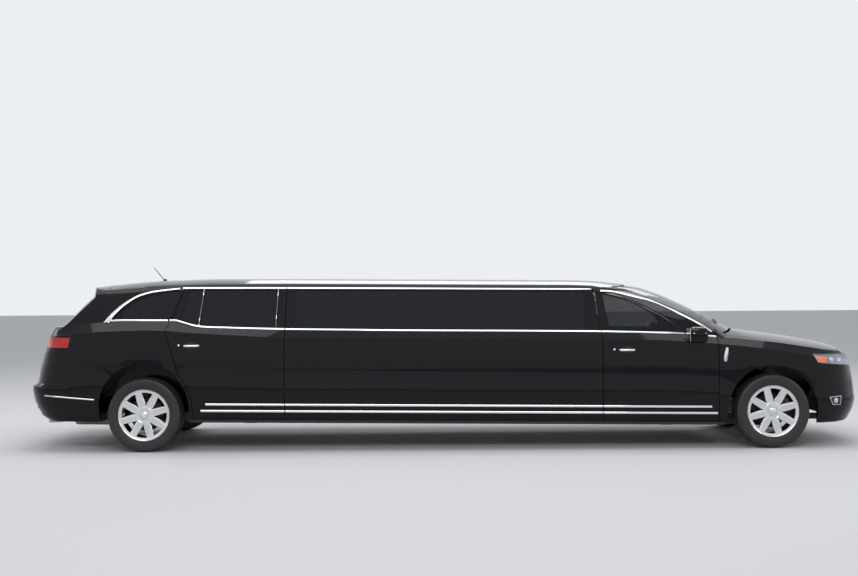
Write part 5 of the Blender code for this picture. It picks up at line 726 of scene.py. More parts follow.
def ring_tree(sides: int) -> tuple[bpy.types.GeometryNodeTree, dict[str, str]]:
    """A tree that stands short posts on a circle about the Y axis.

    Args:
        sides: Sides of each post.

    Returns:
        The tree and the identifiers of its inputs.
    """
    tree, keys = geometry_tree(f"ring_of_posts_{sides}", (
        ("Count", "NodeSocketInt", 5), ("Ring Radius", "NodeSocketFloat", 0.06),
        ("Post Radius", "NodeSocketFloat", 0.01), ("Post Length", "NodeSocketFloat", 0.02),
        ("Finish", "NodeSocketMaterial", None)))
    given = add(tree, "NodeGroupInput").outputs
    ring = add(tree, "GeometryNodeMeshCircle", {"Vertices": given["Count"], "Radius": given["Ring Radius"]})
    post = add(tree, "GeometryNodeMeshCone", {"Vertices": sides, "Radius Top": given["Post Radius"],
                                              "Radius Bottom": given["Post Radius"],
                                              "Depth": given["Post Length"]})
    stood = add(tree, "GeometryNodeInstanceOnPoints", {"Points": ring.outputs["Mesh"],
                                                       "Instance": post.outputs["Mesh"]})
    turned = add(tree, "GeometryNodeTransform", {"Geometry": stood.outputs["Instances"],
                                                 "Rotation": (math.pi / 2, 0.0, 0.0)})
    real = add(tree, "GeometryNodeRealizeInstances", {0: turned.outputs[0]})
    done = add(tree, "GeometryNodeSetMaterial", {0: real.outputs[0], "Material": given["Finish"]})
    add(tree, "NodeGroupOutput", {0: done.outputs[0]})
    return tree, keys


def row_tree(name: str, box: bool) -> tuple[bpy.types.GeometryNodeTree, dict[str, str]]:
    """A tree that repeats a slat or a small round post along a line, in one or more rows.

    Args:
        name: Name of the tree.
        box: Whether the repeated shape is a slat; otherwise it is a post.

    Returns:
        The tree and the identifiers of its inputs.
    """
    tree, keys = geometry_tree(name, (
        ("Along Count", "NodeSocketInt", 10), ("Across Count", "NodeSocketInt", 1),
        ("Along", "NodeSocketFloat", 1.0), ("Across", "NodeSocketFloat", 0.1),
        ("Size", "NodeSocketVector", (0.01, 0.01, 0.01)), ("Finish", "NodeSocketMaterial", None)))
    given = add(tree, "NodeGroupInput").outputs
    grid = add(tree, "GeometryNodeMeshGrid", {"Size X": given["Along"], "Size Y": given["Across"],
                                              "Vertices X": given["Along Count"],
                                              "Vertices Y": given["Across Count"]})
    if box:
        shape = add(tree, "GeometryNodeMeshCube", {"Size": given["Size"]})
    else:
        parts = add(tree, "ShaderNodeSeparateXYZ", {0: given["Size"]})
        shape = add(tree, "GeometryNodeMeshCone", {"Vertices": 10, "Radius Top": parts.outputs["X"],
                                                   "Radius Bottom": parts.outputs["Y"],
                                                   "Depth": parts.outputs["Z"]})
    stood = add(tree, "GeometryNodeInstanceOnPoints", {"Points": grid.outputs["Mesh"],
                                                       "Instance": shape.outputs["Mesh"]})
    real = add(tree, "GeometryNodeRealizeInstances", {0: stood.outputs["Instances"]})
    done = add(tree, "GeometryNodeSetMaterial", {0: real.outputs[0], "Material": given["Finish"]})
    add(tree, "NodeGroupOutput", {0: done.outputs[0]})
    return tree, keys


def smoothing_tree() -> tuple[bpy.types.GeometryNodeTree, dict[str, str]]:
    """A tree that joins a node's loose triangles and shades it smooth up to an angle.

    Returns:
        The tree and the identifiers of its inputs.
    """
    tree, keys = geometry_tree("panel_smoothing", (
        ("Geometry", "NodeSocketGeometry", None), ("Weld", "NodeSocketFloat", 0.0001),
        ("Sharp Angle", "NodeSocketFloat", 0.5)))
    given = add(tree, "NodeGroupInput").outputs
    joined = add(tree, "GeometryNodeMergeByDistance", {0: given["Geometry"], "Distance": given["Weld"]})
    angle = add(tree, "GeometryNodeInputMeshEdgeAngle")
    sharp = add(tree, "FunctionNodeCompare", {0: angle.outputs["Unsigned Angle"], 1: given["Sharp Angle"]},
                data_type="FLOAT", operation="GREATER_THAN")
    smooth = add(tree, "GeometryNodeSetShadeSmooth", {0: joined.outputs[0], "Shade Smooth": True},
                 domain="FACE")
    edges = add(tree, "GeometryNodeStoreNamedAttribute", {0: smooth.outputs[0], "Name": "sharp_edge",
                                                          "Value": sharp.outputs[0]},
                data_type="BOOLEAN", domain="EDGE")
    add(tree, "NodeGroupOutput", {0: edges.outputs[0]})
    return tree, keys


@dataclass
class Bodywork:
    """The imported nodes' finishes and their smooth shading."""

    weld: float = NODE_WELD
    sharp_angle: float = math.radians(SMOOTH_ANGLE)

    def build(self) -> None:
        """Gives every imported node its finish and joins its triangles."""
        tree, keys = smoothing_tree()
        for name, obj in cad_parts.items():
            finish = next(f for start, f in NODE_FINISHES if name.startswith(start))
            obj.data.materials.clear()
            obj.data.materials.append(finish.material())
            modifier = obj.modifiers.new("smoothing", "NODES")
            modifier.node_group = tree
            modifier[keys["Weld"]] = self.weld
            modifier[keys["Sharp Angle"]] = self.sharp_angle
            LOG.info("gave %s the finish %s", name, finish.name)


@dataclass
class SideTrim:
    """Bright strips, the lowest of them a stand-in for a painted highlight, handles on flat sheets of painted
    shade, blades and mirror glass on both sides.
    """

    # x of the shut lines
    front_seam: float = 2.7353
    door_rear: float = 1.5725
    door_front_rear: float = -1.6095
    quarter_seam: float = -2.786
    # section of a strip
    strip_half: float = 0.009
    strip_out: float = 0.0055
    strip_sunk: float = 0.002
    strip_shoulder: float = 0.55
    # (x, z) points of each strip; the belt's z is that of the level body
    belt: Line = (
        (-3.44, 1.265), (-3.30, 1.282), (-2.71, 1.284), (-2.66, 1.271), (-2.46, 1.227), (-2.16, 1.216),
        (-1.60, 1.202), (-0.60, 1.197), (0.80, 1.197), (1.60, 1.195), (2.10, 1.185), (2.45, 1.172),
        (2.715, 1.148))
    rail: Line = ((-2.60, 1.640), (-1.90, 1.636), (-0.5, 1.6235), (0.6, 1.611), (1.545, 1.601))
    rail_rear: float = -2.655
    front_frame: Line = (
        (1.588, 1.584), (1.700, 1.578), (1.800, 1.557), (1.900, 1.531), (2.000, 1.506), (2.100, 1.478),
        (2.200, 1.436), (2.300, 1.388), (2.400, 1.333), (2.500, 1.280), (2.600, 1.221), (2.680, 1.168))
    quarter_frame: Line = (
        (-3.405, 1.300), (-3.360, 1.368), (-3.270, 1.460), (-3.178, 1.528), (-3.106, 1.566),
        (-2.983, 1.602), (-2.832, 1.623), (-2.700, 1.636))
    quarter_widening: float = 1.6  # at its rear end
    quarter_wide_share: float = 0.55  # of its length
    quarter_power: float = 1.5
    bumper_strip: Line = ((-4.02, 0.572), (-3.80, 0.552), (-3.52, 0.528))
    bumper_half: float = 0.006
    # the two low strips: their level heights, the ends of the upper one and how much longer the next is; the
    # upper one is real chrome trim, and the lower one is a chrome strip that stands in for a painted
    # highlight on the rocker's ledge
    lower_heights: tuple[float, ...] = (0.450, 0.384)
    lower_ends: tuple[float, float] = (-2.40, 2.66)
    lower_longer: tuple[float, float] = (0.05, 0.06)
    lower_half: float = 0.010
    # upright bars between the panes of a rear door
    bars: tuple[Line, ...] = (((-2.475, 1.262), (-2.445, 1.628)), ((-1.700, 1.240), (-1.690, 1.630)))
    bar_half: float = 0.0018
    bar_steps: int = 6
    # handles: which door, rear x, front x and level height
    handle_spans: tuple[tuple[str, float, float, float], ...] = (
        ("front", 1.735, 1.898, 1.013), ("rear", -2.620, -2.457, 1.035))
    handle_half: tuple[float, float] = (0.011, 0.007)
    handle_lift: float = 0.034
    handle_steps: int = 16
    # the flat dark sheet round each handle, painted shade for its recess: half lengths, lifts off the door
    # and steps
    cup_half: tuple[float, float] = (0.060, 0.034)
    cup_lift: float = 0.0010
    cup_middle_lift: float = 0.0016
    cup_steps: int = 28
    lock_shift: tuple[float, float] = (-0.045, 0.005)
    lock_profile: Line = (
        (0.0001, 0.003), (0.008, 0.003), (0.010, 0.001), (0.010, -0.002), (0.0001, -0.002))
    # the upright blade behind the front arch
    blade_low: tuple[float, float, float] = (2.797, 0.0, 0.872)
    blade_high: tuple[float, float, float] = (2.818, 0.0, 1.010)
    blade_section: Line = (
        (-0.020, -0.001), (0.020, -0.001), (0.017, 0.004), (0.004, 0.008), (-0.004, 0.008), (-0.017, 0.004))
    blade_steps: int = 12
    # scale of its section: the least, what the wave adds, and the wave's span and start
    blade_wave: tuple[float, float, float, float] = (0.55, 0.45, 0.8, 0.15)
    # door mirrors: glass, and bright line on the shell
    mirror_inset: float = 0.100
    mirror_glass: tuple[float, float] = (0.006, 0.165)
    mirror_glass_shift: tuple[float, float] = (-0.0005, 0.002)
    mirror_glass_share: float = 0.80
    mirror_line: tuple[float, float, float] = (0.130, 0.006, 0.009)
    mirror_line_inset: float = 0.0035
    mirror_line_share: float = 0.62
    mirror_rounding: float = 0.0028

    def section(self, half: float, out: float) -> list[tuple[float, float]]:
        """A low rounded section, from its half width and its height."""
        sunk, inner = self.strip_sunk, self.strip_shoulder
        return [(-half, -sunk), (half, -sunk), (half, out * inner), (half * inner, out),
                (-half * inner, out), (-half, out * inner)]

    def strip(self, name: str, points: Line, side: Side, body: str, half: float | None = None,
              taper: Callable[[float], float] | None = None, skin: Skin = SKIN) -> None:
        """Lays one bright strip on a side.

        Args:
            name: Name of the strip.
            points: Its (x, z) points.
            side: Which side.
            body: The body it moves with.
            half: Its half width, where it isn't the usual one.
            taper: Scale of its section at each share of its length.
            skin: The surface it lies on.
        """
        path, normals = skin.line(points, side)
        if len(path) > 1:
            mesh = swept(path, normals, self.section(half or self.strip_half, self.strip_out), taper)
            piece(name, *mesh, CHROME, body)

    def height_on(self, points: Line, x: float) -> float:
        """Height of a line at an x, which past its ends is that of the end.

        Args:
            points: The line's (x, z) points.
            x: Where.

        Returns:
            The height.
        """
        for (x0, z0), (x1, z1) in zip(points, points[1:]):
            if x0 <= x <= x1:
                return z0 + (z1 - z0) * (x - x0) / (x1 - x0)
        return points[0][1] if x < points[0][0] else points[-1][1]

    def clipped(self, points: Line, low: float, high: float) -> list[tuple[float, float]]:
        """The part of a line between two x, with its ends on them."""
        inner = [(x, z) for x, z in points if low < x < high]
        return [(low, self.height_on(points, low)), *inner, (high, self.height_on(points, high))]

    def quarter_taper(self, share: float) -> float:
        """Scale of the quarter's strip, which widens towards its rear end."""
        rest = 1.0 - min(1.0, share / self.quarter_wide_share)
        return 1.0 + self.quarter_widening * rest ** self.quarter_power

    def blade_taper(self, share: float) -> float:
        """Scale of the blade, which is widest above its middle."""
        least, more, span, start = self.blade_wave
        return least + more * math.sin(math.pi * min(1.0, share * span + start))

    def build(self) -> None:
        """Builds the trim of both sides."""
        for side in Side:
            self.strips(side)
            self.handles(side)
            self.blade(side)
            self.mirror(side)

    def strips(self, side: Side) -> None:
        """Builds every strip of a side, each cut at the shut lines.

        Args:
            side: Which side.
        """
        word = side.word
        zones = ((f"front_door_{word}", self.door_rear + SEAM, self.front_seam - SEAM * 3),
                 ("body", self.door_front_rear + SEAM, self.door_rear - SEAM),
                 (f"rear_door_{word}", self.quarter_seam + SEAM * 2, self.door_front_rear - SEAM))
        belt = [(x, lean(x, z)) for x, z in self.belt]
        for body, low, high in zones:
            self.strip(f"belt_strip_{body}_{word}", self.clipped(belt, low, high), side, body)
        self.strip(f"belt_strip_quarter_{word}",
                   self.clipped(belt, belt[0][0], self.quarter_seam - SEAM * 2), side, "body")
        rear, front = self.lower_ends
        # strip 0 is real chrome trim; strip 1 is a chrome line that stands in for a painted highlight on the
        # rocker's ledge
        for number, height in enumerate(self.lower_heights):
            line = [(rear - self.lower_longer[0] * number, lean(rear, height)),
                    (front + self.lower_longer[1] * number, lean(front, height))]
            for body, low, high in zones:
                low, high = max(low, line[0][0]), min(high, line[1][0])
                self.strip(f"lower_strip_{number}_{body}_{word}", self.clipped(line, low, high), side,
                           body, self.lower_half)
        for body, low, high in zones[1:]:
            self.strip(f"rail_strip_{body}_{word}", self.clipped(self.rail, max(low, self.rail_rear), high),
                       side, body)
        door = Skin([f"front_door_{word}", f"front_door_glass_{word}"])
        self.strip(f"door_frame_strip_{word}", self.front_frame, side, f"front_door_{word}", skin=door)
        self.strip(f"quarter_frame_strip_{word}", self.quarter_frame, side, "body",
                   taper=self.quarter_taper)
        for number, (low, high) in enumerate(self.bars):
            path = [(low[0] + (high[0] - low[0]) * k / self.bar_steps,
                     low[1] + (high[1] - low[1]) * k / self.bar_steps) for k in range(self.bar_steps + 1)]
            self.strip(f"division_bar_{number}_{word}", path, side,
                       "body" if low[0] < self.quarter_seam else f"rear_door_{word}", self.bar_half)
        self.strip(f"rear_bumper_strip_{word}", self.bumper_strip, side, "body", self.bumper_half)

    def handles(self, side: Side) -> None:
        """Puts a pull handle, a flat dark sheet of painted shade where its recess is, and a lock on both
        doors of a side.

        Args:
            side: Which side.
        """
        for end, low, high, level in self.handle_spans:
            body = f"{end}_door_{side.word}"
            middle = (low + high) / 2
            height = lean(middle, level)
            centre, normal = SKIN.side(middle, height, side)
            span = (high - low) / 2
            path, normals = [], []
            for k in range(self.handle_steps + 1):
                t = -1 + 2 * k / self.handle_steps
                lift = self.handle_lift * (1 - t ** 6)
                path.append(Vector((middle + t * span, centre.y, height)) + normal * lift)
                normals.append(normal)
            piece(f"{end}_handle_{side.word}", *swept(path, normals, oval(*self.handle_half, 12)), CHROME,
                  body)
            # a flat dark sheet just off the door, painted shade where the handle's recess would be
            points = [centre + normal * self.cup_middle_lift]
            for across, up in oval(*self.cup_half, self.cup_steps):
                hit = SKIN.side(middle + across, height + up, side)
                points.append((hit[0] if hit else centre) + normal * self.cup_lift)
            piece(f"{end}_handle_cup_{side.word}", points, fan(self.cup_steps), RECESS_SHADE, body)
            lock, axis = SKIN.side(low + self.lock_shift[0], height + self.lock_shift[1], side)
            mesh = lathed(self.lock_profile, 20, facing(lock, axis))
            piece(f"{end}_lock_{side.word}", *mesh, CHROME, body)

    def blade(self, side: Side) -> None:
        """Puts the bright upright blade behind the front arch.

        Args:
            side: Which side.
        """
        low, high = Vector(self.blade_low), Vector(self.blade_high)
        places = [low.lerp(high, k / self.blade_steps) for k in range(self.blade_steps + 1)]
        path, normals = laid(SKIN.side(at.x, at.z, side) for at in places)
        piece(f"fender_blade_{side.word}", *swept(path, normals, self.blade_section, self.blade_taper),
              CHROME, "body")

    def mirror(self, side: Side) -> None:
        """Puts the glass and the bright line on a door mirror.

        Args:
            side: Which side.
        """
        low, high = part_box(f"mirror_{side.word}")
        body = f"front_door_{side.word}"
        outer = high.y if side is Side.LEFT else low.y
        height = high.z - low.z
        back, up = self.mirror_glass_shift
        place = placed((low.x + back, outer - side.value * self.mirror_inset, (low.z + high.z) / 2 + up))
        glass = rounded_box((*self.mirror_glass, height * self.mirror_glass_share), self.mirror_rounding,
                            place)
        from_shape(f"mirror_glass_{side.word}", glass, CHROME, body)
        place = placed(((low.x + high.x) / 2, outer - side.value * self.mirror_line_inset,
                        low.z + height * self.mirror_line_share))
        from_shape(f"mirror_line_{side.word}", rounded_box(self.mirror_line, self.mirror_rounding, place),
                   CHROME, body)


@dataclass
class Wheels:
    """Detailed tyres, wheels, caps, nuts, brake discs and calipers."""

    # tyres
    tyre_radius: float = 0.3705
    tread_half: float = 0.088
    tread_crown: float = 0.0045
    shoulder_y: tuple[float, float] = (0.086, 0.066)
    groove_y: tuple[float, float] = (0.059, 0.021)
    groove: float = 0.0042
    groove_depth: float = 0.0075
    # section of a groove: across it in groove half widths, and its share of the depth
    groove_section: Line = ((1.3, 0.0), (1.0, 1.0), (-1.0, 1.0), (-1.3, 0.0))
    cut_share: float = 0.8
    pitches: int = 54
    pitch_shares: tuple[float, ...] = (0.0, 0.05, 0.13, 0.18, 0.59)
    cut_steps: tuple[int, int] = (1, 2)
    tyre_turn: float = 0.03
    # wheels: each row of a spoke is a radius, a half width and a level
    spokes: int = 8
    spoke_turn: float = math.radians(7.5)
    spoke_rows: tuple[tuple[float, float, float], ...] = (
        (0.070, 0.0280, 0.0880), (0.095, 0.0375, 0.0885), (0.121, 0.0400, 0.0895),
        (0.160, 0.0385, 0.0908), (0.200, 0.0362, 0.0928), (0.221, 0.0352, 0.0940),
        (0.234, 0.0400, 0.0950), (0.246, 0.0470, 0.0960))
    spoke_section: Line = (
        (-1.0, 0.030), (-1.0, 0.006), (-0.90, 0.0015), (-0.70, 0.0), (0.70, 0.0), (0.90, 0.0015),
        (1.0, 0.006), (1.0, 0.030))
    # (radius, along) profiles
    rim_profile: Line = (
        (0.2586, 0.1032), (0.2570, 0.1046), (0.2545, 0.1042), (0.2500, 0.0985), (0.2440, 0.0960),
        (0.2330, 0.0945), (0.2265, 0.0925), (0.2255, 0.0860), (0.2270, 0.0500), (0.2190, 0.0200),
        (0.2190, -0.0400), (0.2290, -0.0700), (0.2400, -0.0900), (0.2570, -0.1040), (0.2586, -0.1032),
        (0.2586, -0.0960), (0.2480, -0.0860), (0.2480, -0.0640), (0.2250, -0.0340), (0.2250, 0.0250),
        (0.2480, 0.0600), (0.2480, 0.0860), (0.2586, 0.0960))
    hub_profile: Line = (
        (0.0001, 0.0865), (0.0480, 0.0865), (0.0720, 0.0880), (0.0930, 0.0872), (0.0960, 0.0855),
        (0.0960, 0.0620), (0.0700, 0.0420), (0.0001, 0.0420))
    side_profile: Line = (
        (0.2590, 0.0880), (0.2596, 0.1010), (0.2660, 0.1065), (0.2730, 0.1095), (0.2745, 0.1112),
        (0.2770, 0.1118), (0.2790, 0.1112), (0.2870, 0.1140), (0.3000, 0.1165), (0.3120, 0.1170),
        (0.3240, 0.1160), (0.3330, 0.1142), (0.3345, 0.1150), (0.3370, 0.1146), (0.3385, 0.1130),
        (0.3480, 0.1100), (0.3560, 0.1050), (0.3620, 0.0980), (0.3655, 0.0905))
    cap_profile: Line = (
        (0.0001, 0.104), (0.022, 0.1035), (0.026, 0.1025), (0.030, 0.100), (0.034, 0.0925),
        (0.0345, 0.0865), (0.0001, 0.0865))
    ring_profile: Line = (
        (0.074, 0.0860), (0.074, 0.0885), (0.078, 0.0905), (0.083, 0.0895), (0.0855, 0.0868),
        (0.0855, 0.0860))
    disc_profile: Line = (
        (0.060, -0.004), (0.168, -0.004), (0.170, -0.006), (0.170, -0.024), (0.168, -0.026),
        (0.060, -0.026))
    # nuts and the round seats under them: radius, length and level
    nuts: int = 5
    nut_circle: float = 0.0572
    nut: tuple[float, float, float] = (0.0100, 0.016, 0.0925)
    nut_seat: tuple[float, float, float] = (0.0135, 0.004, 0.0865)
    # calipers
    caliper_size: tuple[float, float, float] = (0.070, 0.052, 0.150)
    caliper_shift: tuple[float, float, float] = (-0.135, -0.016, 0.0)
    caliper_rounding: float = 0.012
    caliper_turn: float = math.radians(20)

    def crown(self, y: float) -> float:
        """Radius of the tread at its y."""
        return self.tyre_radius - self.tread_crown * (y / self.tread_half) ** 2

    def tread(self) -> list[tuple[float, float, bool]]:
        """Half of the tread, from the shoulder to the middle.

        Returns:
            Radius, y and whether the cross cuts reach it, for each point.
        """
        found = [(self.crown(y), y, True) for y in self.shoulder_y]
        for middle in self.groove_y:
            for step, depth in self.groove_section:
                y = middle + step * self.groove
                found.append((self.crown(y) - depth * self.groove_depth, y, False))
        return found

    def tyre(self, name: str, axle: Vector) -> None:
        """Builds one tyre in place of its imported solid.

        Args:
            name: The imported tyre.
            axle: Centre of its wheel.
        """
        half = [(r, y, False) for r, y in self.side_profile] + self.tread()
        profile = half + [(r, -y, cut) for r, y, cut in reversed(half)]
        points: list[Vector] = []
        for i in range(self.pitches):
            for k, share in enumerate(self.pitch_shares):
                angle = 2 * math.pi * (i + share) / self.pitches + self.tyre_turn
                sunk = self.groove_depth * self.cut_share if k in self.cut_steps else 0.0
                for r, y, cut in profile:
                    radius = r - sunk if cut else r
                    points.append(axle + Vector((radius * math.sin(angle), y, radius * math.cos(angle))))
        faces = tube_faces(self.pitches * len(self.pitch_shares), len(profile), closed=True)
        body = name.replace("tyre", "wheel")
        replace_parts(piece(f"{name}_tread", points, faces, RUBBER, body, 40.0), name)

    def build(self) -> None:
        """Dresses the four wheels."""
        nut_tree, nut_keys = ring_tree(6)
        seat_tree, seat_keys = ring_tree(12)
        for end in ("front", "rear"):
            for side in Side:
                body = f"{end}_wheel_{side.word}"
                low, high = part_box(body)
                axle = (low + high) / 2
                self.tyre(f"{end}_tyre_{side.word}", axle)
                place = placed(axle, 0.0 if side is Side.LEFT else math.pi, "Z")
                piece(f"{body}_cap", *lathed(self.cap_profile, 48, place), CHROME, body)
                piece(f"{body}_hub_ring", *lathed(self.ring_profile, 60, place), CHROME, body)
                for kind, tree, keys, (radius, length, level), finish in (
                        ("nuts", nut_tree, nut_keys, self.nut, CHROME),
                        ("seats", seat_tree, seat_keys, self.nut_seat, STEEL)):
                    values = {keys["Count"]: self.nuts, keys["Ring Radius"]: self.nut_circle,
                              keys["Post Radius"]: radius, keys["Post Length"]: length,
                              keys["Finish"]: finish.material()}
                    realised(f"{body}_{kind}", tree, values, place @ Matrix.Translation((0, level, 0)),
                             finish, body)
                self.face(body, place)
                # the disc's finish is darkened as painted shade inside the wheel
                piece(f"{body}_brake_disc", *lathed(self.disc_profile, 72, place), SHADED_DISC, body)
                carrier = f"knuckle_{side.word}" if end == "front" else "body"
                self.caliper(f"{end}_caliper_{side.word}", place, carrier)

    def face(self, body: str, place: Matrix) -> None:
        """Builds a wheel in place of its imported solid: a deep rim, a hub and flat spokes.

        Args:
            body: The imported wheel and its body.
            place: The wheel's centre, with local +Y outwards.
        """
        points, faces = lathed(self.rim_profile, 96, place)
        hub, hub_faces = lathed(self.hub_profile, 72, place)
        faces += [[i + len(points) for i in loop] for loop in hub_faces]
        points += hub
        turned = 1.0 if place.to_3x3() @ Vector((1, 0, 0)) == Vector((1, 0, 0)) else -1.0
        for k in range(self.spokes):
            middle = turned * (self.spoke_turn + 2 * math.pi * (k + 0.5) / self.spokes)
            faces += tube_faces(len(self.spoke_rows), len(self.spoke_section), len(points))
            for r, half, level in self.spoke_rows:
                for across, down in self.spoke_section:
                    w = across * half
                    points.append(place @ Vector((r * math.sin(middle) + w * math.cos(middle), level - down,
                                                  r * math.cos(middle) - w * math.sin(middle))))
        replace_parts(piece(f"{body}_metal", points, faces, WHEEL_METAL, body), body)

    def caliper(self, name: str, place: Matrix, body: str) -> None:
        """Puts a brake caliper over the rear of a disc.

        Args:
            name: Name of the caliper.
            place: The wheel's centre, with local +Y outwards.
            body: The body it moves with.
        """
        at = (place @ Matrix.Rotation(self.caliper_turn, 4, "Y") @ Matrix.Translation(self.caliper_shift))
        from_shape(name, rounded_box(self.caliper_size, self.caliper_rounding, at), IRON, body)


@dataclass
class Lamps:
    """Head lamp insides, turn lamps and fog lamps."""

    tray_inset: float = 0.004
    tray_wall: float = 0.0012
    lens_facing: float = 0.45
    # x, z and radius of each projector, outer first
    projectors: tuple[tuple[float, float, float], ...] = ((3.90, 0.872, 0.030), (4.00, 0.862, 0.026))
    projector_depth: float = 0.030
    turn_at: tuple[float, float] = (3.765, 0.885)
    turn_size: tuple[float, float, float] = (0.150, 0.018, 0.058)
    turn_depth: float = 0.016
    turn_rounding: float = 0.008
    turn_slope: float = math.radians(8)
    fog_corners: Line = ((3.845, 0.505), (3.985, 0.515), (3.975, 0.425), (3.885, 0.425))
    fog_edge_steps: int = 4
    fog_least_hits: int = 12
    fog_inner_share: float = 0.90
    # levels off the bumper: the outline's outer edge, inner edge and back, and the panel's middle and rim
    fog_outline: tuple[float, float, float] = (0.004, 0.005, -0.002)
    fog_panel: tuple[float, float] = (0.003, 0.0015)
    fog_profile: Line = ((0.0001, 0.011), (0.014, 0.0095), (0.024, 0.006), (0.027, 0.003), (0.0001, 0.003))

    def tray(self, node: str, finish: Finish, name: str) -> None:
        """Lines a lamp's hollow with a shell set in from its lens.

        Args:
            node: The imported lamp.
            finish: The shell's finish.
            name: Name of the shell.
        """
        shape = bmesh.new()
        shape.from_mesh(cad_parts[node].data)
        bmesh.ops.remove_doubles(shape, verts=shape.verts, dist=NODE_WELD)
        shape.normal_update()
        side = 1 if node.endswith("left") else -1
        outward = Vector((1.0, side, 0.0)).normalized()
        front = [f for f in shape.faces if f.normal.dot(outward) > self.lens_facing]
        moves = {v: v.co - v.normal * self.tray_inset for v in shape.verts}
        for vert, place in moves.items():
            vert.co = place
        bmesh.ops.delete(shape, geom=front, context="FACES")
        bmesh.ops.solidify(shape, geom=shape.faces[:], thickness=self.tray_wall)
        from_shape(name, shape, finish, "body")

    def build(self) -> None:
        """Builds the lamps of both sides."""
        for side in Side:
            word = side.word
            self.tray(f"headlamp_{word}", REFLECTOR, f"headlamp_reflector_{word}")
            for number, (x, z, radius) in enumerate(self.projectors):
                hit = SKIN.side(x, z, side)
                if not hit:
                    continue
                shape = bmesh.new()
                bmesh.ops.create_uvsphere(shape, u_segments=24, v_segments=16, radius=radius)
                bmesh.ops.translate(shape, vec=hit[0] - hit[1] * self.projector_depth, verts=shape.verts)
                from_shape(f"projector_{number}_{word}", shape, PROJECTOR, "body")
            hit = SKIN.side(*self.turn_at, side)
            if hit:
                place = placed(hit[0] - hit[1] * self.turn_depth, self.turn_slope)
                from_shape(f"turn_lamp_{word}", rounded_box(self.turn_size, self.turn_rounding, place), AMBER,
                           "body")
            self.fog(side)

    def fog(self, side: Side) -> None:
        """Puts a fog lamp with its bright outline low in the bumper.

        Args:
            side: Which side.
        """
        rays = []
        for (x, z), after in zip(self.fog_corners, self.fog_corners[1:] + self.fog_corners[:1]):
            for i in range(self.fog_edge_steps):
                t = i / self.fog_edge_steps
                rays.append(SKIN.side(x + (after[0] - x) * t, z + (after[1] - z) * t, side))
        loop, normals = laid(rays)
        if len(loop) < self.fog_least_hits:
            return
        out = sum(normals, Vector()).normalized()
        centre = sum(loop, Vector()) / len(loop)
        count = len(loop)
        inner = [centre + (p - centre) * self.fog_inner_share for p in loop]
        outer_level, inner_level, back = self.fog_outline
        rings = ((loop, outer_level), (inner, inner_level), (inner, back), (loop, back))
        points = [p + out * level for ring, level in rings for p in ring]
        faces = [[a * count + i, a * count + (i + 1) % count, (a + 1) % 4 * count + (i + 1) % count,
                  (a + 1) % 4 * count + i] for a in range(4) for i in range(count)]
        piece(f"fog_outline_{side.word}", points, faces, CHROME, "body")
        pad = [centre + out * self.fog_panel[0]] + [p + out * self.fog_panel[1] for p in inner]
        piece(f"fog_panel_{side.word}", pad, fan(count), LAMP_DARK, "body")
        piece(f"fog_lamp_{side.word}", *lathed(self.fog_profile, 32, facing(centre, out)), PROJECTOR, "body")


@dataclass
class Cushion:
    """A soft seat part: a rounded block that is crowned between its seams."""

    name: str
    size: tuple[float, float, float]
    place: Matrix
    seams: int = 1
    along: int = 0
    crown: float = 0.014
    rounding: float = 0.30  # share of the least length
    long_edge: float = 0.05
    cuts: int = 11
    seam_reach: float = 0.022
    ripple: float = 0.0016
    ripple_scale: float = 9.0

    def swell(self, shares: Sequence[float]) -> float:
        """How much of the crown a point has, from its shares of the half lengths."""
        swell = 1.0
        for i, share in enumerate(shares):
            if abs(share) < 0.999 and i != self.along:
                swell *= 1 - share ** 4
        return swell

    def build(self, finish: Finish, body: str = "body") -> bpy.types.Object:
        """Builds the cushion.

        Args:
            finish: Its leather.
            body: The body it moves with.

        Returns:
            The padded piece.
        """
        shape = rounded_box(tuple(v - 2 * self.crown for v in self.size), min(self.size) * self.rounding,
                            Matrix.Identity(4), 5)
        long = [e for e in shape.edges if e.calc_length() > self.long_edge]
        bmesh.ops.subdivide_edges(shape, edges=long, cuts=self.cuts, use_grid_fill=True)
        half = [max(v / 2 - self.crown, 0.01) for v in self.size]
        offset = Vector((self.size[0], self.size[1], 0.0)) * 7
        for vert in shape.verts:
            shares = [vert.co[i] / half[i] for i in range(3)]
            track = (shares[self.along] + 1) / 2 * self.seams
            near = min(1.0, abs(track - round(track)) / self.seams * self.size[self.along] / self.seam_reach)
            if not 0 < round(track) < self.seams:
                near = 1.0
            lobe = 1.0
            if self.seams > 1:
                lobe = abs(math.sin(math.pi * min(max(track, 0.0), float(self.seams)))) ** 0.5
            # a third of the crown is there all over, and a seam leaves a seventh of it
            lift = self.crown * (0.35 + 0.65 * self.swell(shares) * lobe) * (0.15 + 0.85 * near ** 0.5)
            ripple = self.ripple * noise.noise(vert.co * self.ripple_scale + offset)
            direction = Vector(tuple(s ** 5 for s in shares))
            if direction.length > 1e-6:
                vert.co += direction.normalized() * (lift + ripple)
        bmesh.ops.transform(shape, matrix=self.place, verts=shape.verts)
        obj = from_shape(self.name, shape, finish, body, 60.0)
        return obj


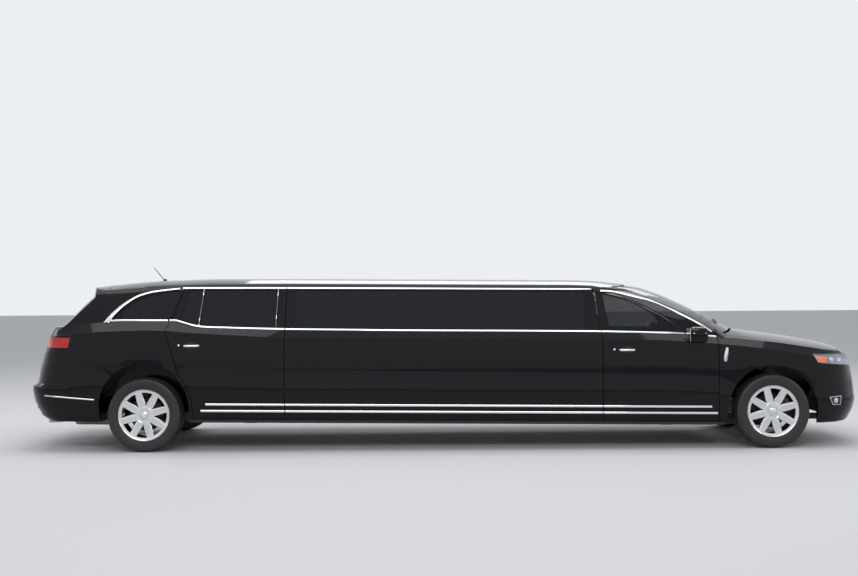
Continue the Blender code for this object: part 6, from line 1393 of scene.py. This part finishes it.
@dataclass
class Cabin:
    """Seats, bar, dash fittings, door cards, headliner and carpets."""

    # front seats: name, three lengths, x, z, turn in degrees, seams and the axis that they divide
    front_y: float = 0.40
    seat_parts: tuple[tuple[str, Point, float, float, float, int, int], ...] = (
        ("front_cushion", (0.53, 0.50, 0.20), 1.965, 0.575, -5, 3, 1),
        ("front_back", (0.155, 0.49, 0.64), 1.712, 0.895, -9, 3, 1),
        ("headrest", (0.095, 0.27, 0.17), 1.667, 1.262, -9, 1, 0))
    seat_base: tuple[float, float, float] = (0.50, 0.42, 0.17)
    seat_base_at: tuple[float, float] = (1.945, 0.10)
    seat_base_rounding: float = 0.02
    post: tuple[float, float, float] = (0.012, 0.012, 0.10)
    post_at: tuple[float, float] = (1.676, 1.18)
    post_half_gap: float = 0.055
    post_rounding: float = 0.004
    # side bench: name, width, height, y and z of the soft parts of each place
    bench_rear: float = -2.10
    bench_front: float = 1.375
    bench_parts: int = 6
    bench_gap: float = 0.004
    bench_soft: tuple[tuple[str, float, float, float, float], ...] = (
        ("bench_cushion", 0.345, 0.16, 0.428, 0.678), ("bench_back", 0.115, 0.36, 0.652, 0.925))
    plinth: tuple[float, float] = (0.43, 0.225)
    plinth_at: tuple[float, float] = (0.49, 0.485)
    plinth_rounding: float = 0.012
    # rear bench: name, three lengths, x, z and turn in degrees of the soft parts of each place
    rear_soft: tuple[tuple[str, Point, float, float, float], ...] = (
        ("rear_bench_cushion", (0.50, 0.585, 0.17), -2.36, 0.69, 0),
        ("rear_bench_back", (0.14, 0.585, 0.44), -2.665, 0.995, -8))
    rear_spacing: float = 0.595
    rear_plinth: tuple[float, float, float] = (0.62, 1.17, 0.215)
    rear_plinth_at: tuple[float, float, float] = (-2.43, 0.0, 0.497)
    seams: int = 3
    # bar: the counter's middle, its rail and its fittings
    bar_x: float = 0.05
    bar_y: float = -0.56
    glass_rows: tuple[tuple[tuple[float, float, float], float], ...] = (
        ((0.026, 0.019, 0.110), 1.052), ((0.012, 0.030, 0.004), 0.995))
    glass_count: int = 22
    glass_row_length: float = 2.1
    glass_row_gap: float = 0.10
    rail_y: float = -0.425
    rail_ends: tuple[float, float] = (-1.24, 1.34)
    rail_height: float = 1.055
    rail_radius: float = 0.008
    foot: tuple[float, float, float] = (0.010, 0.010, 0.070)
    foot_height: float = 1.021
    foot_count: int = 8
    foot_row_length: float = 2.5
    decanter_places: tuple[float, ...] = (-1.12, -1.00, 1.22)
    decanter_height: float = 0.982
    decanter_profile: Line = (
        (0.0001, 0.0), (0.040, 0.0), (0.042, 0.01), (0.042, 0.12), (0.030, 0.15), (0.014, 0.17),
        (0.013, 0.21), (0.020, 0.215), (0.020, 0.235), (0.0001, 0.24))
    # dash: name, three lengths, rounding, place, turn in degrees and finish
    dash_parts: tuple[tuple[str, Point, float, Point, float, Finish], ...] = (
        ("instrument_hood", (0.17, 0.36, 0.085), 0.028, (2.445, 0.40, 1.048), 0, PLASTIC),
        ("instrument_glass", (0.010, 0.30, 0.070), 0.004, (2.357, 0.40, 1.046), 0, SCREEN),
        ("centre_display", (0.016, 0.24, 0.14), 0.004, (2.310, 0.0, 0.885), 20, SCREEN))
    vent_places: tuple[float, ...] = (-0.56, -0.20, 0.20, 0.60)
    vent_at: tuple[float, float] = (2.306, 0.945)
    vent_slats: int = 5
    vent_height: float = 0.052
    slat: tuple[float, float, float] = (0.003, 0.105, 0.012)
    # steering wheel: its centre and turn, and its pad and stalks from there
    wheel_at: tuple[float, float, float] = (2.144, 0.40, 0.985)
    wheel_turn: float = math.radians(25)
    pad: tuple[float, float, float] = (0.045, 0.13, 0.12)
    pad_at: tuple[float, float, float] = (-0.012, 0.0, -0.005)
    pad_rounding: float = 0.020
    stalk: tuple[float, float, float] = (0.016, 0.10, 0.016)
    stalk_at: tuple[float, float] = (0.075, 0.085)
    stalk_rounding: float = 0.006
    # door cards: which door, rear x, front x, lower z and upper z
    cards: tuple[tuple[str, float, float, float, float], ...] = (
        ("front", 1.70, 2.44, 0.42, 1.06), ("rear", -2.26, -1.68, 0.52, 1.12))
    card_columns: int = 14
    card_rows: int = 9
    card_seams: tuple[int, int] = (3, 7)
    card_seam: float = 0.004
    card_rim: float = 0.006
    card_thickness: float = 0.016
    card_gap: float = 0.001
    card_y: float = 0.78  # where the door is open behind it
    # armrest and pull: lengths, rounding and shift from the point of that row in the card's middle
    rest_row: int = 6
    rest_share: float = 0.62
    rest: tuple[float, float] = (0.040, 0.050)
    rest_shift: tuple[float, float] = (0.014, 0.02)
    rest_rounding: float = 0.014
    pull: tuple[float, float, float] = (0.11, 0.010, 0.018)
    pull_share: float = 0.28
    pull_shift: tuple[float, float] = (0.004, -0.075)
    pull_rounding: float = 0.004
    # headliner: name, rear x, front x and steps; carpets: name, rear x, front x, right y and left y
    liners: tuple[tuple[str, float, float, int], ...] = (
        ("headliner_rear", -2.55, 1.34, 24), ("headliner_front", 1.46, 1.98, 8))
    liner_columns: int = 13
    liner_half: float = 0.54
    liner_thickness: float = 0.008
    liner_gap: float = 0.006
    liner_ray_from: float = 1.36
    liner_height: float = 1.62  # where there is no roof above it
    carpets: tuple[tuple[str, float, float, float, float], ...] = (
        ("carpet_aisle", -2.05, 1.37, -0.38, 0.245), ("carpet_front", 1.45, 2.20, -0.62, 0.62))
    carpet_height: float = 0.3475
    carpet_thickness: float = 0.013
    carpet_rounding: float = 0.005

    def build(self) -> None:
        """Builds the cabin's fittings."""
        self.front_seats()
        self.bench()
        self.bar()
        self.dash()
        self.linings()
        for side in Side:
            for card in self.cards:
                self.door_card(side, *card)

    def front_seats(self) -> None:
        """Builds the two padded front seats in place of their packed blocks."""
        for side in Side:
            y = side.value * self.front_y
            word = side.word
            low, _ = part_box(f"front_seat_{word}")
            soft = [Cushion(f"{name}_{word}", size, placed((x, y, z), math.radians(turn)), seams,
                            along).build(LEATHER)
                    for name, size, x, z, turn, seams, along in self.seat_parts]
            base = rounded_box(self.seat_base, self.seat_base_rounding,
                               placed((self.seat_base_at[0], y, low.z + self.seat_base_at[1])))
            posts = [rounded_box(self.post, self.post_rounding,
                                 placed((self.post_at[0], y + s * self.post_half_gap, self.post_at[1])))
                     for s in (-1, 1)]
            from_shape(f"front_seat_base_{word}", base, PLASTIC, "body")
            from_shape(f"headrest_posts_{word}", merged(*posts), CHROME, "body")
            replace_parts(soft[0], f"front_seat_{word}")

    def bench(self) -> None:
        """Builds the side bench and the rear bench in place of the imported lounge."""
        length = self.bench_front - self.bench_rear
        span = length / self.bench_parts
        soft = []
        for k in range(self.bench_parts):
            x = self.bench_rear + span * (k + 0.5)
            soft += [Cushion(f"{name}_{k}", (span - self.bench_gap, wide, tall), placed((x, y, z)),
                             self.seams, 0).build(LEATHER) for name, wide, tall, y, z in self.bench_soft]
        plinth = rounded_box((length, *self.plinth), self.plinth_rounding,
                             placed(((self.bench_front + self.bench_rear) / 2, *self.plinth_at)))
        from_shape("bench_plinth", plinth, WOOD, "body")
        for k in range(2):
            y = (k - 0.5) * self.rear_spacing
            for name, size, x, z, turn in self.rear_soft:
                place = placed((x, y, z), math.radians(turn))
                Cushion(f"{name}_{k}", size, place, self.seams, 1).build(LEATHER)
        rear = rounded_box(self.rear_plinth, self.plinth_rounding, placed(self.rear_plinth_at))
        from_shape("rear_bench_plinth", rear, WOOD, "body")
        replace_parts(soft[0], "lounge_seat")

    def bar(self) -> None:
        """Puts glasses, a rail and decanters on the bar."""
        tree, keys = row_tree("row_of_glasses", False)
        for number, (size, height) in enumerate(self.glass_rows):
            values = {keys["Along Count"]: self.glass_count, keys["Across Count"]: 2,
                      keys["Along"]: self.glass_row_length, keys["Across"]: self.glass_row_gap,
                      keys["Size"]: size, keys["Finish"]: CRYSTAL.material()}
            place = placed((self.bar_x, self.bar_y, lean(self.bar_x, height)), RAKE)
            realised(f"bar_glasses_{number}", tree, values, place, CRYSTAL, "body")
        path = [Vector((x, self.rail_y, lean(x, self.rail_height))) for x in self.rail_ends]
        ring = oval(self.rail_radius, self.rail_radius, 12)
        piece("bar_rail", *swept(path, [Vector((0, 0, 1))] * 2, ring), CHROME, "body")
        feet, keys = row_tree("row_of_rail_feet", True)
        values = {keys["Along Count"]: self.foot_count, keys["Across Count"]: 1,
                  keys["Along"]: self.foot_row_length, keys["Across"]: 0.0, keys["Size"]: self.foot,
                  keys["Finish"]: CHROME.material()}
        place = placed((self.bar_x, self.rail_y, lean(self.bar_x, self.foot_height)), RAKE)
        realised("bar_rail_feet", feet, values, place, CHROME, "body")
        for k, x in enumerate(self.decanter_places):
            place = placed((x, self.bar_y, lean(x, self.decanter_height)), math.radians(90), "X")
            piece(f"bar_decanter_{k}", *lathed(self.decanter_profile, 28, place), CRYSTAL, "body")

    def dash(self) -> None:
        """Puts the instrument hood, display, vents and wheel pad at the driver's place."""
        for name, size, rounding, at, turn, finish in self.dash_parts:
            from_shape(name, rounded_box(size, rounding, placed(at, math.radians(turn))), finish, "body")
        tree, keys = row_tree("row_of_slats", True)
        x, z = self.vent_at
        for k, y in enumerate(self.vent_places):
            values = {keys["Along Count"]: self.vent_slats, keys["Across Count"]: 1,
                      keys["Along"]: self.vent_height, keys["Across"]: 0.0, keys["Size"]: self.slat,
                      keys["Finish"]: PLASTIC.material()}
            realised(f"vent_{k}", tree, values, placed((x, y, z), math.radians(90)), PLASTIC, "body")
        place = placed(self.wheel_at, self.wheel_turn)
        pad = rounded_box(self.pad, self.pad_rounding, place @ Matrix.Translation(self.pad_at))
        from_shape("steering_pad", pad, PLASTIC, "body")
        x, y = self.stalk_at
        stalks = [rounded_box(self.stalk, self.stalk_rounding,
                              place @ Matrix.Translation((x, s * y, 0.0))) for s in (-1, 1)]
        from_shape("steering_stalks", merged(*stalks), PLASTIC, "body")

    def door_card(self, side: Side, end: str, low: float, high: float, base: float, top: float) -> None:
        """Lines the inside of a door with a stitched panel, an armrest and a pull.

        Args:
            side: Which side.
            end: Which door of the side, front or rear.
            low: The panel's rear x.
            high: Its front x.
            base: Its lower z.
            top: Its upper z.
        """
        name = f"{end}_door_{side.word}"
        door = Skin([name])
        across, up = self.card_columns, self.card_rows
        outer, inner = [], []
        for i in range(across + 1):
            for k in range(up + 1):
                x, z = low + (high - low) * i / across, base + (top - base) * k / up
                hit = door.cast((x, 0.0, z), (0, side.value, 0))
                y = hit[0].y if hit else side.value * self.card_y
                seam = self.card_seam if k in self.card_seams else 0.0
                rim = self.card_rim if i in (0, across) or k in (0, up) else 0.0
                outer.append(Vector((x, y - side.value * self.card_gap, z)))
                inner.append(Vector((x, y - side.value * (self.card_thickness - seam - rim), z)))
        piece(f"{end}_door_card_{side.word}", *slab(outer, inner, up + 1), LEATHER, name, 50.0)
        middle = inner[(across // 2) * (up + 1) + self.rest_row]
        inwards, down = self.rest_shift
        rest = rounded_box(((high - low) * self.rest_share, *self.rest), self.rest_rounding,
                           placed(middle - Vector((0.0, side.value * inwards, down))))
        from_shape(f"{end}_armrest_{side.word}", rest, LEATHER, name)
        inwards, down = self.pull_shift
        pull = rounded_box(self.pull, self.pull_rounding,
                           placed(middle - Vector((-(high - low) * self.pull_share, side.value * inwards,
                                                   down))))
        from_shape(f"{end}_inner_pull_{side.word}", pull, CHROME, name)

    def linings(self) -> None:
        """Lays the headliner under the roof and the carpet on the floor."""
        roof = Skin([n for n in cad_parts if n.startswith(("roof", "windshield_frame", "side_panel"))])
        columns, wide = self.liner_columns, 2 * self.liner_half
        for name, low, high, steps in self.liners:
            points = []
            for i in range(steps + 1):
                x = low + (high - low) * i / steps
                for k in range(columns):
                    y = -self.liner_half + wide * k / (columns - 1)
                    hit = roof.cast((x, y, self.liner_ray_from), (0, 0, 1))
                    z = hit[0].z if hit else lean(x, self.liner_height)
                    points.append(Vector((x, y, z - self.liner_gap)))
            under = [p - Vector((0, 0, self.liner_thickness)) for p in points]
            piece(name, *slab(points, under, columns), HEADLINER, "body")
        for name, low, high, near, far in self.carpets:
            middle = (low + high) / 2
            place = placed((middle, (near + far) / 2, lean(middle, self.carpet_height)), RAKE)
            carpet = rounded_box((high - low, far - near, self.carpet_thickness), self.carpet_rounding, place)
            from_shape(name, carpet, CARPET, "body")


@dataclass
class Ends:
    """Details of the nose and the tail: bars, plates, wipers, exhaust tip and reflectors."""

    # bars: name, end, height, half length, half thickness, finish and body
    bars: tuple[tuple[str, int, float, float, float, Finish, str], ...] = (
        ("liftgate_handle", -1, 0.985, 0.42, 0.018, CHROME, "liftgate"),
        ("lower_intake_slot", 1, 0.375, 0.40, 0.030, LAMP_DARK, "body"))
    bar_steps: int = 24
    bar_sunk: float = 0.003
    bar_out: float = 0.008
    bar_face_share: float = 0.8
    plate_thick: float = 0.006
    plate_stand: float = 0.0015
    plate_rounding: float = 0.003
    plate_width: float = 0.305
    plate_probe: float = 0.14
    # name, end, height and tall side of each plate
    plates: tuple[tuple[str, int, float, float], ...] = (
        ("front_plate", 1, 0.552, 0.110), ("rear_plate", -1, 0.86, 0.155))
    frame_wider: float = 0.014
    frame_taller: float = 0.012
    frame_stand: float = 0.0002
    frame_rounding: float = 0.0025
    reflector_near: float = 0.56
    reflector_length: float = 0.14
    reflector_height: float = 0.44
    reflector_steps: int = 8
    reflector_section: Line = ((-0.020, -0.002), (0.020, -0.002), (0.016, 0.005), (-0.016, 0.005))
    tip_profile: Line = (
        (0.036, -0.07), (0.040, -0.07), (0.041, 0.05), (0.0435, 0.056), (0.041, 0.060), (0.037, 0.055))
    wiper_feet: tuple[float, ...] = (0.05, 0.62)
    wiper_reach: tuple[float, float] = (0.10, 0.56)
    wiper_setback: float = 0.055
    wiper_lift: float = 0.012
    wiper_steps: int = 14
    wiper_ray_from: float = 3.0
    wiper_section: Line = ((-0.007, -0.011), (0.002, -0.011), (0.007, 0.006), (-0.007, 0.006))
    rear_wiper_start: tuple[float, float] = (0.02, 1.255)
    rear_wiper_reach: tuple[float, float] = (0.40, 0.03)
    rear_wiper_lift: float = 0.010
    rear_wiper_steps: int = 10
    rear_wiper_section: Line = ((-0.006, -0.009), (0.006, -0.009), (0.005, 0.004), (-0.005, 0.004))

    def build(self) -> None:
        """Builds the details of both ends."""
        for plate in self.plates:
            self.plate(*plate)
        for bar in self.bars:
            self.bar(*bar)
        for side in Side:
            self.reflector(side)
        self.tip()
        self.wipers()

    def on_end(self, end: int, y: float, z: float) -> Hit | None:
        """The surface seen along X from the nose (1) or the tail (-1)."""
        return SKIN.cast((end * BEYOND_ENDS, y, z), (-end, 0, 0))

    def plate(self, name: str, end: int, z: float, tall: float) -> None:
        """Puts a blank plate with its frame on one end.

        Args:
            name: Name of the plate.
            end: The nose (1) or the tail (-1).
            z: Height of its middle.
            tall: Its height.
        """
        hits = [self.on_end(end, y, z + dz) for y in (-self.plate_probe, 0.0, self.plate_probe)
                for dz in (-tall / 2, tall / 2)]
        reach = max(end * h[0].x for h in hits if h)
        body = "liftgate" if end < 0 else "body"
        face = rounded_box((self.plate_thick, self.plate_width, tall), self.plate_rounding,
                           placed((end * (reach + self.plate_stand), 0.0, z)))
        from_shape(name, face, PLATE, body)
        edge = rounded_box((self.plate_thick, self.plate_width + self.frame_wider, tall + self.frame_taller),
                           self.frame_rounding, placed((end * (reach + self.frame_stand), 0.0, z)))
        from_shape(f"{name}_frame", edge, PLASTIC, body)

    def lay(self, name: str, hits: Iterable[Hit | None], section: Line, finish: Finish, body: str,
            out: Point | None = None, lift: float = 0.0) -> None:
        """Lays a bar along the places that rays hit.

        Args:
            name: Name of the bar.
            hits: The rays' places and normals.
            section: The bar's closed section.
            finish: Its finish.
            body: The body it moves with.
            out: One direction away from the surface, where it isn't each place's own.
            lift: How far it stands off the surface.
        """
        path, normals = laid(hits, lift)
        if out:
            normals = [Vector(out)] * len(path)
        if len(path) > 2:
            piece(name, *swept(path, normals, section), finish, body)

    def bar(self, name: str, end: int, z: float, half: float, thick: float, finish: Finish,
            body: str) -> None:
        """Lays a bar across one end.

        Args:
            name: Name of the bar.
            end: The nose (1) or the tail (-1).
            z: Its height.
            half: Its half length.
            thick: Half of its tall side.
            finish: Its finish.
            body: The body it moves with.
        """
        face = thick * self.bar_face_share
        section = [(-thick, -self.bar_sunk), (thick, -self.bar_sunk), (face, self.bar_out),
                   (-face, self.bar_out)]
        places = [-half + 2 * half * k / self.bar_steps for k in range(self.bar_steps + 1)]
        self.lay(name, (self.on_end(end, y, z) for y in places), section, finish, body, (end, 0, 0))

    def reflector(self, side: Side) -> None:
        """Puts a red reflector low on the rear bumper.

        Args:
            side: Which side.
        """
        places = [side.value * (self.reflector_near + self.reflector_length * k / self.reflector_steps)
                  for k in range(self.reflector_steps + 1)]
        self.lay(f"rear_reflector_{side.word}", (self.on_end(-1, y, self.reflector_height) for y in places),
                 self.reflector_section, RED, "body", (-1, 0, 0))

    def tip(self) -> None:
        """Puts a bright tip on the end of the exhaust pipe."""
        low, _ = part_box("exhaust")
        ends = [v.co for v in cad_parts["exhaust"].data.vertices if v.co.x < low.x + 0.01]
        place = placed(sum(ends, Vector()) / len(ends), math.radians(90), "Z")
        piece("exhaust_tip", *lathed(self.tip_profile, 36, place), CHROME, "body")

    def wipers(self) -> None:
        """Lays two wipers at the foot of the windshield and one on the liftgate's glass."""
        screen = Skin(["windshield"])
        _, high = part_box("windshield")
        back, across = self.wiper_reach
        for number, y in enumerate(self.wiper_feet):
            hits = [screen.cast((high.x - self.wiper_setback - back * t, y - across * t,
                                 self.wiper_ray_from), (0, 0, -1))
                    for t in (k / self.wiper_steps for k in range(self.wiper_steps + 1))]
            self.lay(f"wiper_{number}", hits, self.wiper_section, PLASTIC, "body", lift=self.wiper_lift)
        rear = Skin(["liftgate_glass"])
        (y, z), (across, up) = self.rear_wiper_start, self.rear_wiper_reach
        steps = self.rear_wiper_steps
        hits = [rear.cast((-BEYOND_ENDS, y + across * k / steps, z + up * k / steps), (1, 0, 0))
                for k in range(steps + 1)]
        self.lay("rear_wiper", hits, self.rear_wiper_section, PLASTIC, "liftgate",
                 lift=self.rear_wiper_lift)


@dataclass
class Studio:
    """The camera, the pale floor, the soft lamps and the world."""

    lens: float = 46.2
    sensor_width: float = 36.0
    view_reach: float = 200.0
    camera_at: tuple[float, float, float] = (-0.1585, -11.945, 1.625)
    camera_roll: float = math.radians(-0.39)
    floor_half: float = 60
    floor_height: float = -0.001
    floor_finish: Finish = Finish("studio_floor", "clear_lamp", (0.72, 0.72, 0.73), 0.8, mottle=0.02,
                                  scale=3.0, relief=0.02)
    # name, place, target, two side lengths and watts
    lamps: tuple[tuple[str, Point, Point, tuple[float, float], float], ...] = (
        ("overhead", (0.0, -0.5, 7.0), (0.0, 0.0, 0.5), (12.0, 4.0), 300.0),
        ("side_right", (-1.0, -10.0, 7.0), (0.0, 0.0, 0.6), (10.0, 2.0), 260.0),
        ("side_left", (1.0, 10.0, 6.0), (0.0, 0.0, 0.6), (10.0, 2.5), 220.0),
        ("nose", (11.0, -2.0, 5.0), (3.5, 0.0, 0.7), (3.0, 3.0), 90.0),
        ("tail", (-11.0, 2.0, 5.0), (-3.5, 0.0, 0.7), (3.0, 3.0), 90.0))
    lit: Colour = (0.80, 0.83, 0.88)
    lit_strength: float = 0.55
    seen: Colour = (0.84, 0.86, 0.89)

    def build(self) -> None:
        """Sets up the studio."""
        bpy.context.scene.view_settings.view_transform = "Standard"
        self.camera()
        self.floor()
        for lamp in self.lamps:
            self.lamp(*lamp)
        self.world()

    def camera(self) -> None:
        """Sets the camera where the photograph was taken from."""
        scene = bpy.context.scene
        data = bpy.data.cameras.new("camera")
        data.lens = self.lens
        data.sensor_width = self.sensor_width
        data.clip_end = self.view_reach
        camera = bpy.data.objects.new("camera", data)
        scene.collection.objects.link(camera)
        camera.location = self.camera_at
        camera.matrix_world = (placed(camera.location, math.radians(90), "X")
                               @ Matrix.Rotation(self.camera_roll, 4, "Z"))
        scene.camera = camera

    def floor(self) -> None:
        """Lays the pale floor."""
        half, z = self.floor_half, self.floor_height
        mesh = bpy.data.meshes.new("floor")
        mesh.from_pydata([(-half, -half, z), (half, -half, z), (half, half, z), (-half, half, z)], [],
                         [[0, 1, 2, 3]])
        floor = bpy.data.objects.new("floor", mesh)
        bpy.context.scene.collection.objects.link(floor)
        mesh.materials.append(self.floor_finish.material())

    def lamp(self, name: str, place: Point, target: Point, size: tuple[float, float], power: float) -> None:
        """Hangs one soft lamp.

        Args:
            name: Name of the lamp.
            place: Where it hangs.
            target: Where it points.
            size: Its two side lengths.
            power: Its power in watts.
        """
        light = bpy.data.lights.new(name, "AREA")
        light.shape = "RECTANGLE"
        light.size, light.size_y = size
        light.energy = power
        lamp = bpy.data.objects.new(name, light)
        bpy.context.scene.collection.objects.link(lamp)
        aim = Vector(target) - Vector(place)
        lamp.matrix_world = Matrix.Translation(place) @ aim.to_track_quat("-Z", "Y").to_matrix().to_4x4()

    def world(self) -> None:
        """Makes the world light the car softly, and show pale to the camera, in gloss and through glass."""
        world = bpy.data.worlds.new("studio")
        bpy.context.scene.world = world
        world.use_nodes = True
        tree = world.node_tree
        tree.nodes.clear()
        paths = add(tree, "ShaderNodeLightPath").outputs
        through = add(tree, "ShaderNodeMath", {0: paths["Is Glossy Ray"], 1: paths["Is Transmission Ray"]},
                      operation="MAXIMUM")
        seen = add(tree, "ShaderNodeMath", {0: through.outputs[0], 1: paths["Is Camera Ray"]},
                   operation="MAXIMUM")
        plain = add(tree, "ShaderNodeBackground", {"Color": (*self.lit, 1.0), "Strength": self.lit_strength})
        view = add(tree, "ShaderNodeBackground", {"Color": (*self.seen, 1.0), "Strength": 1.0})
        mix = add(tree, "ShaderNodeMixShader", {0: seen.outputs[0], 1: plain.outputs[0], 2: view.outputs[0]})
        add(tree, "ShaderNodeOutputWorld", {"Surface": mix.outputs[0]})


def main() -> None:
    """Builds every part of the car's looks in order."""
    logging.basicConfig(level=logging.INFO, format="%(message)s")
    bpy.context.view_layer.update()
    for part in (Bodywork(), SideTrim(), Wheels(), Lamps(), Cabin(), Ends(), Studio()):
        part.build()
        LOG.info("built %s", type(part).__name__)


if __name__ == "__main__":
    main()
